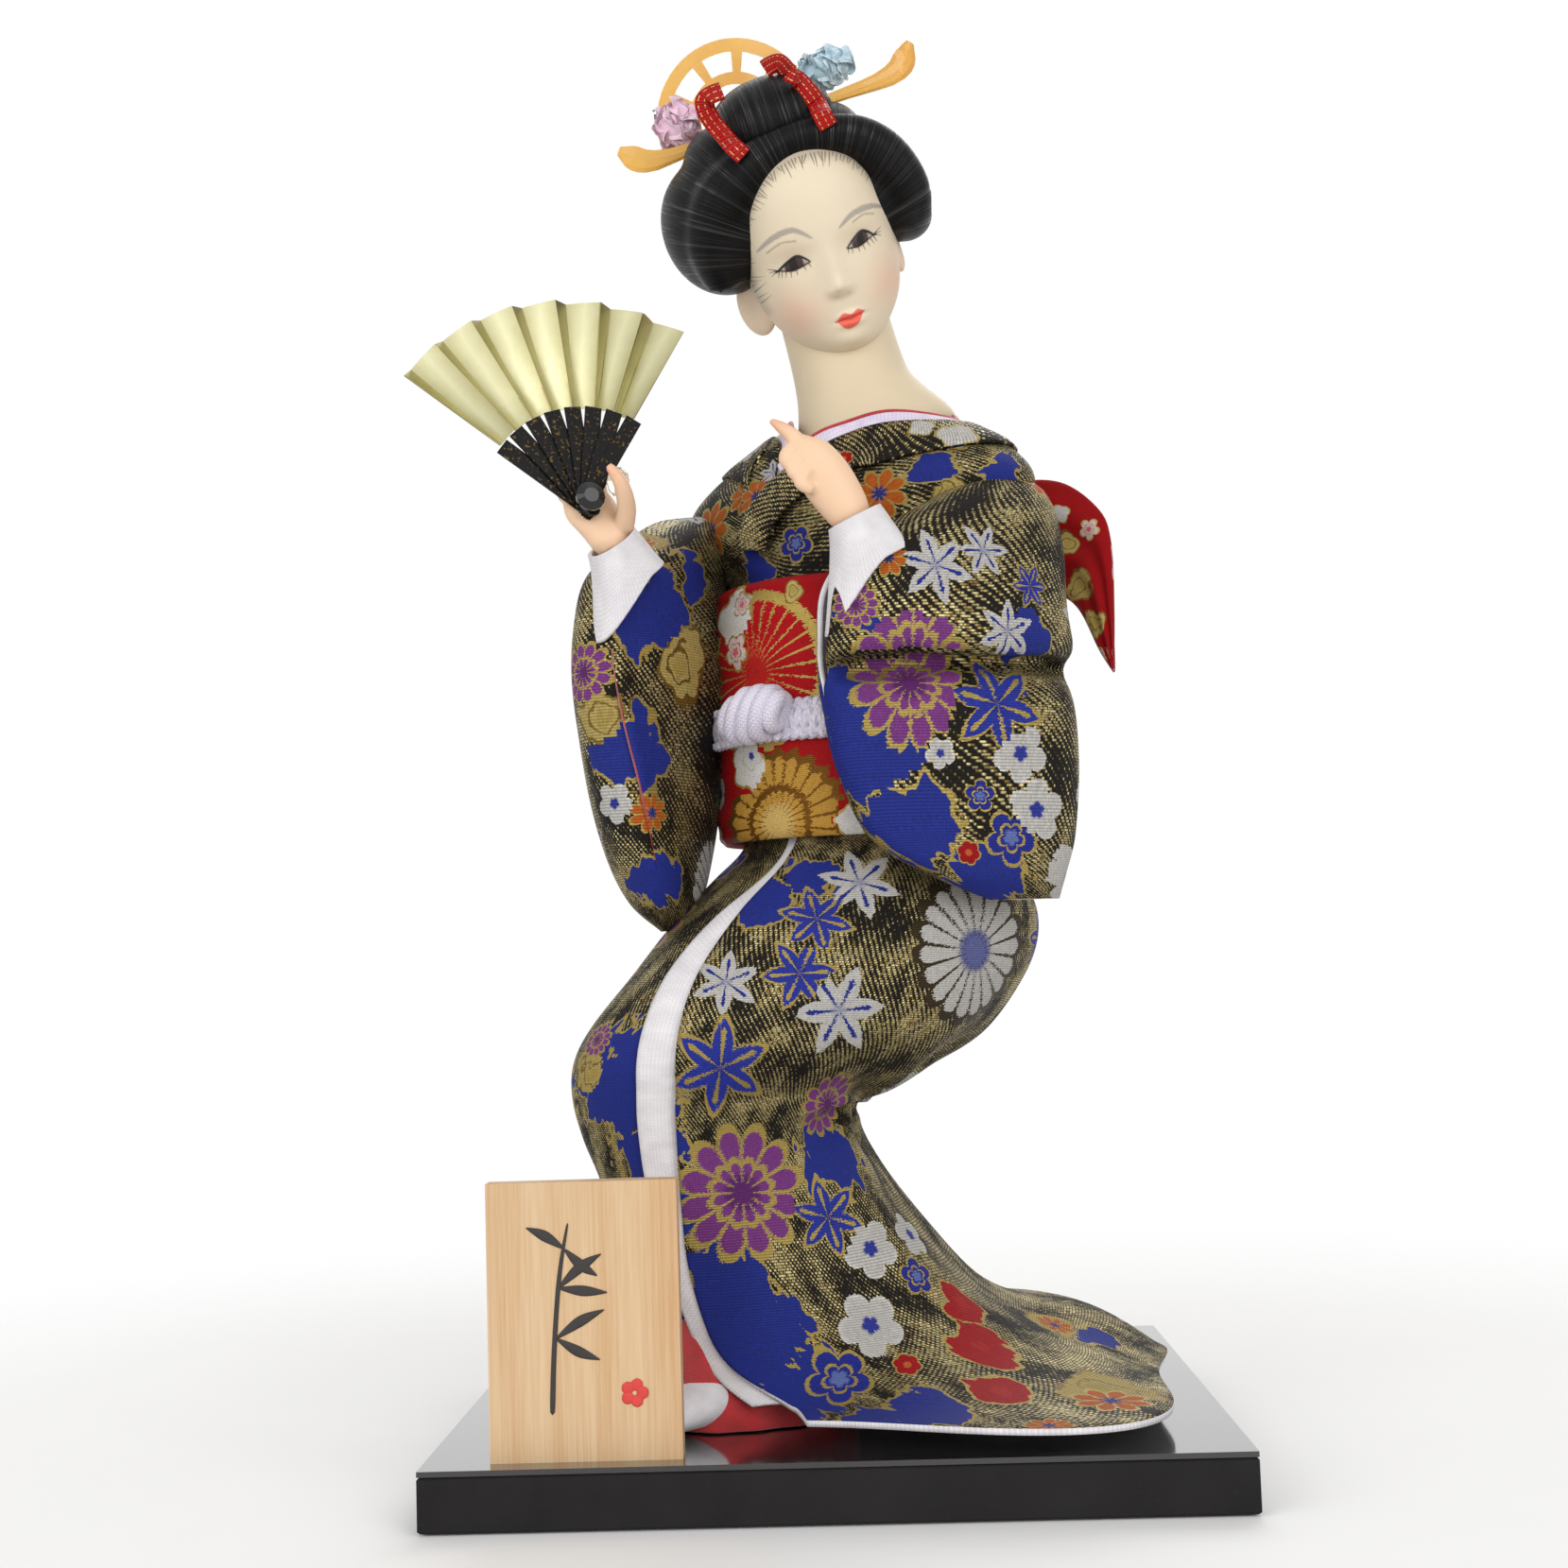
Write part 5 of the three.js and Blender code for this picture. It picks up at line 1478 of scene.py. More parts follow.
@dataclass
class Skirt:
    """Robe from the sash to the hem with its white band, the red skirt below and the feet."""

    looks: Looks
    cloth: float = 1.2
    lap: float = 3.2
    band_lift: float = 1.6
    pit: tuple[float, float] = (0.93, 0.5)
    outer_edge: Sequence[float] = (
        0.743, 0.729, 0.7, 0.655, 0.63, 0.648, 0.671, 0.672, 0.65, 0.63, 0.615, 0.627, 0.658, 0.686, 0.707,
    )
    inner_edge: Sequence[float] = (
        1.52, 1.54, 1.57, 1.62, 1.7, 1.74, 1.76, 1.77, 1.78, 1.79, 1.8, 1.82, 1.85, 1.87, 1.88,
    )
    band_widths: Sequence[float] = (
        0.012, 0.012, 0.014, 0.018, 0.028, 0.044, 0.048, 0.045, 0.04, 0.038, 0.04, 0.034, 0.024, 0.022, 0.022,
    )
    rings: Rings = field(init=False)

    def __post_init__(self) -> None:
        """Rings of the robe from the hem up."""
        self.rings = Rings(
            stations(
                (11.95, -2, 6, 69.5, 60, 48, 0), (13.55, -3, 5, 61, 51.5, 43, 3),
                (19, -7, 2, 51, 41.5, 37, 9),
                (29, -10, -5, 39.5, 30, 29, 18), (43, -13.5, -11, 31, 21, 20, 22),
                (56, -19, -14, 27.5, 17, 17, 23),
                (66, -23.5, -15.5, 26.5, 16.5, 16.5, 23), (74, -23, -15.5, 29, 17.5, 17.5, 23),
                (81, -16, -13, 36, 21, 21, 23), (88, -7.5, -10, 41, 23, 23, 22),
                (98, 0.5, -7, 40.5, 23.5, 24, 20),
                (108, 5.5, -4, 37, 23, 23.5, 15), (117, 7.5, -1.5, 30, 20.5, 21, 8),
                (123, 7.5, 0, 24, 18.5, 18.5, -4),
                (129, 7, 1, 21, 17.5, 17.5, -14),
            ),
            ripple=self.ripple,
            rise=self.rise,
        )

    def ripple(self, u: Array, v: Array) -> Array:
        """Wider corner of the train and folds that fade upwards.

        Args:
            u: places round the ring, in turns.
            v: places up the rings, from 0 to 1.

        Returns:
            Share by which the rings grow.
        """
        low = np.clip(1.0 - v / 0.3, 0.0, 1.0)
        corner = 0.42 * bell(np.mod(u, 1.0), 0.845, 0.055) * low**2
        folds = 0.035 * np.sin(9.0 * TAU * u + 0.6) * low * np.clip(v / 0.06, 0.35, 1.0)
        return corner + folds

    def rise(self, u: Array, v: Array) -> Array:
        """Raised fold of the train on the right."""
        round_way = np.mod(u + 0.5, 1.0) - 0.5 - 0.07
        return 7.0 * bell(round_way, 0.0, 0.11) * bell(v, 0.1, 0.07)

    def creases(self, u: Array, v: Array) -> Array:
        """Small creases: pulled lines at the knee pit, soft folds down the shin and under the sash.

        Args:
            u: places round the ring, in turns.
            v: places up the rings, from 0 to 1.

        Returns:
            How far the cloth stands out, in millimetres.
        """
        at_knee = bell(v, 0.53, 0.07) * bell(np.mod(u, 1.0), 0.93, 0.14)
        knee = 0.9 * np.sin(TAU * (1.6 * u + 7.0 * v)) * at_knee
        shin = 0.8 * np.sin(TAU * (7.0 * u + 1.2 * v)) * bell(v, 0.28, 0.12)
        waist = 0.5 * np.sin(TAU * (9.0 * u - 2.0 * v)) * bell(v, 0.9, 0.09)
        lap = 0.5 * np.sin(TAU * (4.0 * u + 3.0 * v)) * bell(v, 0.7, 0.1)
        sideways = 140.0 * (np.mod(u - self.pit[0] + 0.5, 1.0) - 0.5)
        upward = 120.0 * (v - self.pit[1])
        rays = np.sin(6.0 * np.arctan2(upward, sideways) + 0.8)
        pinch = 1.3 * rays * bell(np.hypot(sideways, upward), 12.0, 9.0)
        return np.asarray(knee + shin + waist + lap + pinch)

    def robe(self, s: Array, t: Array) -> Array:
        """Outer side of the wound cloth.

        Args:
            s: places across the sheet, from 0 to 1.
            t: places along the sheet, from 0 to 1.

        Returns:
            Places in millimetres.
        """
        outer = spline(self.outer_edge, t)[..., 0]
        inner = spline(self.inner_edge, t)[..., 0]
        u = outer + (inner - outer) * s
        lift = self.lap * (1.0 - smooth(u, 1.0, 1.36)) + self.cloth / 2.0
        calm = smooth(u, 1.5, 1.3)
        return self.rings.offset(u, t, lift + self.creases(u, t) * calm)

    def band(self, s: Array, t: Array) -> Array:
        """White lining that shows along the front edge.

        Args:
            s: places across the sheet, from 0 to 1.
            t: places along the sheet, from 0 to 1.

        Returns:
            Places in millimetres.
        """
        v = 0.1 + 0.87 * t
        edge = spline(self.outer_edge, v)[..., 0]
        width = spline(self.band_widths, v)[..., 0]
        u = edge - width + (width + 0.03) * s
        roll = 0.7 * np.sin(math.pi * np.clip(s * 1.4, 0.0, 1.0))
        return self.rings.offset(u, v, self.band_lift + roll)

    def build(self) -> None:
        """Robe, band, red skirt and feet."""
        f = self.looks.finishes
        cloth = Sheet("robe_cloth", 250, 130, self.robe, (470.0, 165.0))
        robe = cloth.build((f.robe, f.white, f.white), self.cloth)
        clouds = (
            drifts(Motif.BLUE_CLOUD, (765, 1375, 78), (800, 1425, 74), (850, 1470, 62), (980, 1496, 56))
            + drifts(Motif.BLUE_CLOUD, (640, 1060, 70), (660, 1150, 76), (690, 1225, 50), (880, 1225, 50))
            + drifts(Motif.BLUE_CLOUD, (806, 950, 44), (740, 1290, 40), (860, 930, 36))
            + drifts(Motif.RED_CLOUD, (1018, 1380, 34), (1040, 1425, 44), (1056, 1470, 40))
            + drifts(Motif.BLUE_CLOUD, (1158, 1415, 34), (925, 1500, 40), (1075, 1080, 40))
            + drifts(Motif.GOLD_CLOUD, (1176, 1470, 60), (1116, 1402, 36), (626, 1135, 34))
        )
        seen = (
            motifs(Motif.WHITE_MAPLE, (909, 934, 48), (888, 1069, 54), (768, 1039, 40))
            + motifs(Motif.WHITE_MUM, (1032, 1006, 88))
            + motifs(Motif.BLUE_LEAF, (864, 972, 46), (846, 1030, 46), (762, 1130, 60), (876, 1288, 48))
            + motifs(Motif.PURPLE_MUM, (786, 1262, 76), (876, 1168, 38), (632, 1100, 22))
            + motifs(Motif.WHITE_PLUM, (921, 1321, 34), (963, 1306, 28), (921, 1402, 38), (800, 1490, 22))
            + motifs(Motif.BLUE_PLUM, (888, 1459, 38), (970, 1350, 24))
            + motifs(Motif.RED_DOT, (960, 1444, 17))
            + motifs(Motif.ORANGE_FLOWER, (1176, 1482, 46), (1116, 1402, 26), (1110, 1508, 28))
        )
        Decorator(self.looks.eye, clouds + seen, SCATTER).dress(robe)
        self.looks.add(robe, "doll", "brocade", "robe_skirt")
        band = Sheet("lining_cloth", 14, 110, self.band, (8.0, 150.0)).build((f.white,), 0.6)
        self.looks.add(band, "doll", "white_cloth", "lining_band")
        self.red_skirt()
        self.feet()

    def red_skirt(self) -> None:
        """Red satin skirt that shows between the robe's edges."""
        under = Rings(
            stations(
                (11.35, -19, -20, 23, 22, 21, 23), (17, -19, -19, 24, 22, 20, 23),
                (27, -18.5, -17, 23, 19, 18.5, 23),
                (45, -18, -14.5, 21, 14.5, 14.5, 23),
            ),
            ripple=lambda u, v: 0.03 * np.sin(5.0 * TAU * u) + 0.012 * np.sin(17.0 * TAU * u + 3.0 * v),
        )
        skirt = Sheet("satin_skirt", 120, 30, lambda s, t: under.at(s, t), (130.0, 36.0))
        self.looks.add(skirt.build((self.looks.finishes.satin,), 0.5), "doll", "red_satin", "under_skirt")

    def feet(self) -> None:
        """Two white split-toe socks."""
        floor = 11.45
        for side, heel, toe in (("left", (-12, -25), (-38, -49)), ("right", (-26, 6), (-52, -12))):
            shares = np.linspace(0.0, 1.0, 5)
            heights = (6.2, 6.2, 5.0, 3.4, 2.2)
            line = [
                (heel[0] + (toe[0] - heel[0]) * k, heel[1] + (toe[1] - heel[1]) * k, floor + h)
                for k, h in zip(shares, heights)
            ]
            way = unit(np.array([toe[0] - heel[0], toe[1] - heel[1], 0.0]))
            across = (float(-way[1]), float(way[0]), 0.0)
            foot = Tube(line, (4.6, 6.0, 6.4, 6.4, 4.4), (5.6, 6.0, 4.8, 3.2, 2.0), across, 40, 60)

            def split(s: Array, t: Array, body: Tube = foot) -> Array:
                """Foot with the toe split and a flat sole.

                Args:
                    s: places round it, from 0 to 1.
                    t: places along it, from 0 to 1.
                    body: sweep of the foot.

                Returns:
                    Places in millimetres.
                """
                places = body.surface(s, t)
                above = np.sin(s * TAU) > 0.0
                slit = 0.9 * bell(np.cos(s * TAU), 0.25, 0.12) * smooth(t, 0.72, 0.84) * above
                places[..., 2] = np.maximum(places[..., 2] - slit, floor)
                return places

            sock = Sheet(f"sock_{side}", 44, 60, split, (36.0, 36.0)).build((self.looks.finishes.white,))
            self.looks.add(sock, "doll", "white_cloth", f"foot_{side}")


@dataclass
class Bodice:
    """Upper robe: the chest cloth, collars, sash, braided cord and bow."""

    looks: Looks
    rings: Rings = field(init=False)
    sash_rings: Rings = field(init=False)
    chest: tuple[float, float] = (13.0, 5.0)
    throat: tuple[float, float, float] = (0.72, 0.07, 8.0)
    neckline: float = 211.0
    collar_width: float = 8.6
    under_width: float = 4.6
    cord_height: float = 149.0
    cord_out: float = 8.0
    cord_swing: float = 3.4
    cord_depth: float = 0.6
    cord_turns: float = 30.0
    cord_strands: int = 6

    def __post_init__(self) -> None:
        """Rings of the body and of the sash."""
        rows = (
            (129.5, 7, 1, 21.5, 17.5, 17.5), (150, 7, 1, 23, 19, 18.5), (170, 8, 1.5, 24.5, 20, 18.5),
            (181, 8.5, 2, 27, 21, 18.5), (190, 9.5, 2, 36, 21.5, 18.5), (198, 10.5, 2.5, 41, 20, 17),
            (205, 11.5, 3.5, 36, 18, 16), (211, 13, 4.5, 26, 17.5, 15.5), (214.5, 14, 5, 20, 18, 16),
            (218.5, 14.4, 5.3, 17, 15.5, 14),
        )
        self.rings = Rings(stations(*[(*row, -30.0) for row in rows]))
        self.sash_rings = Rings(
            stations(
                (125, 7.5, 1, 23.5, 19.5, 19.5, -30), (152, 7.5, 1.2, 23.2, 19.2, 19, -30),
                (179, 8.5, 2, 25, 20, 18, -30),
            )
        )

    def cloth(self, s: Array, t: Array) -> Array:
        """Chest cloth with a few folds under the arms, cut lower at the throat.

        Args:
            s: places across the sheet, from 0 to 1.
            t: places along the sheet, from 0 to 1.

        Returns:
            Places in millimetres.
        """
        folds = 0.6 * np.sin(TAU * (6.0 * s + 2.0 * t)) * bell(t, 0.5, 0.18)
        throat = bell(np.mod(s, 1.0), self.throat[0], self.throat[1])
        top = self.rings.level(self.neckline - self.throat[2] * throat)
        return self.rings.offset(s, t * top, 0.6 + folds * 0.6)

    def along(
        self, edge: Sequence[tuple[float, float]], near: float, far: float, lifts: tuple[float, float]
    ) -> Surface:
        """Surface of a band that lies on the chest below an edge line.

        Args:
            edge: turns and heights of the line.
            near: gap below the line where the band begins.
            far: gap below the line where it ends.
            lifts: how far it lies over the chest at its start and its end.

        Returns:
            Places from shares across and along the band.
        """
        rings, step = self.rings, 0.004
        track = np.array([(u, float(rings.level(height))) for u, height in edge])

        def surface(s: Array, t: Array) -> Array:
            """Points of the band: s across and t along.

            Args:
                s: places across the sheet, from 0 to 1.
                t: places along the sheet, from 0 to 1.

            Returns:
                Places in millimetres.
            """
            u, v = np.moveaxis(spline(track, t), -1, 0)
            ahead = np.moveaxis(spline(track, np.minimum(t + 0.01, 1.0)), -1, 0)
            behind = np.moveaxis(spline(track, np.maximum(t - 0.01, 0.0)), -1, 0)
            down = unit(np.cross(rings.normal(u, v), rings.at(*ahead) - rings.at(*behind)))
            down = down * -np.sign(down[..., 2:])
            turn = (rings.at(u + step, v) - rings.at(u - step, v)) / (2.0 * step)
            rise = (rings.at(u, v + step) - rings.at(u, v - step)) / (2.0 * step)
            a, b, c = (turn * turn).sum(-1), (turn * rise).sum(-1), (rise * rise).sum(-1)
            p, q = (down * turn).sum(-1), (down * rise).sum(-1)
            gap = (near + (far - near) * s) / (a * c - b * b)
            crown = 0.3 * (1.0 - (2.0 * s - 1.0) ** 4)
            lift = lifts[0] + (lifts[1] - lifts[0]) * smooth(t, 0.3, 0.85) + crown
            return rings.offset(u + gap * (c * p - b * q), np.clip(v + gap * (a * q - b * p), 0.0, 1.0), lift)

        return surface

    def band(self, sheet: Sheet, finish: Material, thick: float) -> Piece:
        """Strip with its outer side turned away from the chest's axis.

        Args:
            sheet: grid of the strip.
            finish: material.
            thick: thickness in millimetres.

        Returns:
            The strip.
        """
        bm = sheet.bmesh()
        axis = Vector((*self.chest, 0.0)) * MM
        facing = 0.0
        for face in bm.faces:
            away = face.calc_center_median() - axis
            away.z = 0.0
            facing += face.normal.dot(away)
        bm.free()
        return sheet.build((finish, finish, finish), thick, flip=facing < 0.0)

    def build(self) -> None:
        """All pieces of the upper robe."""
        f, eye = self.looks.finishes, self.looks.eye
        cloth = Sheet("chest_cloth", 110, 70, self.cloth, (150.0, 95.0)).build((f.robe, f.white), 1.0)
        seen = (
            drifts(Motif.BLUE_CLOUD, (985, 495, 34), (1062, 500, 28), (1075, 560, 30))
            + drifts(Motif.GOLD_CLOUD, (1005, 522, 26))
            + drifts(Motif.WHITE_CLOUD, (1012, 458, 34))
            + drifts(Motif.BLUE_CLOUD, (800, 600, 30), (750, 520, 24), (935, 470, 22))
            + motifs(Motif.ORANGE_FLOWER, (930, 522, 36), (1070, 532, 26), (752, 562, 40), (790, 522, 30))
            + motifs(Motif.BLUE_PLUM, (842, 575, 24), (735, 600, 18))
            + motifs(Motif.RED_DOT, (893, 485, 10))
        )
        Decorator(eye, seen, SCATTER).dress(cloth)
        self.looks.add(cloth, "doll", "brocade", "robe_bodice")
        self.collars()
        self.sash()
        self.cord()
        Bow(self.looks, self.sash_rings).build()

    def collars(self) -> None:
        """Crossed collars of brocade and the white under-collars with a red edge."""
        f = self.looks.finishes
        edges = {
            "right": (
                (1.4, 1.4),
                (
                    (0.235, 212), (0.32, 212), (0.42, 212.2), (0.52, 212.4), (0.6, 213),
                    (0.66, 212), (0.695, 208.5), (0.71, 203), (0.718, 196), (0.722, 189),
                ),
            ),
            "left": (
                (1.4, 2.9),
                (
                    (0.265, 212), (0.18, 212), (0.1, 212.2),
                    (-0.04, 211.2), (-0.11, 210.8), (-0.17, 210.6),
                    (-0.215, 209), (-0.25, 206.2), (-0.278, 201.5), (-0.3, 195.5), (-0.325, 187.5),
                ),
            ),
        }
        flowers = ((Motif.ORANGE_FLOWER, 4.0), (Motif.BLUE_PLUM, 4.0), (Motif.WHITE_PLUM, 3.6))
        pattern = (
            drifts(Motif.WHITE_CLOUD, (1012, 460, 26), (975, 452, 16))
            + motifs(Motif.ORANGE_FLOWER, (925, 515, 26), (800, 525, 30))
            + motifs(Motif.BLUE_PLUM, (985, 485, 24), (840, 575, 22))
            + motifs(Motif.WHITE_MAPLE, (818, 500, 22))
            + motifs(Motif.RED_DOT, (893, 485, 12))
        )
        for side, (lifts, edge) in edges.items():
            shape = self.along(edge, 0.0, self.collar_width, lifts)
            cloth = Sheet(f"collar_cloth_{side}", 14, 120, shape, (9.0, 90.0), keep_facing=True)
            collar = self.band(cloth, f.robe, 0.7)
            Decorator(self.looks.eye, pattern, flowers, 12.0).dress(collar)
            self.looks.add(collar, "doll", "brocade", f"collar_{side}")
            inner = edge[:-2]
            shape = self.along(inner, -self.under_width, 2.4, (lifts[0] - 0.9, lifts[1] - 1.1))
            under = Sheet(f"under_collar_cloth_{side}", 10, 110, shape, (6.0, 80.0), keep_facing=True)
            self.looks.add(self.band(under, f.under, 0.6), "doll", "white_cloth", f"under_collar_{side}")
            share = np.linspace(0.0, 1.0, 60)
            rim = shape(np.zeros_like(share), share)
            cord = Tube(rim, (0.45, 0.45), (0.45, 0.45), (0.0, 0.0, 1.0), 8, 110)
            self.looks.add(cord.build(f"red_edge_{side}", (f.satin,)), "doll", "red_satin")

    def sash(self) -> None:
        """Wide printed sash wound round the waist."""
        f = self.looks.finishes

        def surface(s: Array, t: Array) -> Array:
            """Outer side of the sash with soft level creases and rolled edges.

            Args:
                s: places round it, from 0 to 1.
                t: places along it, from 0 to 1.

            Returns:
                Places in millimetres.
            """
            roll = -1.3 * (bell(t, 0.0, 0.03) + bell(t, 1.0, 0.03))
            crease = 0.35 * np.sin(TAU * (3.0 * t + 1.5 * s)) + 0.25 * np.sin(TAU * (2.0 * s + 7.0 * t))
            return self.sash_rings.offset(s, t, 6.6 + roll + crease)

        sash = Sheet("sash_cloth", 130, 60, surface, (165.0, 54.0)).build((f.sash, f.sash), 1.6)
        clouds = (
            drifts(Motif.WHITE_CLOUD, (776, 655, 42), (792, 815, 34), (905, 865, 26))
            + drifts(Motif.GOLD_RAYS, (800, 712, 96))
            + drifts(Motif.GOLD_FAN, (822, 872, 88))
        )
        seen = (
            motifs(Motif.PINK_PLUM, (778, 690, 24), (785, 640, 16))
            + motifs(Motif.WHITE_PLUM, (795, 800, 18))
            + motifs(Motif.GOLD_CLOUD, (842, 628, 16))
        )
        prints = (
            (Motif.GOLD_FAN, 8.0), (Motif.PINK_PLUM, 4.5),
            (Motif.WHITE_PLUM, 4.5), (Motif.GOLD_CLOUD, 6.0),
        )
        Decorator(self.looks.eye, clouds + seen, prints, 9.0).dress(sash)
        self.looks.add(sash, "doll", "red_brocade", "obi_sash")

    def cord(self) -> None:
        """Flat braid of six strands tied round the sash, and its knot."""
        f = self.looks.finishes
        share = np.linspace(0.0, 1.0, 600)
        strands = []
        for k in range(self.cord_strands):
            phase = TAU * k / self.cord_strands
            height = self.cord_height + self.cord_swing * np.sin(TAU * self.cord_turns * share + phase)
            weave = np.cos(2.0 * TAU * self.cord_turns * share + 2.0 * phase + math.pi * (k % 2))
            out = self.cord_out + self.cord_depth * weave
            line = self.sash_rings.offset(share, self.sash_rings.level(height), out)
            strand = Tube(line, (1.0,) * 2, (0.8,) * 2, (0.0, 0.0, 1.0), 6, 1200)
            strands.append(strand.sheet("strand").bmesh())
        self.looks.add(merged("braid_cord", strands, (f.braid,)), "doll", "white_cloth", "obi_cord")
        turn_at, height_at = np.array(0.735), self.sash_rings.level(150.5)
        middle = self.sash_rings.offset(turn_at, height_at, 9.6) - np.array([3.0, 0.0, 0.0])
        out = self.sash_rings.normal(turn_at, height_at)
        side = unit(np.cross(np.array([0.0, 0.0, 1.0]), out))
        up = np.array([0.0, 0.0, 1.0])
        turn = np.linspace(0.0, 1.0, 60) * TAU
        knots = []
        for shift, size in ((-5.6, 0.62), (-2.9, 0.95), (0.1, 1.0), (3.0, 0.92), (5.6, 0.6)):
            slant = unit(up + 0.45 * side)
            ring = (
                middle + side * shift
                + np.outer(np.cos(turn) * 5.0 * size, slant)
                + np.outer(np.sin(turn) * 3.4 * size - 0.6, out)
            )
            knots.append(Tube(ring, (1.8, 1.8), (1.8, 1.8), tuple(side), 10, 90).sheet("loop").bmesh())
        self.looks.add(merged("braid_knot", knots, (f.braid,)), "doll", "white_cloth", "obi_cord_knot")


@dataclass
class Bow:
    """Bow at the back of the sash: two stuffed wings and the knot between them."""

    looks: Looks
    sash: Rings
    upper: Sequence[tuple[float, float]] = (
        (7, 194), (24, 203), (38, 202.5), (48, 195), (51, 187), (51, 172), (50.3, 160),
    )
    lower: Sequence[tuple[float, float]] = (
        (7, 173), (16, 175), (26, 176.5), (36, 177.5), (42, 174), (47, 164), (50.2, 159),
    )

    def place(self, across: Array, height: Array, depth: Array) -> Array:
        """Point at the bow from its distance sideways, its height and its depth backwards.

        Args:
            across: distance sideways.
            height: height.
            depth: distance backwards.

        Returns:
            Places in millimetres.
        """
        back = self.sash.offset(np.array(0.25), self.sash.level(172.0), 6.6)
        sideways, backward = np.array([0.866, -0.5, 0.0]), np.array([0.5, 0.866, 0.0])
        made = back + scaled(across, sideways) + scaled(depth, backward)
        made[..., 2] = height
        return made

    def build(self) -> None:
        """Wings and knot."""
        f = self.looks.finishes
        for name, sign in (("left", 1.0), ("right", -1.0)):

            def surface(s: Array, t: Array, sign: float = sign) -> Array:
                """Closed pillow between the two edges of the wing.

                Args:
                    s: places round it, from 0 to 1.
                    t: places along it, from 0 to 1.
                    sign: side of the wing.

                Returns:
                    Places in millimetres.
                """
                high, low = spline(self.upper, t), spline(self.lower, t)
                share = 0.5 - 0.5 * np.cos(s * TAU)
                edge = high + (low - high) * share[..., None]
                rising, falling = np.clip(t * 9.0, 0.1, 1.0), np.clip(1.02 - t, 0.0, 1.0)
                puff = 3.0 * np.sin(s * TAU) * np.sqrt(rising) * np.sqrt(falling)
                fold = 0.5 * np.sin(TAU * (share * 2.5 + t * 0.6)) * np.sin(math.pi * share)
                depth = 3.2 - edge[..., 0] ** 2 / 600.0 + puff + fold
                return self.place(sign * edge[..., 0], edge[..., 1], depth)

            wing = Sheet(f"bow_cloth_{name}", 70, 60, surface, (90.0, 70.0)).build((f.sash, f.sash))
            spots = (
                drifts(Motif.WHITE_CLOUD, (1168, 700, 34), (1122, 545, 14))
                + drifts(Motif.GOLD_CLOUD, (1128, 575, 18), (1142, 620, 22), (1158, 660, 18))
                + motifs(Motif.PINK_PLUM, (1152, 560, 14))
            )
            prints = ((Motif.GOLD_FAN, 8.0), (Motif.PINK_PLUM, 4.5), (Motif.WHITE_CLOUD, 6.0))
            Decorator(self.looks.eye, spots, prints, 9.0).dress(wing)
            self.looks.add(wing, "doll", "red_brocade", f"bow_wing_{name}")

        def wrap(s: Array, t: Array) -> Array:
            """Knot as a puffed band of cloth.

            Args:
                s: places round it, from 0 to 1.
                t: places along it, from 0 to 1.

            Returns:
                Places in millimetres.
            """
            angle = s * TAU
            swell = np.sqrt(np.clip(1.0 - (2.0 * t - 1.0) ** 6, 0.0, 1.0))
            across = 6.5 * power(np.cos(angle), 0.7) * swell * (1.0 + 0.05 * np.sin(9.0 * angle))
            depth = 3.0 + 4.5 * power(np.sin(angle), 0.7) * swell
            return self.place(across, 172.2 + 23.6 * t, depth)

        knot = Sheet("bow_knot_cloth", 48, 40, wrap, (40.0, 24.0)).build((f.sash,))
        Decorator(self.looks.eye, [], ((Motif.GOLD_FAN, 6.0), (Motif.PINK_PLUM, 4.0)), 8.0).dress(knot)
        self.looks.add(knot, "doll", "red_brocade", "bow_knot")


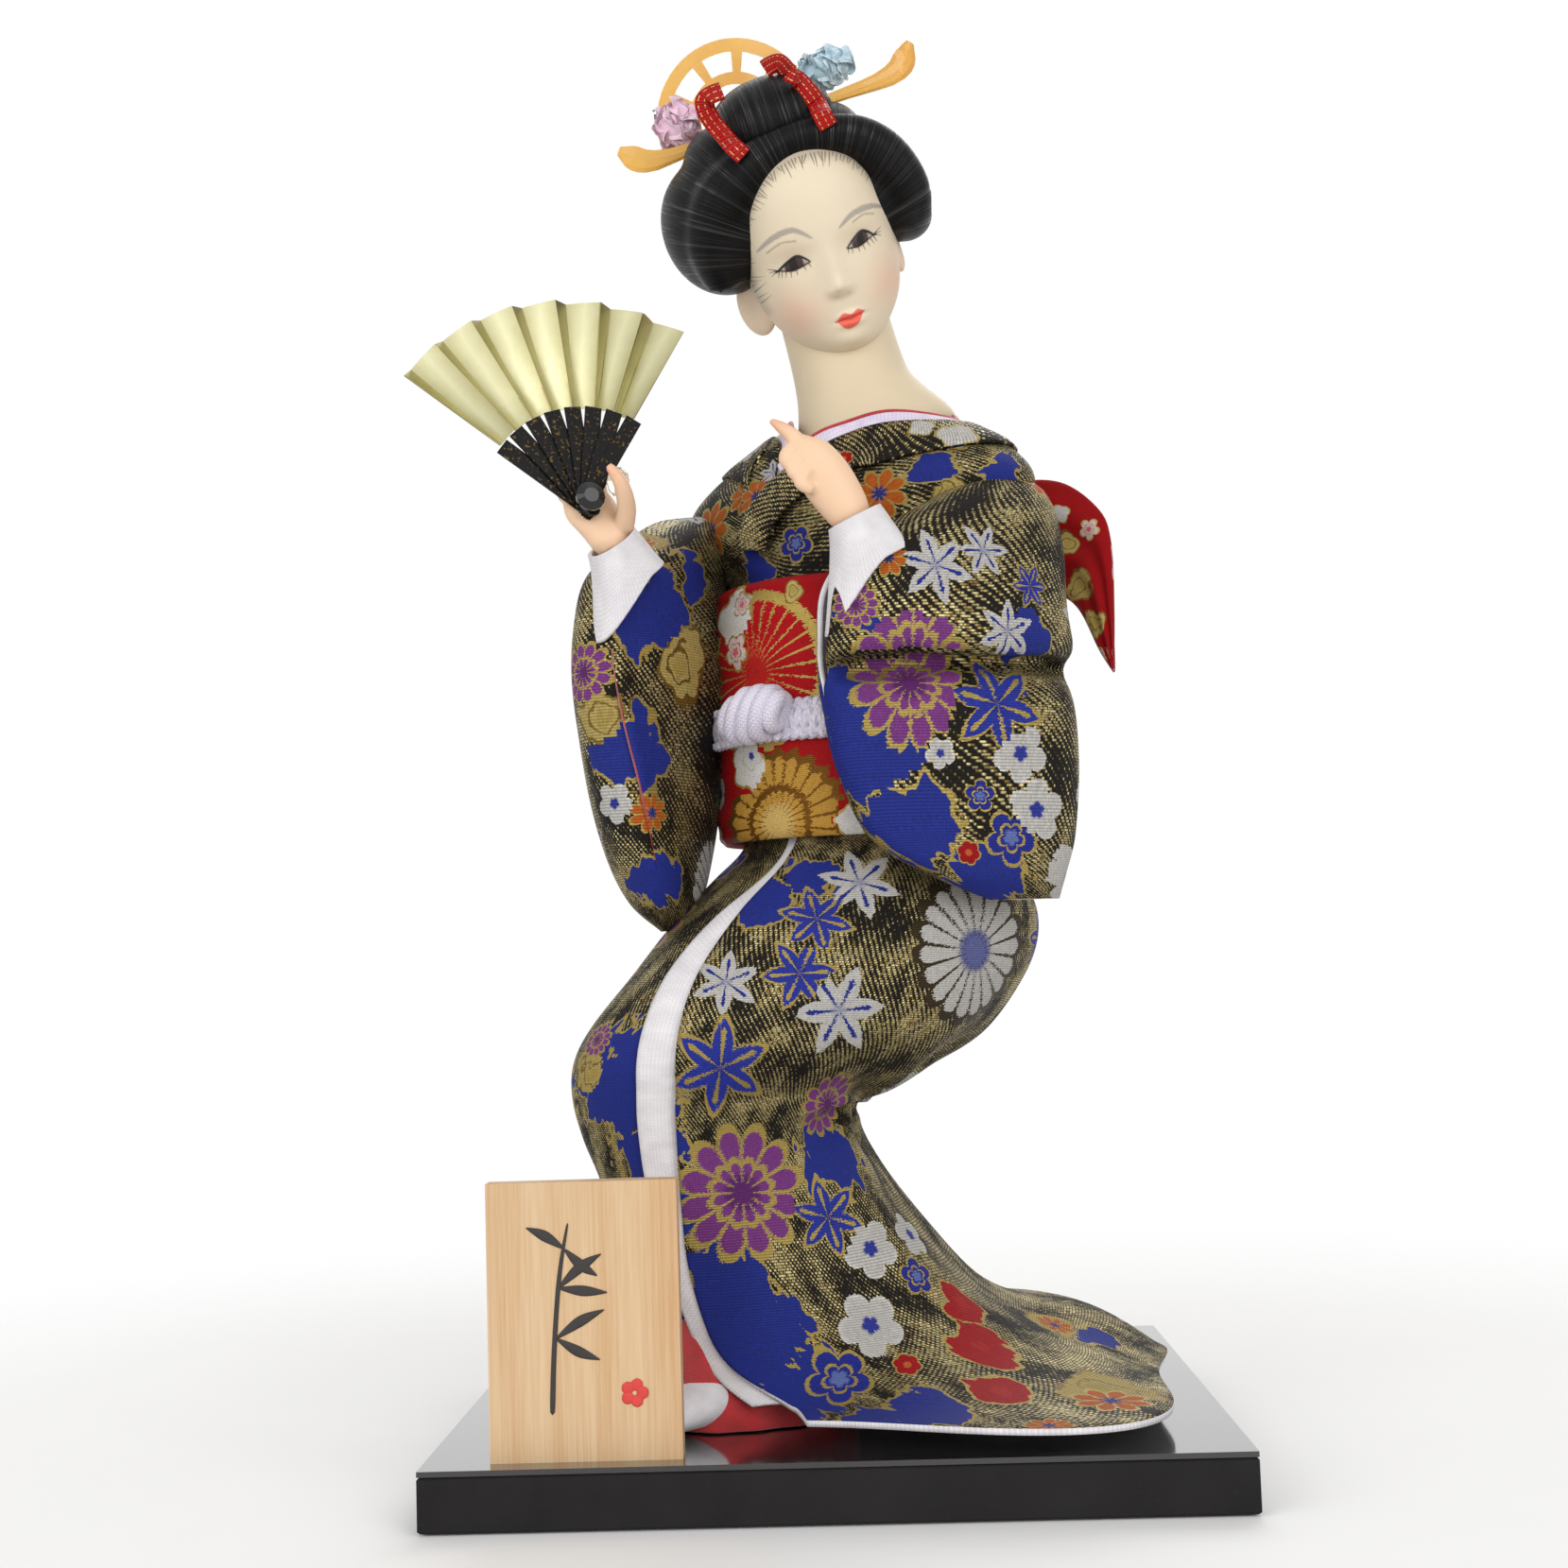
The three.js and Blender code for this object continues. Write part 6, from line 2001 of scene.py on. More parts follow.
@dataclass
class Sleeve:
    """Long sleeve: a flat bag of cloth open at the wrist side, with its lining and cuff."""

    looks: Looks
    side: str
    levels: list[Station]
    open_at: float
    gap: float
    closed_below: float
    wrist: Point
    axis: Point
    cuff: tuple[float, float, float]
    lining: Material
    pattern: list[Placed]
    fold: float = 0.0
    hang: float = 8.0
    skew: float = 0.0
    edge_top: float = 184.0

    def surface(self, s: Array, t: Array) -> Array:
        """Outer side of the sleeve.

        Args:
            s: places round it, from 0 to 1.
            t: places along it, from 0 to 1.

        Returns:
            Places in millimetres.
        """
        rings = Rings(self.levels, 0.85)
        slot = self.gap * smooth(t, self.closed_below, self.closed_below + 0.16) * smooth(t, 1.0, 0.9)
        u = self.open_at + self.skew * (0.8 - t) + slot / 2.0 + s * (1.0 - slot)
        drape = 0.9 * np.sin(TAU * (3.0 * s + 0.8 * t)) * bell(t, 0.45, 0.3)
        front = smooth(-np.sin(TAU * u), -0.1, 0.5)
        sag = 0.5 + 0.025 * np.sin(TAU * (u - 0.6))
        crease = self.fold * (0.45 * bell(t, sag + 0.075, 0.06) - bell(t, sag, 0.028)) * front
        at_lip = 1.5 * bell(s, 0.0, 0.03) * smooth(-self.gap, 0.0, 0.005)
        lip = at_lip * smooth(t, 0.2, 0.4) * smooth(t, 1.0, 0.9)
        places = rings.offset(u, t, drape + crease + lip)
        middle = rings.at(np.zeros_like(t), t) * 0.5 + rings.at(np.full_like(t, 0.5), t) * 0.5
        shut = np.sqrt(np.clip(1.0 - np.clip((t - 0.93) / 0.07, 0.0, 1.0) ** 2, 0.0, 1.0))
        return middle + (places - middle) * shut[..., None]

    def build(self) -> None:
        """Sleeve and cuff."""
        f = self.looks.finishes
        cloth = Sheet(f"sleeve_cloth_{self.side}", 100, 90, self.surface, (120.0, 95.0))
        sleeve = cloth.build((f.robe, self.lining, self.lining), 1.1)
        for face in sleeve.data.polygons:
            if face.material_index == 2 and face.center.z > self.edge_top * MM:
                face.material_index = 0
        Decorator(self.looks.eye, self.pattern, SCATTER).dress(sleeve)
        self.looks.add(sleeve, "doll", "brocade", f"sleeve_{self.side}")
        length, low, high = self.cuff
        way = unit(np.array(self.axis))
        side = unit(np.cross(way, np.array([0.0, 1.0, 0.3])))
        up = np.cross(way, side)

        def flared(s: Array, t: Array) -> Array:
            """Under-sleeve round the wrist with two soft folds, wider and hanging towards the arm.

            Args:
                s: places round it, from 0 to 1.
                t: places along it, from 0 to 1.

            Returns:
                Places in millimetres.
            """
            angle = s * TAU
            ring = scaled(np.cos(angle), side) + scaled(np.sin(angle), up)
            wide = low + (high - low) * t + 0.25 * np.sin(5.0 * angle + 3.0 * t) * (1.0 - t)
            hang = self.hang * (1.0 - t) ** 1.5 * smooth(-ring[..., 2], 0.0, 0.9)
            centre = np.array(self.wrist) + scaled((t - 1.0) * length, way)
            return centre + ring * wide[..., None] + scaled(hang, np.array([-0.34, -0.06, -1.0]))

        cuff = Sheet(f"cuff_cloth_{self.side}", 96, 28, flared, (40.0, length)).build((f.white,), 0.8)
        self.looks.add(cuff, "doll", "white_cloth", f"cuff_{self.side}")


def sleeves(looks: Looks) -> list[Sleeve]:
    """The doll's left and right sleeves.

    Args:
        looks: finishes, camera and list of pieces.

    Returns:
        The two sleeves.
    """
    f = looks.finishes
    left = stations(
        (111, 41, -25, 8, 0.8, 0.8, 25), (116, 36, -26, 15, 5, 5, 25),
        (124, 31.5, -25.5, 22.5, 7, 7, 23),
        (138, 29.5, -25, 26.5, 9, 9, 23), (150, 28.5, -25, 27.5, 10, 10, 23),
        (157, 27.5, -25, 27.5, 8, 10, 24),
        (163, 27, -25.5, 27.5, 11.5, 11, 25), (174, 27.5, -25, 27, 13, 12, 26),
        (184, 31, -22.5, 23, 12.5, 11.5, 28),
        (192, 36, -18, 16, 11, 10, 32), (200, 41, -14, 6, 6, 5, 34),
    )
    right = stations(
        (107, -31, -13, 5, 0.8, 0.8, 70), (113, -32, -12, 11, 6, 6, 70), (124, -33.5, -10, 17, 9, 9, 70),
        (140, -35, -8, 21, 12, 11.5, 70), (156, -35.5, -6, 23.5, 13, 12.5, 70),
        (170, -34.5, -4, 24.5, 12.5, 12, 70),
        (181, -32.5, -2, 24, 11, 10, 68), (190, -28, 5, 17, 9.5, 8.5, 66), (199, -23, 14, 7, 5, 4.5, 64),
    )
    left_pattern = (
        drifts(Motif.BLUE_CLOUD, (915, 790, 74), (965, 865, 62), (1045, 930, 56), (885, 735, 40))
        + drifts(Motif.BLUE_CLOUD, (1085, 690, 40), (905, 645, 30))
        + motifs(Motif.WHITE_MAPLE, (990, 598, 46), (1040, 582, 34), (1066, 668, 38))
        + motifs(Motif.BLUE_LEAF, (1055, 745, 62), (1090, 620, 30))
        + motifs(Motif.PURPLE_MUM, (962, 722, 70), (905, 640, 28))
        + motifs(Motif.WHITE_PLUM, (1080, 797, 34), (1097, 857, 36), (995, 797, 18))
        + motifs(Motif.BLUE_PLUM, (1070, 886, 34), (1037, 842, 20))
        + motifs(Motif.RED_DOT, (1025, 902, 15))
        + motifs(Motif.ORANGE_FLOWER, (940, 590, 24))
    )
    right_pattern = (
        drifts(Motif.BLUE_CLOUD, (690, 645, 66), (672, 790, 54), (735, 610, 40), (700, 930, 36))
        + drifts(Motif.GOLD_CLOUD, (680, 572, 30), (722, 705, 50), (640, 760, 36))
        + motifs(Motif.ORANGE_FLOWER, (677, 574, 22), (690, 860, 24))
        + motifs(Motif.PURPLE_MUM, (617, 712, 38))
        + motifs(Motif.WHITE_PLUM, (650, 850, 24))
    )
    return [
        Sleeve(
            looks, "left", left, open_at=0.5, gap=0.07, closed_below=0.42, wrist=(9.4, -36.8, 187.5),
            axis=(-0.42, -0.13, 0.9), cuff=(10.0, 7.6, 5.8), lining=f.white, pattern=left_pattern,
            fold=4.2, hang=24.0,
        ),
        Sleeve(
            looks, "right", right, open_at=0.5, gap=-0.01, closed_below=0.3, wrist=(-40.0, -28.3, 186.0),
            axis=(-0.46, -0.42, 0.78), cuff=(9.0, 7.0, 5.6), lining=f.satin, pattern=right_pattern,
            fold=0.0, hang=12.0, skew=0.16, edge_top=164.0,
        ),
    ]


@dataclass
class HeadFrame:
    """Place and directions of the head: x to its left, y to its back and z up, in millimetres."""

    centre: Point = (2.8, -3.0, 258.2)
    x: Point = (0.96, -0.005, 0.281)
    y: Point = (-0.101, 0.927, 0.36)
    z: Point = (-0.263, -0.374, 0.889)

    def out(self, local: Array) -> Array:
        """Places in the row frame from places in the head."""
        return np.array(self.centre) + np.asarray(local, float) @ np.array([self.x, self.y, self.z])

    def back(self, places: Array) -> Array:
        """Places in the head from places in the row frame."""
        inward = np.linalg.inv(np.array([self.x, self.y, self.z]))
        return (np.asarray(places, float) - np.array(self.centre)) @ inward

    def egg(self, centre: Point, radii: Point, steps: int = 5) -> Shell:
        """Ball in the head's own frame with a radius along each of its directions.

        Args:
            centre: middle in the head's own frame.
            radii: half sizes along its directions.
            steps: subdivisions of the icosphere.

        Returns:
            The mesh.
        """
        bm = ball((0, 0, 0), (1000, 1000, 1000), steps)
        ways = np.array([v.co for v in bm.verts])
        for vert, spot in zip(bm.verts, self.out(ways * np.array(radii) + np.array(centre)) * MM):
            vert.co = spot
        return bm


def near_line(places: Array, line: Sequence[tuple[float, float]]) -> tuple[Array, Array]:
    """Distance of flat places from a curve through points, and the share along it where they are nearest.

    Args:
        places: flat places.
        line: points of the curve.

    Returns:
        Distances, and shares from 0 to 1.
    """
    curve = spline(line, np.linspace(0.0, 1.0, 60))
    gaps = np.linalg.norm(places[:, None, :] - curve[None, :, :], axis=2)
    return gaps.min(axis=1), gaps.argmin(axis=1) / 59.0


@dataclass
class EyeMarks:
    """Corners and lid heights of one painted eye, in the head's own x and z."""

    name: str
    inner: tuple[float, float]
    outer: tuple[float, float]
    top: tuple[float, float]
    bottom: tuple[float, float]
    brow: Sequence[tuple[float, float]]
    crease: Sequence[tuple[float, float]]

    def upper(self) -> list[tuple[float, float]]:
        """Upper lid from the inner to the outer corner."""
        return [self.inner, self.top, self.outer]

    def lower(self) -> list[tuple[float, float]]:
        """Lower lid from the inner to the outer corner."""
        return [self.inner, self.bottom, self.outer]


EYES = (
    EyeMarks(
        "right",
        inner=(-3.9, -5.1),
        outer=(-10.6, -5.1),
        top=(-6.4, -3.2),
        bottom=(-7.7, -5.9),
        brow=((-13.7, -0.2), (-9.8, 1.7), (-5.6, 2.1), (-2.2, -0.6)),
        crease=((-11.8, -0.9), (-8.6, 0.2), (-5.6, -0.2)),
    ),
    EyeMarks(
        "left",
        inner=(4.3, -4.9),
        outer=(10.8, -4.1),
        top=(8.3, -2.5),
        bottom=(7.3, -5.3),
        brow=((3.9, -0.4), (7.6, 1.4), (11.8, 1.6), (15.4, 0.2)),
        crease=((7.1, -0.2), (9.8, 0.5), (12.2, -0.1)),
    ),
)
IVORY = srgb(228, 213, 186)
BLUSH = srgb(226, 158, 134)
LIP = srgb(236, 104, 84)
LIP_LINE = srgb(186, 54, 48)
BROW = srgb(160, 152, 143)
SHADE = srgb(126, 114, 100)
HEAD_LEVELS = (
    (-26.6, 0, -9.5, -9.5), (-25.5, 5.2, -14, -4.5), (-22.4, 9.6, -16.6, 2), (-17.8, 13.5, -17.6, 9),
    (-12, 15.8, -18.1, 14), (-5.2, 17, -18.5, 18), (2, 17.8, -18.6, 20), (9.5, 16.9, -17.4, 19.5),
    (16, 13.6, -13.6, 16), (20.4, 7.8, -7.5, 9.5), (22, 0, 0, 0),
)
HAIRLINE = (
    (-15.6, -13.0), (-16.9, -6.0), (-16.8, 0.0), (-15.4, 5.0), (-13.0, 9.2),
    (-9.0, 12.8), (-4.0, 15.2), (1.0, 15.9),
    (6.0, 15.2), (10.4, 12.6), (13.6, 8.8), (15.8, 3.4),
)


@dataclass
class Head:
    """Painted head and neck with ears, eyes and lashes."""

    looks: Looks
    place: HeadFrame = field(default_factory=HeadFrame)
    neck_radius: float = 12.0
    neck_foot: Point = (13.4, 6.0, 213.0)
    neck_way: Point = (-0.23, 0.01, 0.973)
    neck_bend: tuple[float, float] = (3.0, 18.0)

    def relief(self, x: Array, z: Array) -> Array:
        """How far the features of the face stand out, from places across and up it.

        Args:
            x: places across the face.
            z: places up the face.

        Returns:
            Distances in millimetres.
        """
        bridge = 1.1 * bell(x, 0.3, 2.2) * smooth(z, 1.0, -11.4) * smooth(z, -14.8, -11.8)
        tip = 1.0 * bell(x, 0.5, 1.9) * bell(z, -11.8, 1.8)
        wings = 0.4 * (bell(x, -1.6, 1.1) + bell(x, 2.6, 1.1)) * bell(z, -12.4, 1.2)
        sockets = -0.9 * (bell(x, -7.4, 4.6) + bell(x, 7.6, 4.6)) * bell(z, -4.4, 3.2)
        lips = (0.75 * bell(z, -18.0, 0.7) + 0.95 * bell(z, -19.9, 0.85)) * bell(x, 0.9, 2.3)
        groove = -0.4 * bell(z, -18.85, 0.3) * bell(x, 0.9, 2.8)
        chin = 0.9 * bell(x, 0.3, 4.2) * bell(z, -23.6, 2.0)
        cheeks = 0.6 * (bell(x, -9.4, 4.6) + bell(x, 9.8, 4.6)) * bell(z, -14.5, 4.6)
        return bridge + tip + wings + sockets + lips + groove + chin + cheeks

    def skull(self, share: Array, turn: Array) -> Array:
        """Surface of the head from a share up it and a turn round it, in the head's own millimetres.

        Args:
            share: shares up the head.
            turn: turns round the head.

        Returns:
            Places in the head's own frame.
        """
        z, half, front, back = np.moveaxis(spline(HEAD_LEVELS, share), -1, 0)
        x = half * np.cos(turn)
        y = (front + back) / 2.0 + (back - front) / 2.0 * np.sin(turn)
        return np.stack([x, y - self.relief(x, z) * smooth(-np.sin(turn), 0.25, 0.75), z], axis=-1)

    def face_depth(self, x: Array, z: Array) -> Array:
        """Depth of the face in front at places across and up it.

        Args:
            x: places across the face.
            z: places up the face.

        Returns:
            Depths in the head's own frame.
        """
        shares = np.linspace(0.0, 1.0, 400)
        share = np.interp(z, spline(HEAD_LEVELS, shares)[:, 0], shares)
        half = np.maximum(spline(HEAD_LEVELS, share)[..., 1], 0.1)
        return self.skull(share, -np.arccos(np.clip(x / half, -0.98, 0.98)))[..., 1]

    def colours(self, local: Array) -> Array:
        """Painted colour for each place on the head.

        Args:
            local: places in the head's own frame.

        Returns:
            One colour for each place.
        """
        flat = local[:, [0, 2]]
        across, up = flat[:, 0], flat[:, 1]
        front = local[:, 1] < -2.0
        paint = np.tile(np.array(IVORY), (len(local), 1))

        def lay(colour: Colour, share: Array) -> None:
            """Colour laid over the paint so far by a share for each place."""
            share = np.clip(np.where(front, share, 0.0), 0.0, 1.0)[:, None]
            paint[:] = paint * (1.0 - share) + np.array(colour) * share

        for x, z in ((-9.9, -15.4), (12.0, -14.4)):
            lay(BLUSH, 0.42 * np.exp(-((across - x) ** 2 + (up - z) ** 2) / 26.0))
        # Painted shade over each upper lid, in the eye socket below the brow.
        for x in (-7.2, 7.7):
            lay(srgb(206, 176, 148), 0.3 * np.exp(-(((across - x) / 4.6) ** 2 + ((up + 2.4) / 1.7) ** 2)))
        rim, _ = near_line(flat, HAIRLINE)
        lay(SHADE, 0.4 * smooth(rim, 2.4, 0.2))
        upper = [(-2.3, -18.75), (-0.5, -17.4), (1.2, -18.0), (2.8, -17.4), (3.9, -18.2)]
        line = [(-2.4, -18.8), (-0.6, -18.75), (0.8, -18.9), (2.4, -18.6), (4.0, -18.25)]
        lower = [(-2.1, -18.95), (-1.0, -20.5), (0.3, -20.95), (2.2, -20.3), (3.8, -18.5)]
        for high, low in ((upper, line), (line, lower)):
            top, foot = spline(high, np.linspace(0, 1, 40)), spline(low, np.linspace(0, 1, 40))
            edge_high = np.interp(across, top[:, 0], top[:, 1], left=-99, right=-99)
            edge_low = np.interp(across, foot[:, 0], foot[:, 1], left=99, right=99)
            lay(LIP, smooth(edge_high - up, -0.12, 0.12) * smooth(up - edge_low, -0.12, 0.12))
        lay(LIP_LINE, 0.85 * smooth(near_line(flat, line)[0], 0.3, 0.08))
        # Painted shade at the nostrils under the nose tip.
        for x in (-0.7, 1.9):
            lay(srgb(206, 164, 138), 0.4 * bell(across, x, 0.6) * bell(up, -13.7, 0.4))
        for eye in EYES:
            gap, share = near_line(flat, eye.brow)
            half = 0.1 + 0.5 * np.sin(math.pi * share) ** 0.8
            lay(BROW, 0.85 * smooth(gap, half + 0.16, half - 0.1))
            lay(srgb(150, 128, 108), 0.7 * smooth(near_line(flat, eye.crease)[0], 0.3, 0.06))
            lay(srgb(96, 80, 70), 0.55 * smooth(near_line(flat, eye.lower())[0], 0.36, 0.1))
        return np.concatenate([paint, np.ones((len(paint), 1))], axis=1)

    def warp(self, around: Array) -> Array:
        """Turn round the head for an even share of its columns, closer together over the face."""
        angle = around * TAU
        return 0.5 * math.pi + angle + 0.42 * np.sin(angle)

    def build(self) -> None:
        """Head, neck, ears, eyes and lashes."""
        f = self.looks.finishes

        def surface(s: Array, t: Array) -> Array:
            """Whole head: s round it and t up it."""
            return self.place.out(self.skull(t, self.warp(s)))

        head = Sheet("painted_head", 340, 250, surface, (110.0, 60.0)).build((f.face,))
        local = self.place.back(points_of(head.data))
        store(head.data, "paint", self.colours(local), "FLOAT_COLOR")
        self.looks.add(head, "head", "face", "head")
        self.neck()
        self.ears()
        self.hairline()
        for eye in EYES:
            self.eye(eye)
            self.lashes(eye)

    def lifted(self, line: Sequence[Sequence[float]], out: float) -> Array:
        """Flat places across and up the face raised onto it and moved out.

        Args:
            line: places across and up the face.
            out: distance from the face.

        Returns:
            Places in millimetres.
        """
        flat = np.array(line, float)
        depth = self.face_depth(flat[:, 0], flat[:, 1]) - out
        return self.place.out(np.stack([flat[:, 0], depth, flat[:, 1]], axis=-1))

    def hairline(self) -> None:
        """Fine painted strokes from the edge of the hair towards the face."""
        pick = np.random.default_rng(SEED)
        strokes = []
        for share in np.linspace(0.03, 0.97, 64):
            start = spline(HAIRLINE, np.array([share]))[0]
            inward = unit(np.array([0.5, -3.0]) - start) + pick.normal(size=2) * 0.22
            length = float(pick.uniform(1.6, 3.6)) * (1.0 if share < 0.75 else 0.55)
            path = self.lifted([start, start + inward * length * 0.5, start + inward * length], 0.03)
            strokes.append(Tube(path, (0.16, 0.11, 0.04), (0.07, 0.06, 0.03), tuple(self.place.x), 5, 8))
        shells = [stroke.sheet("stroke").bmesh() for stroke in strokes]
        made = merged("hairline_strokes", shells, (self.looks.finishes.wash,))
        self.looks.add(made, "head", "face")

    def skin(self, made: Piece, colour: Colour) -> Piece:
        """Even paint on a piece of skin.

        Args:
            made: the piece.
            colour: its paint.

        Returns:
            The same piece.
        """
        rows = np.tile(np.array([*colour, 1.0]), (len(made.data.vertices), 1))
        store(made.data, "paint", rows, "FLOAT_COLOR")
        return made

    def neck(self) -> None:
        """Neck that flares into the collar."""
        flare = (
            (1.0, -10), (1.22, -4), (1.3, 0), (1.24, 4), (1.13, 8.5),
            (1.05, 13), (1.0, 20), (0.97, 32), (0.9, 40), (0.7, 48),
        )
        foot = np.array(self.neck_foot)
        way = unit(np.array(self.neck_way))
        side = unit(np.cross(way, np.array([0.0, 1.0, 0.0])))
        front = np.cross(way, side)
        rows = [(radius * self.neck_radius, height) for radius, height in flare]

        def surface(s: Array, t: Array) -> Array:
            """Turned neck.

            Args:
                s: places round it, from 0 to 1.
                t: places along it, from 0 to 1.

            Returns:
                Places in millimetres.
            """
            radius, height = np.moveaxis(spline(rows, t), -1, 0)
            angle = s * TAU
            ring = scaled(radius * np.cos(angle), side) + scaled(radius * np.sin(angle), front)
            slope = 0.3 * smooth(height, 14.0, 2.0) * smooth(height, -8.0, 2.0)
            ring[..., 0] += slope * np.maximum(ring[..., 0], 0.0)
            ring[..., 1] -= 0.45 * smooth(height, 14.0, 2.0) * np.maximum(ring[..., 1], 0.0)
            return foot + scaled(height, way) + ring

        neck = Sheet("painted_neck", 64, 40, surface, (64.0, 37.0)).build((self.looks.finishes.face,))
        self.skin(neck, srgb(218, 201, 170))
        self.looks.made.append(neck.name)
        still, turned = (foot + height * way for height in self.neck_bend)
        tuple(still * MM)
        tuple(turned * MM)
        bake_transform(neck)
        LOG.info("%s: bends between doll and head", neck.name)

    def ears(self) -> None:
        """Two ears with a hollow in each, the nearer one standing out."""
        for name, sign, centre, radii, flare in (
            ("right", -1.0, (16.6, 2.0, -12.0), (2.2, 5.4, 6.6), 0.55),
            ("left", 1.0, (16.0, 0.0, -9.0), (1.7, 3.6, 5.6), 0.1),
        ):
            shell = ball((0, 0, 0), (1000, 1000, 1000), 5)
            ways = np.array([v.co for v in shell.verts])
            from_hollow = (ways[:, 1] + 0.1) ** 2 + (ways[:, 2] - 0.15) ** 2
            hollow = 1.1 * np.exp(-from_hollow / 0.2) * smooth(ways[:, 0] * sign, 0.0, 0.4)
            local = ways * np.array(radii)
            local[:, 0] += sign * (flare * local[:, 1] - hollow)
            local += np.array([sign * centre[0], centre[1], centre[2]])
            for vert, spot in zip(shell.verts, self.place.out(local) * MM):
                vert.co = spot
            ear = merged(f"ear_{name}", [shell], (self.looks.finishes.face,))
            self.looks.add(self.skin(ear, srgb(232, 208, 180)), "head", "face")

    def eye(self, marks: EyeMarks) -> None:
        """Glossy almond of the eye with grey corners and a dark middle.

        Args:
            marks: where the eye is on the face.
        """
        upper, lower = marks.upper(), marks.lower()

        def surface(s: Array, t: Array) -> Array:
            """Almond between the lids, bulged a little.

            Args:
                s: places across the sheet, from 0 to 1.
                t: places along the sheet, from 0 to 1.

            Returns:
                Places in millimetres.
            """
            high, low = spline(upper, s), spline(lower, s)
            flat = low + (high - low) * t[..., None]
            swell = 0.32 * np.sin(math.pi * s) * np.sin(math.pi * t) + 0.12
            depth = self.face_depth(flat[..., 0], flat[..., 1]) - swell
            return self.place.out(np.stack([flat[..., 0], depth, flat[..., 1]], axis=-1))

        made = Sheet(f"eye_glaze_{marks.name}", 48, 20, surface, (7.0, 3.0), keep_facing=True).build(
            (self.looks.finishes.eye,)
        )
        local = self.place.back(points_of(made.data))
        share = (local[:, 0] - marks.inner[0]) / (marks.outer[0] - marks.inner[0])
        iris = smooth(np.abs(share - 0.5), 0.34, 0.26)[:, None]
        pupil = smooth(np.abs(share - 0.52), 0.16, 0.08)[:, None]
        colour = np.array(srgb(176, 166, 156)) * (1.0 - iris) + np.array(srgb(70, 50, 46)) * iris
        colour = colour * (1.0 - pupil) + np.array(srgb(34, 22, 22)) * pupil
        store(made.data, "paint", np.concatenate([colour, np.ones_like(iris)], axis=1), "FLOAT_COLOR")
        self.looks.add(made, "head", "eye", f"eye_{marks.name}")

    def lashes(self, marks: EyeMarks) -> None:
        """Dark upper lid line with a wing, and fine lower lashes.

        Args:
            marks: where the eye is on the face.
        """
        sign = 1.0 if marks.outer[0] > 0.0 else -1.0
        wing = (marks.outer[0] + 0.9 * sign, marks.outer[1] - 0.25)
        arch = spline(marks.upper(), np.array([0.25, 0.5, 0.75]))
        lid = self.lifted([marks.inner, *arch, marks.outer, wing], 0.26)
        wide, deep = (0.12, 0.2, 0.24, 0.26, 0.22, 0.05), (0.1, 0.16, 0.18, 0.2, 0.16, 0.05)
        lines = [Tube(lid, wide, deep, self.place.z, 8, 50)]
        low = self.lifted(spline(marks.lower(), np.linspace(0.0, 1.0, 7)), 0.2)
        lines.append(Tube(low, (0.07, 0.1, 0.1, 0.07), (0.06, 0.08, 0.08, 0.06), self.place.z, 6, 30))
        for share in (0.08, 0.22, 0.42, 0.58, 0.72, 0.84, 0.95):
            start = spline(marks.lower(), np.array([share]))[0]
            end = start + np.array([1.1 * sign * (share - 0.35), -1.1 - 0.5 * share])
            lash = self.lifted([start, (start + end) / 2, end], 0.1)
            lines.append(Tube(lash, (0.06, 0.05, 0.02), (0.06, 0.05, 0.02), self.place.x, 5, 8))
        for share in (0.1, 0.55, 1.0):
            start = np.array(marks.outer) + np.array([0.3 * sign, 0.15])
            end = start + np.array([(2.0 - 0.5 * share) * sign, 1.0 - 2.1 * share])
            lash = self.lifted([start, (start + end) / 2, end], 0.1)
            lines.append(Tube(lash, (0.07, 0.05, 0.02), (0.07, 0.05, 0.02), self.place.z, 5, 8))
        shells = [line.sheet("line").bmesh() for line in lines]
        made = merged(f"lashes_{marks.name}", shells, (self.looks.finishes.lash,))
        self.looks.add(made, "head", "eye")


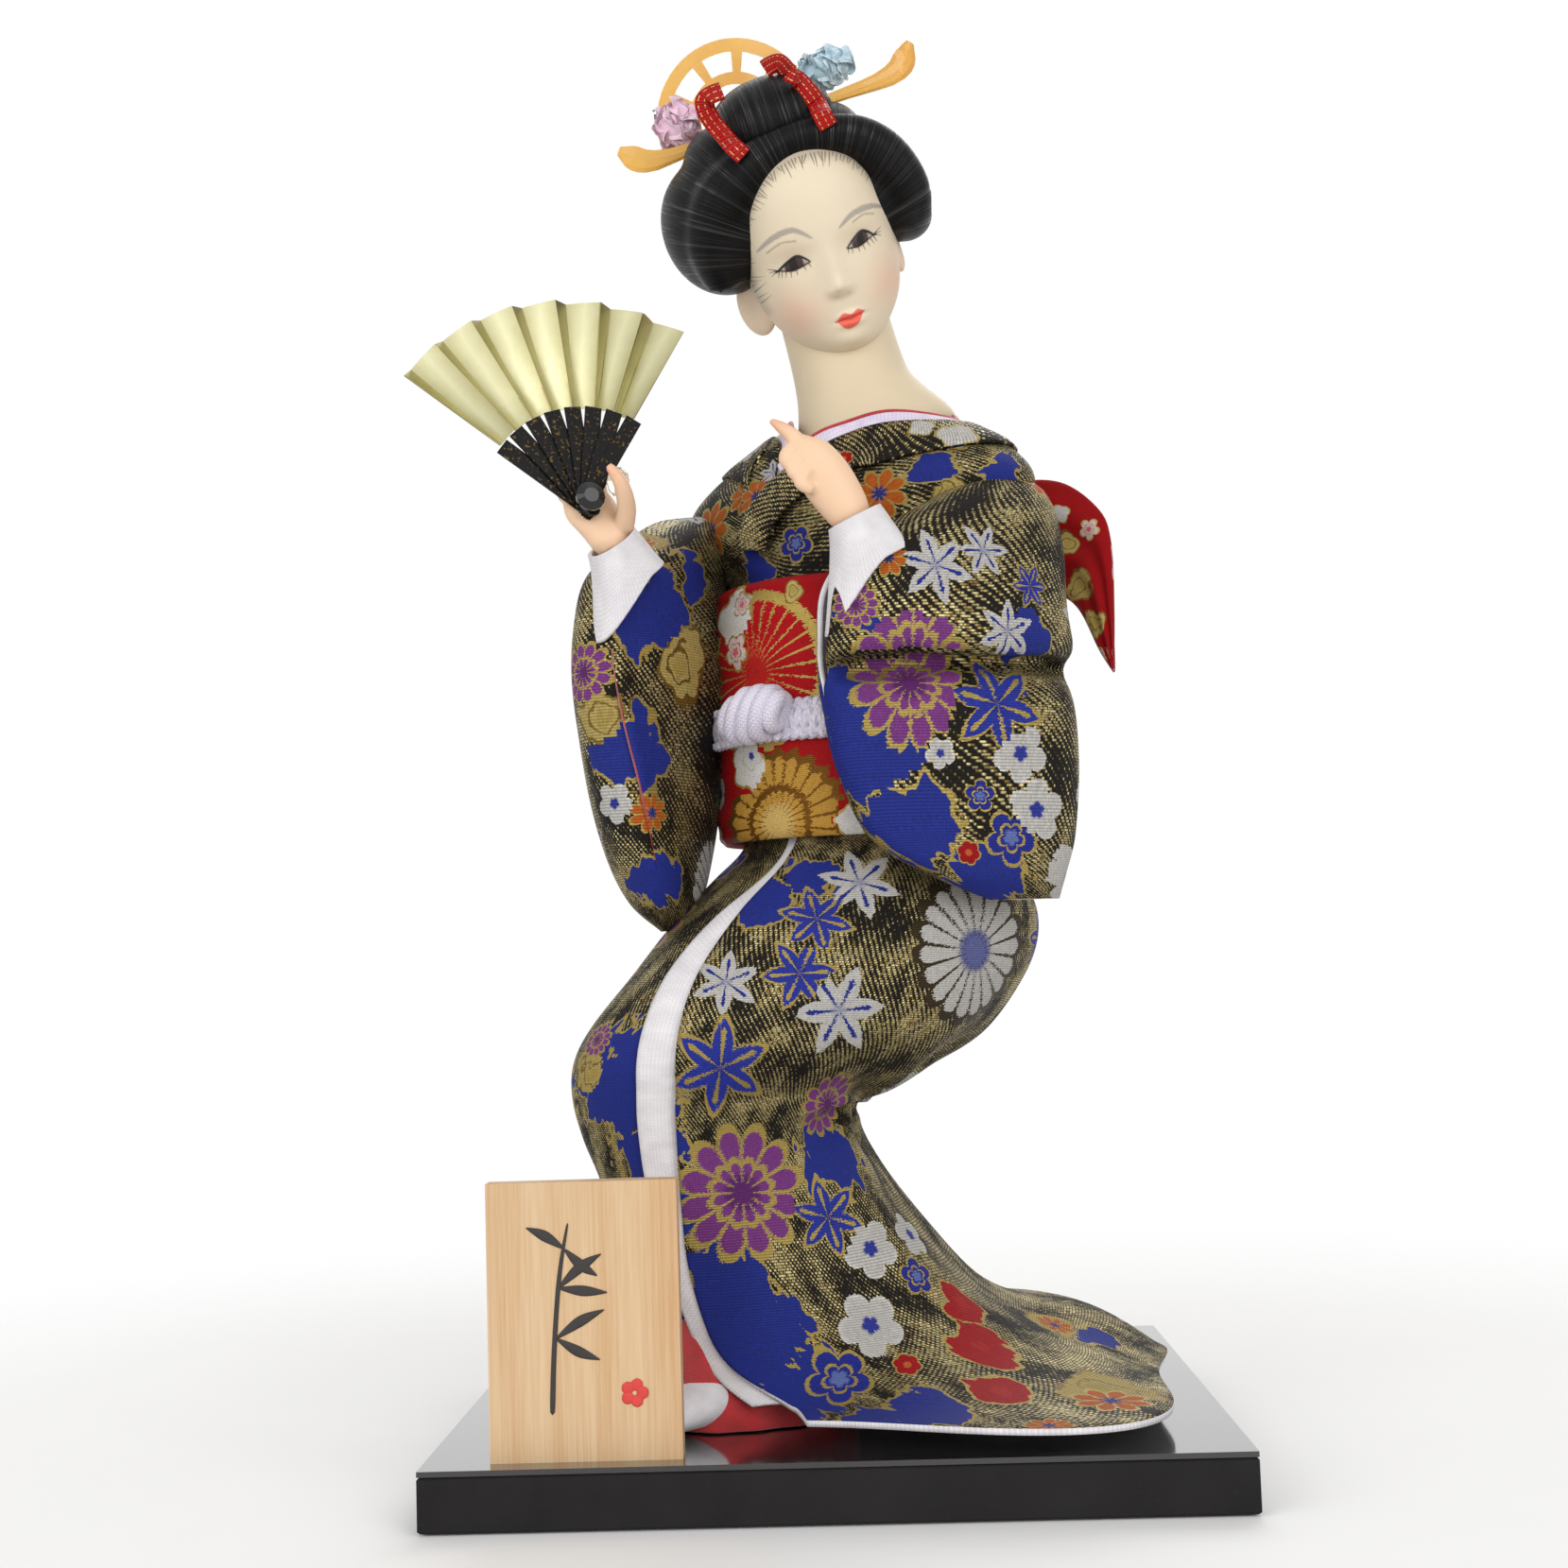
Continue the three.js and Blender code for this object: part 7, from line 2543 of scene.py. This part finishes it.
@dataclass
class Wig:
    """Combed wig with its bun, ribbons and silk flowers."""

    looks: Looks
    place: HeadFrame = field(default_factory=HeadFrame)
    ribbon_lift: float = 0.9
    ribbon_width: float = 4.2
    petal_width: float = 6.2

    def build(self) -> None:
        """Wig, bun, ribbons and flowers."""
        f = self.looks.finishes
        lobes = (
            ((-3, 8.6, 8), (23.5, 22.5, 20.3)), ((-18.6, 4, 6.5), (12.9, 16.5, 15)),
            ((12, 3.4, 3), (13.5, 14.6, 12)),
            ((20, 1, -3.5), (6, 12, 5.5)), ((-1, 17, -4), (15, 11, 15)), ((-14.5, 3, 18), (8.5, 13, 9)),
            ((8, 3, 17), (9, 13, 8)),
        )
        shells = [self.place.egg(centre, radii) for centre, radii in lobes]
        roll = [
            (-22, -5.5, -4.5), (-21.6, -7.5, 5.5), (-15.2, -9.5, 14),
            (-1, -11, 19.4), (11.2, -10.6, 17.2),
            (17.6, -9, 11.4), (21, -7, 3.5), (21.5, -5, -4),
        ]
        sizes = (5.0, 5.8, 5.6, 3.5, 4.2, 5.2, 5.2, 4.6)
        front = Tube(self.place.out(np.array(roll)), sizes, sizes, self.place.y, 28, 80)
        shells.append(front.sheet("roll").bmesh())
        wig = blobbed(merged("wig_hair", shells, (f.hair,)), 0.75, 18)
        self.comb_out(wig)
        self.looks.add(wig, "head", "hair", "hair_wig")
        loaf = [
            self.place.egg((-2, 14, 21.5), (14, 12, 12)),
            self.place.egg((-1.5, 1.5, 23.5), (13.5, 12.5, 10)),
        ]
        bun = blobbed(merged("bun_hair", loaf, (f.hair,)), 0.75, 12)
        local = self.place.back(points_of(bun.data)) - np.array([-2, 8, 20])
        turn = np.arctan2(local[:, 2], -local[:, 1])
        store(bun.data, "strand", np.stack([local[:, 0], turn * 13.0, 0.0 * turn], axis=-1))
        self.looks.add(bun, "head", "hair", "hair_bun")
        self.ribbons([wig, bun])
        self.tuft("pink_tuft", (-20.5, 16.5, 29.5), (5.2, 4.4, 6.0), f.pink, "pink", "flower_pink")
        self.tuft("blue_tuft", (14.5, 17.5, 31), (6.6, 4.4, 4.6), f.sky, "blue", "flower_blue")

    def comb_out(self, wig: Piece) -> None:
        """Strand directions from the face backwards.

        Args:
            wig: the wig.
        """
        local = self.place.back(points_of(wig.data))
        angle = np.arctan2(local[:, 2] + 6.0, local[:, 0])
        store(wig.data, "strand", np.stack([angle * 24.0, local[:, 1], local[:, 2]], axis=-1))

    def ribbons(self, hair: Sequence[Piece]) -> None:
        """Two ribbons laid over the hair, the left one with a loop at its top.

        Args:
            hair: the wig and the bun.
        """
        graph = bpy.context.evaluated_depsgraph_get()
        trees = [BVHTree.FromObject(piece, graph) for piece in hair]
        tracks = {
            "ribbon_right": (((764, 96), (746, 106), (752, 126), (768, 146), (787, 165)),),
            "ribbon_left": (
                ((809, 74), (822, 66), (836, 78)),
                ((834, 76), (850, 90), (864, 110), (877, 134)),
            ),
        }
        for node, strips in tracks.items():
            shells = [self.strip(trees, track) for track in strips]
            ribbon = merged(f"{node}_cloth", shells, (self.looks.finishes.ribbon,))
            solid = ribbon.modifiers.new("thickness", "SOLIDIFY")
            solid.thickness = 0.4 * MM
            self.looks.add(settle(ribbon), "head", "red_satin", node)

    def strip(self, trees: Sequence[BVHTree], track: Sequence[tuple[float, float]]) -> Shell:
        """Ribbon laid over the hair along a track in the picture.

        Args:
            trees: search trees of the hair.
            track: places in the picture's pixels.

        Returns:
            The strip's mesh without thickness.
        """
        rays = [self.looks.eye.ray(x, y) for x, y in spline(track, np.linspace(0.0, 1.0, 21))]
        reach = []
        for origin, way in rays:
            hits = [tree.ray_cast(Vector(origin) * MM, Vector(way)) for tree in trees]
            near = [hit[3] / MM for hit in hits if hit[0] is not None]
            reach.append(min(near) if near else np.nan)
        gaps = np.array(reach)
        gaps[np.isnan(gaps)] = np.nanmean(gaps)
        padded = np.pad(gaps, 2, "edge")
        nearest = np.min([padded[k:k + len(gaps)] for k in range(5)], axis=0)
        eased = np.convolve(np.pad(nearest, 1, "edge"), (0.25, 0.5, 0.25), "valid") - self.ribbon_lift
        facing = unit(np.mean([-np.array(way) for _, way in rays], axis=0) + np.array([0.0, 0.0, 0.5]))
        path = [np.array(origin) + np.array(way) * gap for (origin, way), gap in zip(rays, eased)]

        def surface(s: Array, t: Array) -> Array:
            """Flat ribbon along its path with a slight cupping.

            Args:
                s: places across the sheet, from 0 to 1.
                t: places along the sheet, from 0 to 1.

            Returns:
                Places in millimetres.
            """
            here = spline(path, t)
            ahead = unit(spline(path, np.minimum(t + 0.01, 1.0)) - spline(path, np.maximum(t - 0.01, 0.0)))
            across = unit(np.cross(ahead, facing))
            up = np.cross(across, ahead)
            cup = 0.5 * (1.0 - (2.0 * s - 1.0) ** 2) + 0.25 * np.sin(TAU * 2.0 * t)
            return here + across * (self.ribbon_width * (s - 0.5))[..., None] + up * cup[..., None]

        return Sheet("strip", 10, 40, surface, (4.8, 14.0), keep_facing=True).bmesh()

    def tuft(
        self, name: str, centre: Point, radii: Point, finish: Material, slot: str, node: str, count: int = 46
    ) -> None:
        """Silk flower of many small curled petals round a middle.

        Args:
            name: name of the piece.
            centre: middle in the head's own frame.
            radii: reach of the petals along the head's directions.
            finish: material.
            slot: passed on to Looks.add, which does not use it.
            node: frame node that it stands for.
            count: how many petals.
        """
        pick = np.random.default_rng(SEED + len(name))
        petals = []
        for _ in range(count):
            way = unit(pick.normal(size=3))
            twist = unit(np.cross(way, pick.normal(size=3)))
            side = np.cross(way, twist)
            size = float(pick.uniform(0.75, 1.05))

            def surface(s: Array, t: Array) -> Array:
                """Petal from the middle outwards, curled at its tip.

                Args:
                    s: places across the sheet, from 0 to 1.
                    t: places along the sheet, from 0 to 1.

                Returns:
                    Places in millimetres.
                """
                width = self.petal_width * np.sqrt(np.sin(math.pi * (0.1 + 0.85 * t))) * (s - 0.5)
                reach = 0.5 + 0.5 * np.sin(0.5 * math.pi * t)
                curl = 1.6 * t**2 + 0.5 * np.sin(TAU * s) * t
                shape = scaled(reach * size, way * np.array(radii))
                return self.place.out(np.array(centre) + shape + scaled(width, side) + scaled(curl, twist))

            petals.append(Sheet("petal", 6, 6, surface, (4.0, 4.0), keep_facing=True).bmesh())
        middle = self.place.egg(centre, tuple(0.78 * radius for radius in radii), 3)
        middle.loops.layers.uv.new("thread")
        self.looks.add(merged(name, [middle, *petals], (finish,)), "head", slot, node)


@dataclass
class Hands:
    """Painted hands: the left one raised to the chin, the right one round the fan."""

    looks: Looks
    peach: Colour = srgb(238, 200, 166)
    rosy: Colour = srgb(232, 168, 136)

    def build(self) -> None:
        """Both hands."""
        side = (0.8, 0.0, 0.6)
        left = [
            Tube(
                [
                    (9.2, -36.8, 186.6), (7.4, -37.1, 190), (4.2, -38, 195),
                    (1.4, -38.8, 199.4), (-0.6, -39, 202),
                ],
                (4.0, 4.8, 5.3, 4.5, 2.8), (3.7, 3.8, 3.6, 3.1, 2.2), side, 22, 40,
            ),
            Tube(
                [(0.2, -39.4, 200.4), (-2.2, -39.8, 203.4), (-4.4, -39.2, 205.5), (-6.7, -38.3, 207.3)],
                (2.2, 1.75, 1.3, 0.6), (2.1, 1.7, 1.2, 0.6), side, 14, 30,
            ),
        ]
        for k in range(3):
            push = np.array([1.4, -0.1, -2.3]) * k
            curl = [(0.2, -39.8, 201.2), (-2.6, -40.8, 200.6), (-3.6, -41.2, 198.4), (-1.4, -40.8, 196.8)]
            left.append(Tube(np.array(curl) + push, (1.7, 1.7, 1.6, 1.2), (1.5, 1.5, 1.4, 1.1), side, 14, 26))
        self.hand("left", left, (-6.5, -38.3, 207.1))
        knuckles = (0.93, 0.37, 0.0)
        right = [
            Tube(
                [(-39.6, -28, 184.8), (-41.4, -27.9, 189.3), (-44.2, -27.2, 193.2), (-45.6, -26.9, 196.6)],
                (3.9, 5.2, 5.7, 4.6), (3.8, 3.3, 2.8, 2.3), knuckles, 20, 30,
            ),
            Tube(
                [(-37.6, -28.6, 188.2), (-36.3, -32.8, 192), (-36.9, -37, 196), (-39.2, -38.6, 199.6)],
                (2.3, 2.0, 1.6, 0.9), (2.2, 1.9, 1.5, 0.9), (0.9, 0.0, 0.3), 14, 26,
            ),
        ]
        for k in range(4):
            across = np.array(knuckles) * (k - 1.5) * 2.5
            bones = [(-45.4, -26.9, 196), (-46.6, -26.6, 200), (-47.2, -26.6, 203.6), (-47.8, -27, 206)]
            finger = np.array(bones) + across
            finger[:, 2] -= (1.2, 1.0, 0.6, 0.0)[k] * abs(k - 1.0)
            right.append(Tube(finger, (1.6, 1.6, 1.4, 0.9), (1.5, 1.4, 1.2, 0.8), knuckles, 14, 22))
        self.hand("right", right, (-39.2, -38.6, 199.6))

    def hand(self, side: str, tubes: Sequence[Tube], tip: Point) -> None:
        """One hand melted from its tubes and tinted towards a finger tip.

        Args:
            side: left or right.
            tubes: sweeps of the palm and the fingers.
            tip: finger tip that the tint grows towards.
        """
        shells = [tube.sheet("limb").bmesh() for tube in tubes]
        made = blobbed(merged(f"painted_hand_{side}", shells, (self.looks.finishes.hand,)), 0.42, 7)
        gap = np.linalg.norm(points_of(made.data) - np.array(tip), axis=1)
        share = smooth(gap, 7.0, 1.0)[:, None] * 0.6
        colour = np.array(self.peach) * (1.0 - share) + np.array(self.rosy) * share
        store(made.data, "paint", np.concatenate([colour, np.ones_like(share)], axis=1), "FLOAT_COLOR")
        self.looks.add(made, f"hand_{side}", "hand", f"hand_{side}")


@dataclass
class FanLeaf:
    """Foil leaf of the fan in seven pleats, each between one stick and the next."""

    looks: Looks
    pivot: Point = (-44.3, -33.0, 193.4)
    facing: Point = (0.36, -0.92, 0.14)
    first: float = 31.0
    gore: float = 12.1
    gores: int = 7
    inner: float = 20.5
    outer: float = 43.7
    pitch: float = 0.64
    fold: float = 2.4
    valley: float = 0.7

    def axes(self) -> tuple[Array, Array, Array]:
        """Right, up and facing directions of the leaf.

        Returns:
            Three directions of length one.
        """
        normal = unit(np.array(self.facing))
        up = unit(np.array([0.0, 0.0, 1.0]) - normal * normal[2])
        return np.cross(up, normal), up, normal

    def at(self, stick: Array, radius: Array, depth: Array) -> Array:
        """Point of the leaf at a place between sticks, a radius and a depth.

        Args:
            stick: place counted in sticks.
            radius: distance from the rivet.
            depth: distance along the facing direction.

        Returns:
            Places in millimetres.
        """
        right, up, normal = self.axes()
        angle = np.radians(self.first - self.gore * np.asarray(stick, float))
        flat = scaled(radius * np.cos(angle), up) + scaled(radius * np.sin(angle), right)
        return np.array(self.pivot) + flat + scaled(depth, normal)

    def stick(self, number: int) -> str:
        """Body of a stick, counted from the front guard.

        Args:
            number: count of the stick.

        Returns:
            Name of the body.
        """
        if number == 0:
            return "hand_right"
        return f"fan_rib_{number}" if number < self.gores else "fan_guard_back"

    def build(self) -> None:
        """Seven pleats, one between each stick and the next."""
        for k in range(self.gores):

            def surface(s: Array, t: Array, k: int = k) -> Array:
                """Pleat from one stick to the next, folded back at its valley.

                Args:
                    s: places across the sheet, from 0 to 1.
                    t: places along the sheet, from 0 to 1.
                    k: first stick of the pleat.

                Returns:
                    Places in millimetres.
                """
                stick = k + s
                crease = np.where(s < self.valley, s / self.valley, (1.0 - s) / (1.0 - self.valley))
                depth = 0.9 * (self.gores / 2.0 - stick) * self.pitch - self.fold * crease
                return self.at(stick, self.inner + (self.outer - self.inner) * t, depth)

            made = Sheet(f"foil_pleat_{k + 1}", 20, 24, surface, (9.0, 22.5), keep_facing=True)
            pleat = made.build((self.looks.finishes.foil,), 0.3)
            pleat.data.shade_flat()
            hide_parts("fan_leaf")
            self.tie(pleat, k)
            self.looks.made.append(pleat.name)
            LOG.info("%s: between stick %d and %d", pleat.name, k, k + 1)

    def tie(self, pleat: Piece, k: int) -> None:
        """Share of the bend that would keep each edge to its own stick worked out, and the pleat's transform
        baked in; the bend itself is not applied.

        The hand stays still and stick k + 1 turns furthest.
        So the edge on stick k takes the share k / (k + 1).

        Args:
            pleat: the pleat.
            k: its first stick.
        """
        right, up, _ = self.axes()
        angle = math.radians(self.first - self.gore * k)
        way = up * math.sin(angle) - right * math.cos(angle)
        edge = self.at(np.array(float(k)), np.array(self.inner), np.array(0.0))
        width = self.inner * math.sin(math.radians(self.gore))
        share = k / (k + 1.0)
        eased = 0.5 - math.sin(math.asin(1.0 - 2.0 * share) / 3.0)
        end = edge + way * width
        start = end - way * (width / (1.0 - eased))
        self.stick(k + 1)
        tuple(start * MM)
        tuple(end * MM)
        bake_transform(pleat)


@dataclass
class Plaque:
    """Plain brush drawing on the wooden plate: a bamboo sprig and a small blossom, with no lettering."""

    looks: Looks
    face: float = -62.62
    middle: float = -45.0
    low: float = 11.0

    def stroke(self, line: Sequence[tuple[float, float]], widths: Sequence[float]) -> Shell:
        """Flat brush stroke through places across and up the plate."""
        path = [(self.middle + x, self.face, self.low + z) for x, z in line]
        return Tube(path, widths, (0.1,) * len(widths), (0.0, 0.0, 1.0), 8, 24).sheet("stroke").bmesh()

    def build(self) -> None:
        """Bamboo and blossom."""
        f = self.looks.finishes
        strokes = [self.stroke([(-6, 8), (-5.4, 20), (-4.2, 33), (-2.4, 43)], (0.5, 0.45, 0.4, 0.2))]
        leaves = (
            (-5, 22, 9, 5), (-5, 22, 8, -4), (-4.4, 31, 8, 6),
            (-4.4, 31, 9, -1), (-3.2, 38, -7, 4), (-3.2, 38, 6, -5),
        )
        for x, z, dx, dz in leaves:
            leaf = [(x, z), (x + dx * 0.5, z + dz * 0.6), (x + dx, z + dz)]
            strokes.append(self.stroke(leaf, (0.2, 0.95, 0.1)))
        self.looks.add(merged("ink_bamboo", strokes, (f.ink,)), "name_plate", "pine")
        petals = []
        for k in range(5):
            angle = TAU * k / 5.0
            x, z = 9.0 + 1.5 * math.cos(angle), 12.0 + 1.5 * math.sin(angle)
            petals.append(ball((self.middle + x, self.face, self.low + z), (1.15, 0.1, 1.15), 2))
        self.looks.add(merged("red_blossom", petals, (f.vermilion,)), "name_plate", "pine")


class FrameDress:
    """Better finishes for the frame nodes that stay in view."""

    def __init__(self, finishes: Finishes) -> None:
        """Names the finish of each frame node that shows.

        Args:
            finishes: all materials.
        """
        self.by_node: dict[str, Material] = {
            "base_board": finishes.board,
            "base_top_sheet": finishes.gloss,
            "name_plate": finishes.pine,
            "screw_left": finishes.steel,
            "screw_right": finishes.steel,
            "arm_wire_left": finishes.steel,
            "arm_wire_right": finishes.steel,
            "leg_dowel_left": finishes.beech,
            "leg_dowel_right": finishes.beech,
            "neck_peg": finishes.beech,
            "leg_padding": finishes.foam,
            "torso_core": finishes.foam,
            "hair_comb": finishes.amber,
            "hairpin": finishes.amber,
            "fan_guard_front": finishes.stick,
            "fan_guard_back": finishes.stick,
            "fan_rivet": finishes.rivet,
            "glue_bead": finishes.glue,
        }
        for number in range(1, 7):
            self.by_node[f"fan_rib_{number}"] = finishes.stick

    def apply(self) -> None:
        """Finish put into each node's material slot."""
        for name, finish in self.by_node.items():
            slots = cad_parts[name].data.materials
            for place in range(len(slots)):
                slots[place] = finish
            LOG.info("%s: finished as %s", name, finish.name)


@dataclass
class Studio:
    """Pale floor, soft lights and a white backdrop."""

    clear: float = 0.13
    reach: float = 0.4

    def build(self) -> None:
        """Floor, world and lamps."""
        bm = bmesh.new()
        bmesh.ops.create_grid(bm, x_segments=2, y_segments=2, size=self.reach)
        mesh = bpy.data.meshes.new("floor")
        bm.to_mesh(mesh)
        bm.free()
        floor = piece_from(mesh, "floor", (self.paper(),))
        floor.location.z = -0.0004
        self.world()
        self.lamp("key", (0.5, -1.1, 0.5), 0.9, 7.0)
        self.lamp("fill", (-0.8, -0.9, 0.5), 0.9, 5.0)
        self.lamp("rim", (0.2, 0.9, 1.0), 0.8, 5.0)
        bpy.context.scene.view_settings.view_transform = "Standard"

    def paper(self) -> Material:
        """White paper that fades out away from the doll.

        Returns:
            The material.
        """
        paint = Paint("pale_floor")
        x, y, _ = paint.split(paint.place())
        away = paint.math("SQRT", x * x + y * y)
        grain = paint.noise(paint.place(), 40.0, 2.0) * 0.02 + 0.93
        fade = 1.0 - away.step(self.clear, self.reach)
        return paint.finish(Base_Color=paint.join(grain, grain, grain), Roughness=0.8, Alpha=fade)

    def world(self) -> None:
        """White for the camera and reflections, softer for the light it gives."""
        world = bpy.data.worlds.new("studio")
        bpy.context.scene.world = world
        sky = Tree(world)
        white = sky.node("ShaderNodeBackground", None, {"Color": (1.0, 1.0, 1.0), "Strength": 1.0})
        soft = sky.node("ShaderNodeBackground", None, {"Color": (1.0, 0.99, 0.97), "Strength": 0.56})
        path = sky.node("ShaderNodeLightPath")
        rays = [Sock(sky, path.outputs[f"Is {kind} Ray"]) for kind in ("Camera", "Glossy", "Transmission")]
        seen = sky.math("MAXIMUM", sky.math("MAXIMUM", rays[0], rays[1]), rays[2])
        shades = {1: Sock(sky, soft.outputs[0]), 2: Sock(sky, white.outputs[0])}
        mix = sky.node("ShaderNodeMixShader", None, {0: seen, **shades})
        sky.node("ShaderNodeOutputWorld", None, {"Surface": Sock(sky, mix.outputs[0])})

    def lamp(self, name: str, place: Point, size: float, power_watts: float) -> None:
        """Square soft lamp aimed at the doll's chest.

        Args:
            name: name of the lamp.
            place: where it stands.
            size: side of the square.
            power_watts: power in watts.
        """
        data = bpy.data.lights.new(name, "AREA")
        data.energy = power_watts
        data.size = size
        made = bpy.data.objects.new(name, data)
        made.location = place
        aim = Vector((0.0, 0.0, 0.15)) - Vector(place)
        made.rotation_euler = aim.to_track_quat("-Z", "Y").to_euler()
        bpy.context.scene.collection.objects.link(made)


def write_sizes() -> None:
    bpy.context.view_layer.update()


def main() -> None:
    """Builds each sub-assembly in order and reports its pieces."""
    logging.basicConfig(level=logging.INFO, format="%(name)s %(message)s")
    looks = Looks(Finishes(), Eye())
    looks.eye.build()
    Studio().build()
    FrameDress(looks.finishes).apply()
    Skirt(looks).build()
    Bodice(looks).build()
    for sleeve in sleeves(looks):
        sleeve.build()
    Head(looks).build()
    Wig(looks).build()
    Hands(looks).build()
    FanLeaf(looks).build()
    Plaque(looks).build()
    write_sizes()
    LOG.info("%d pieces made", len(looks.made))


if __name__ == "__main__":
    main()
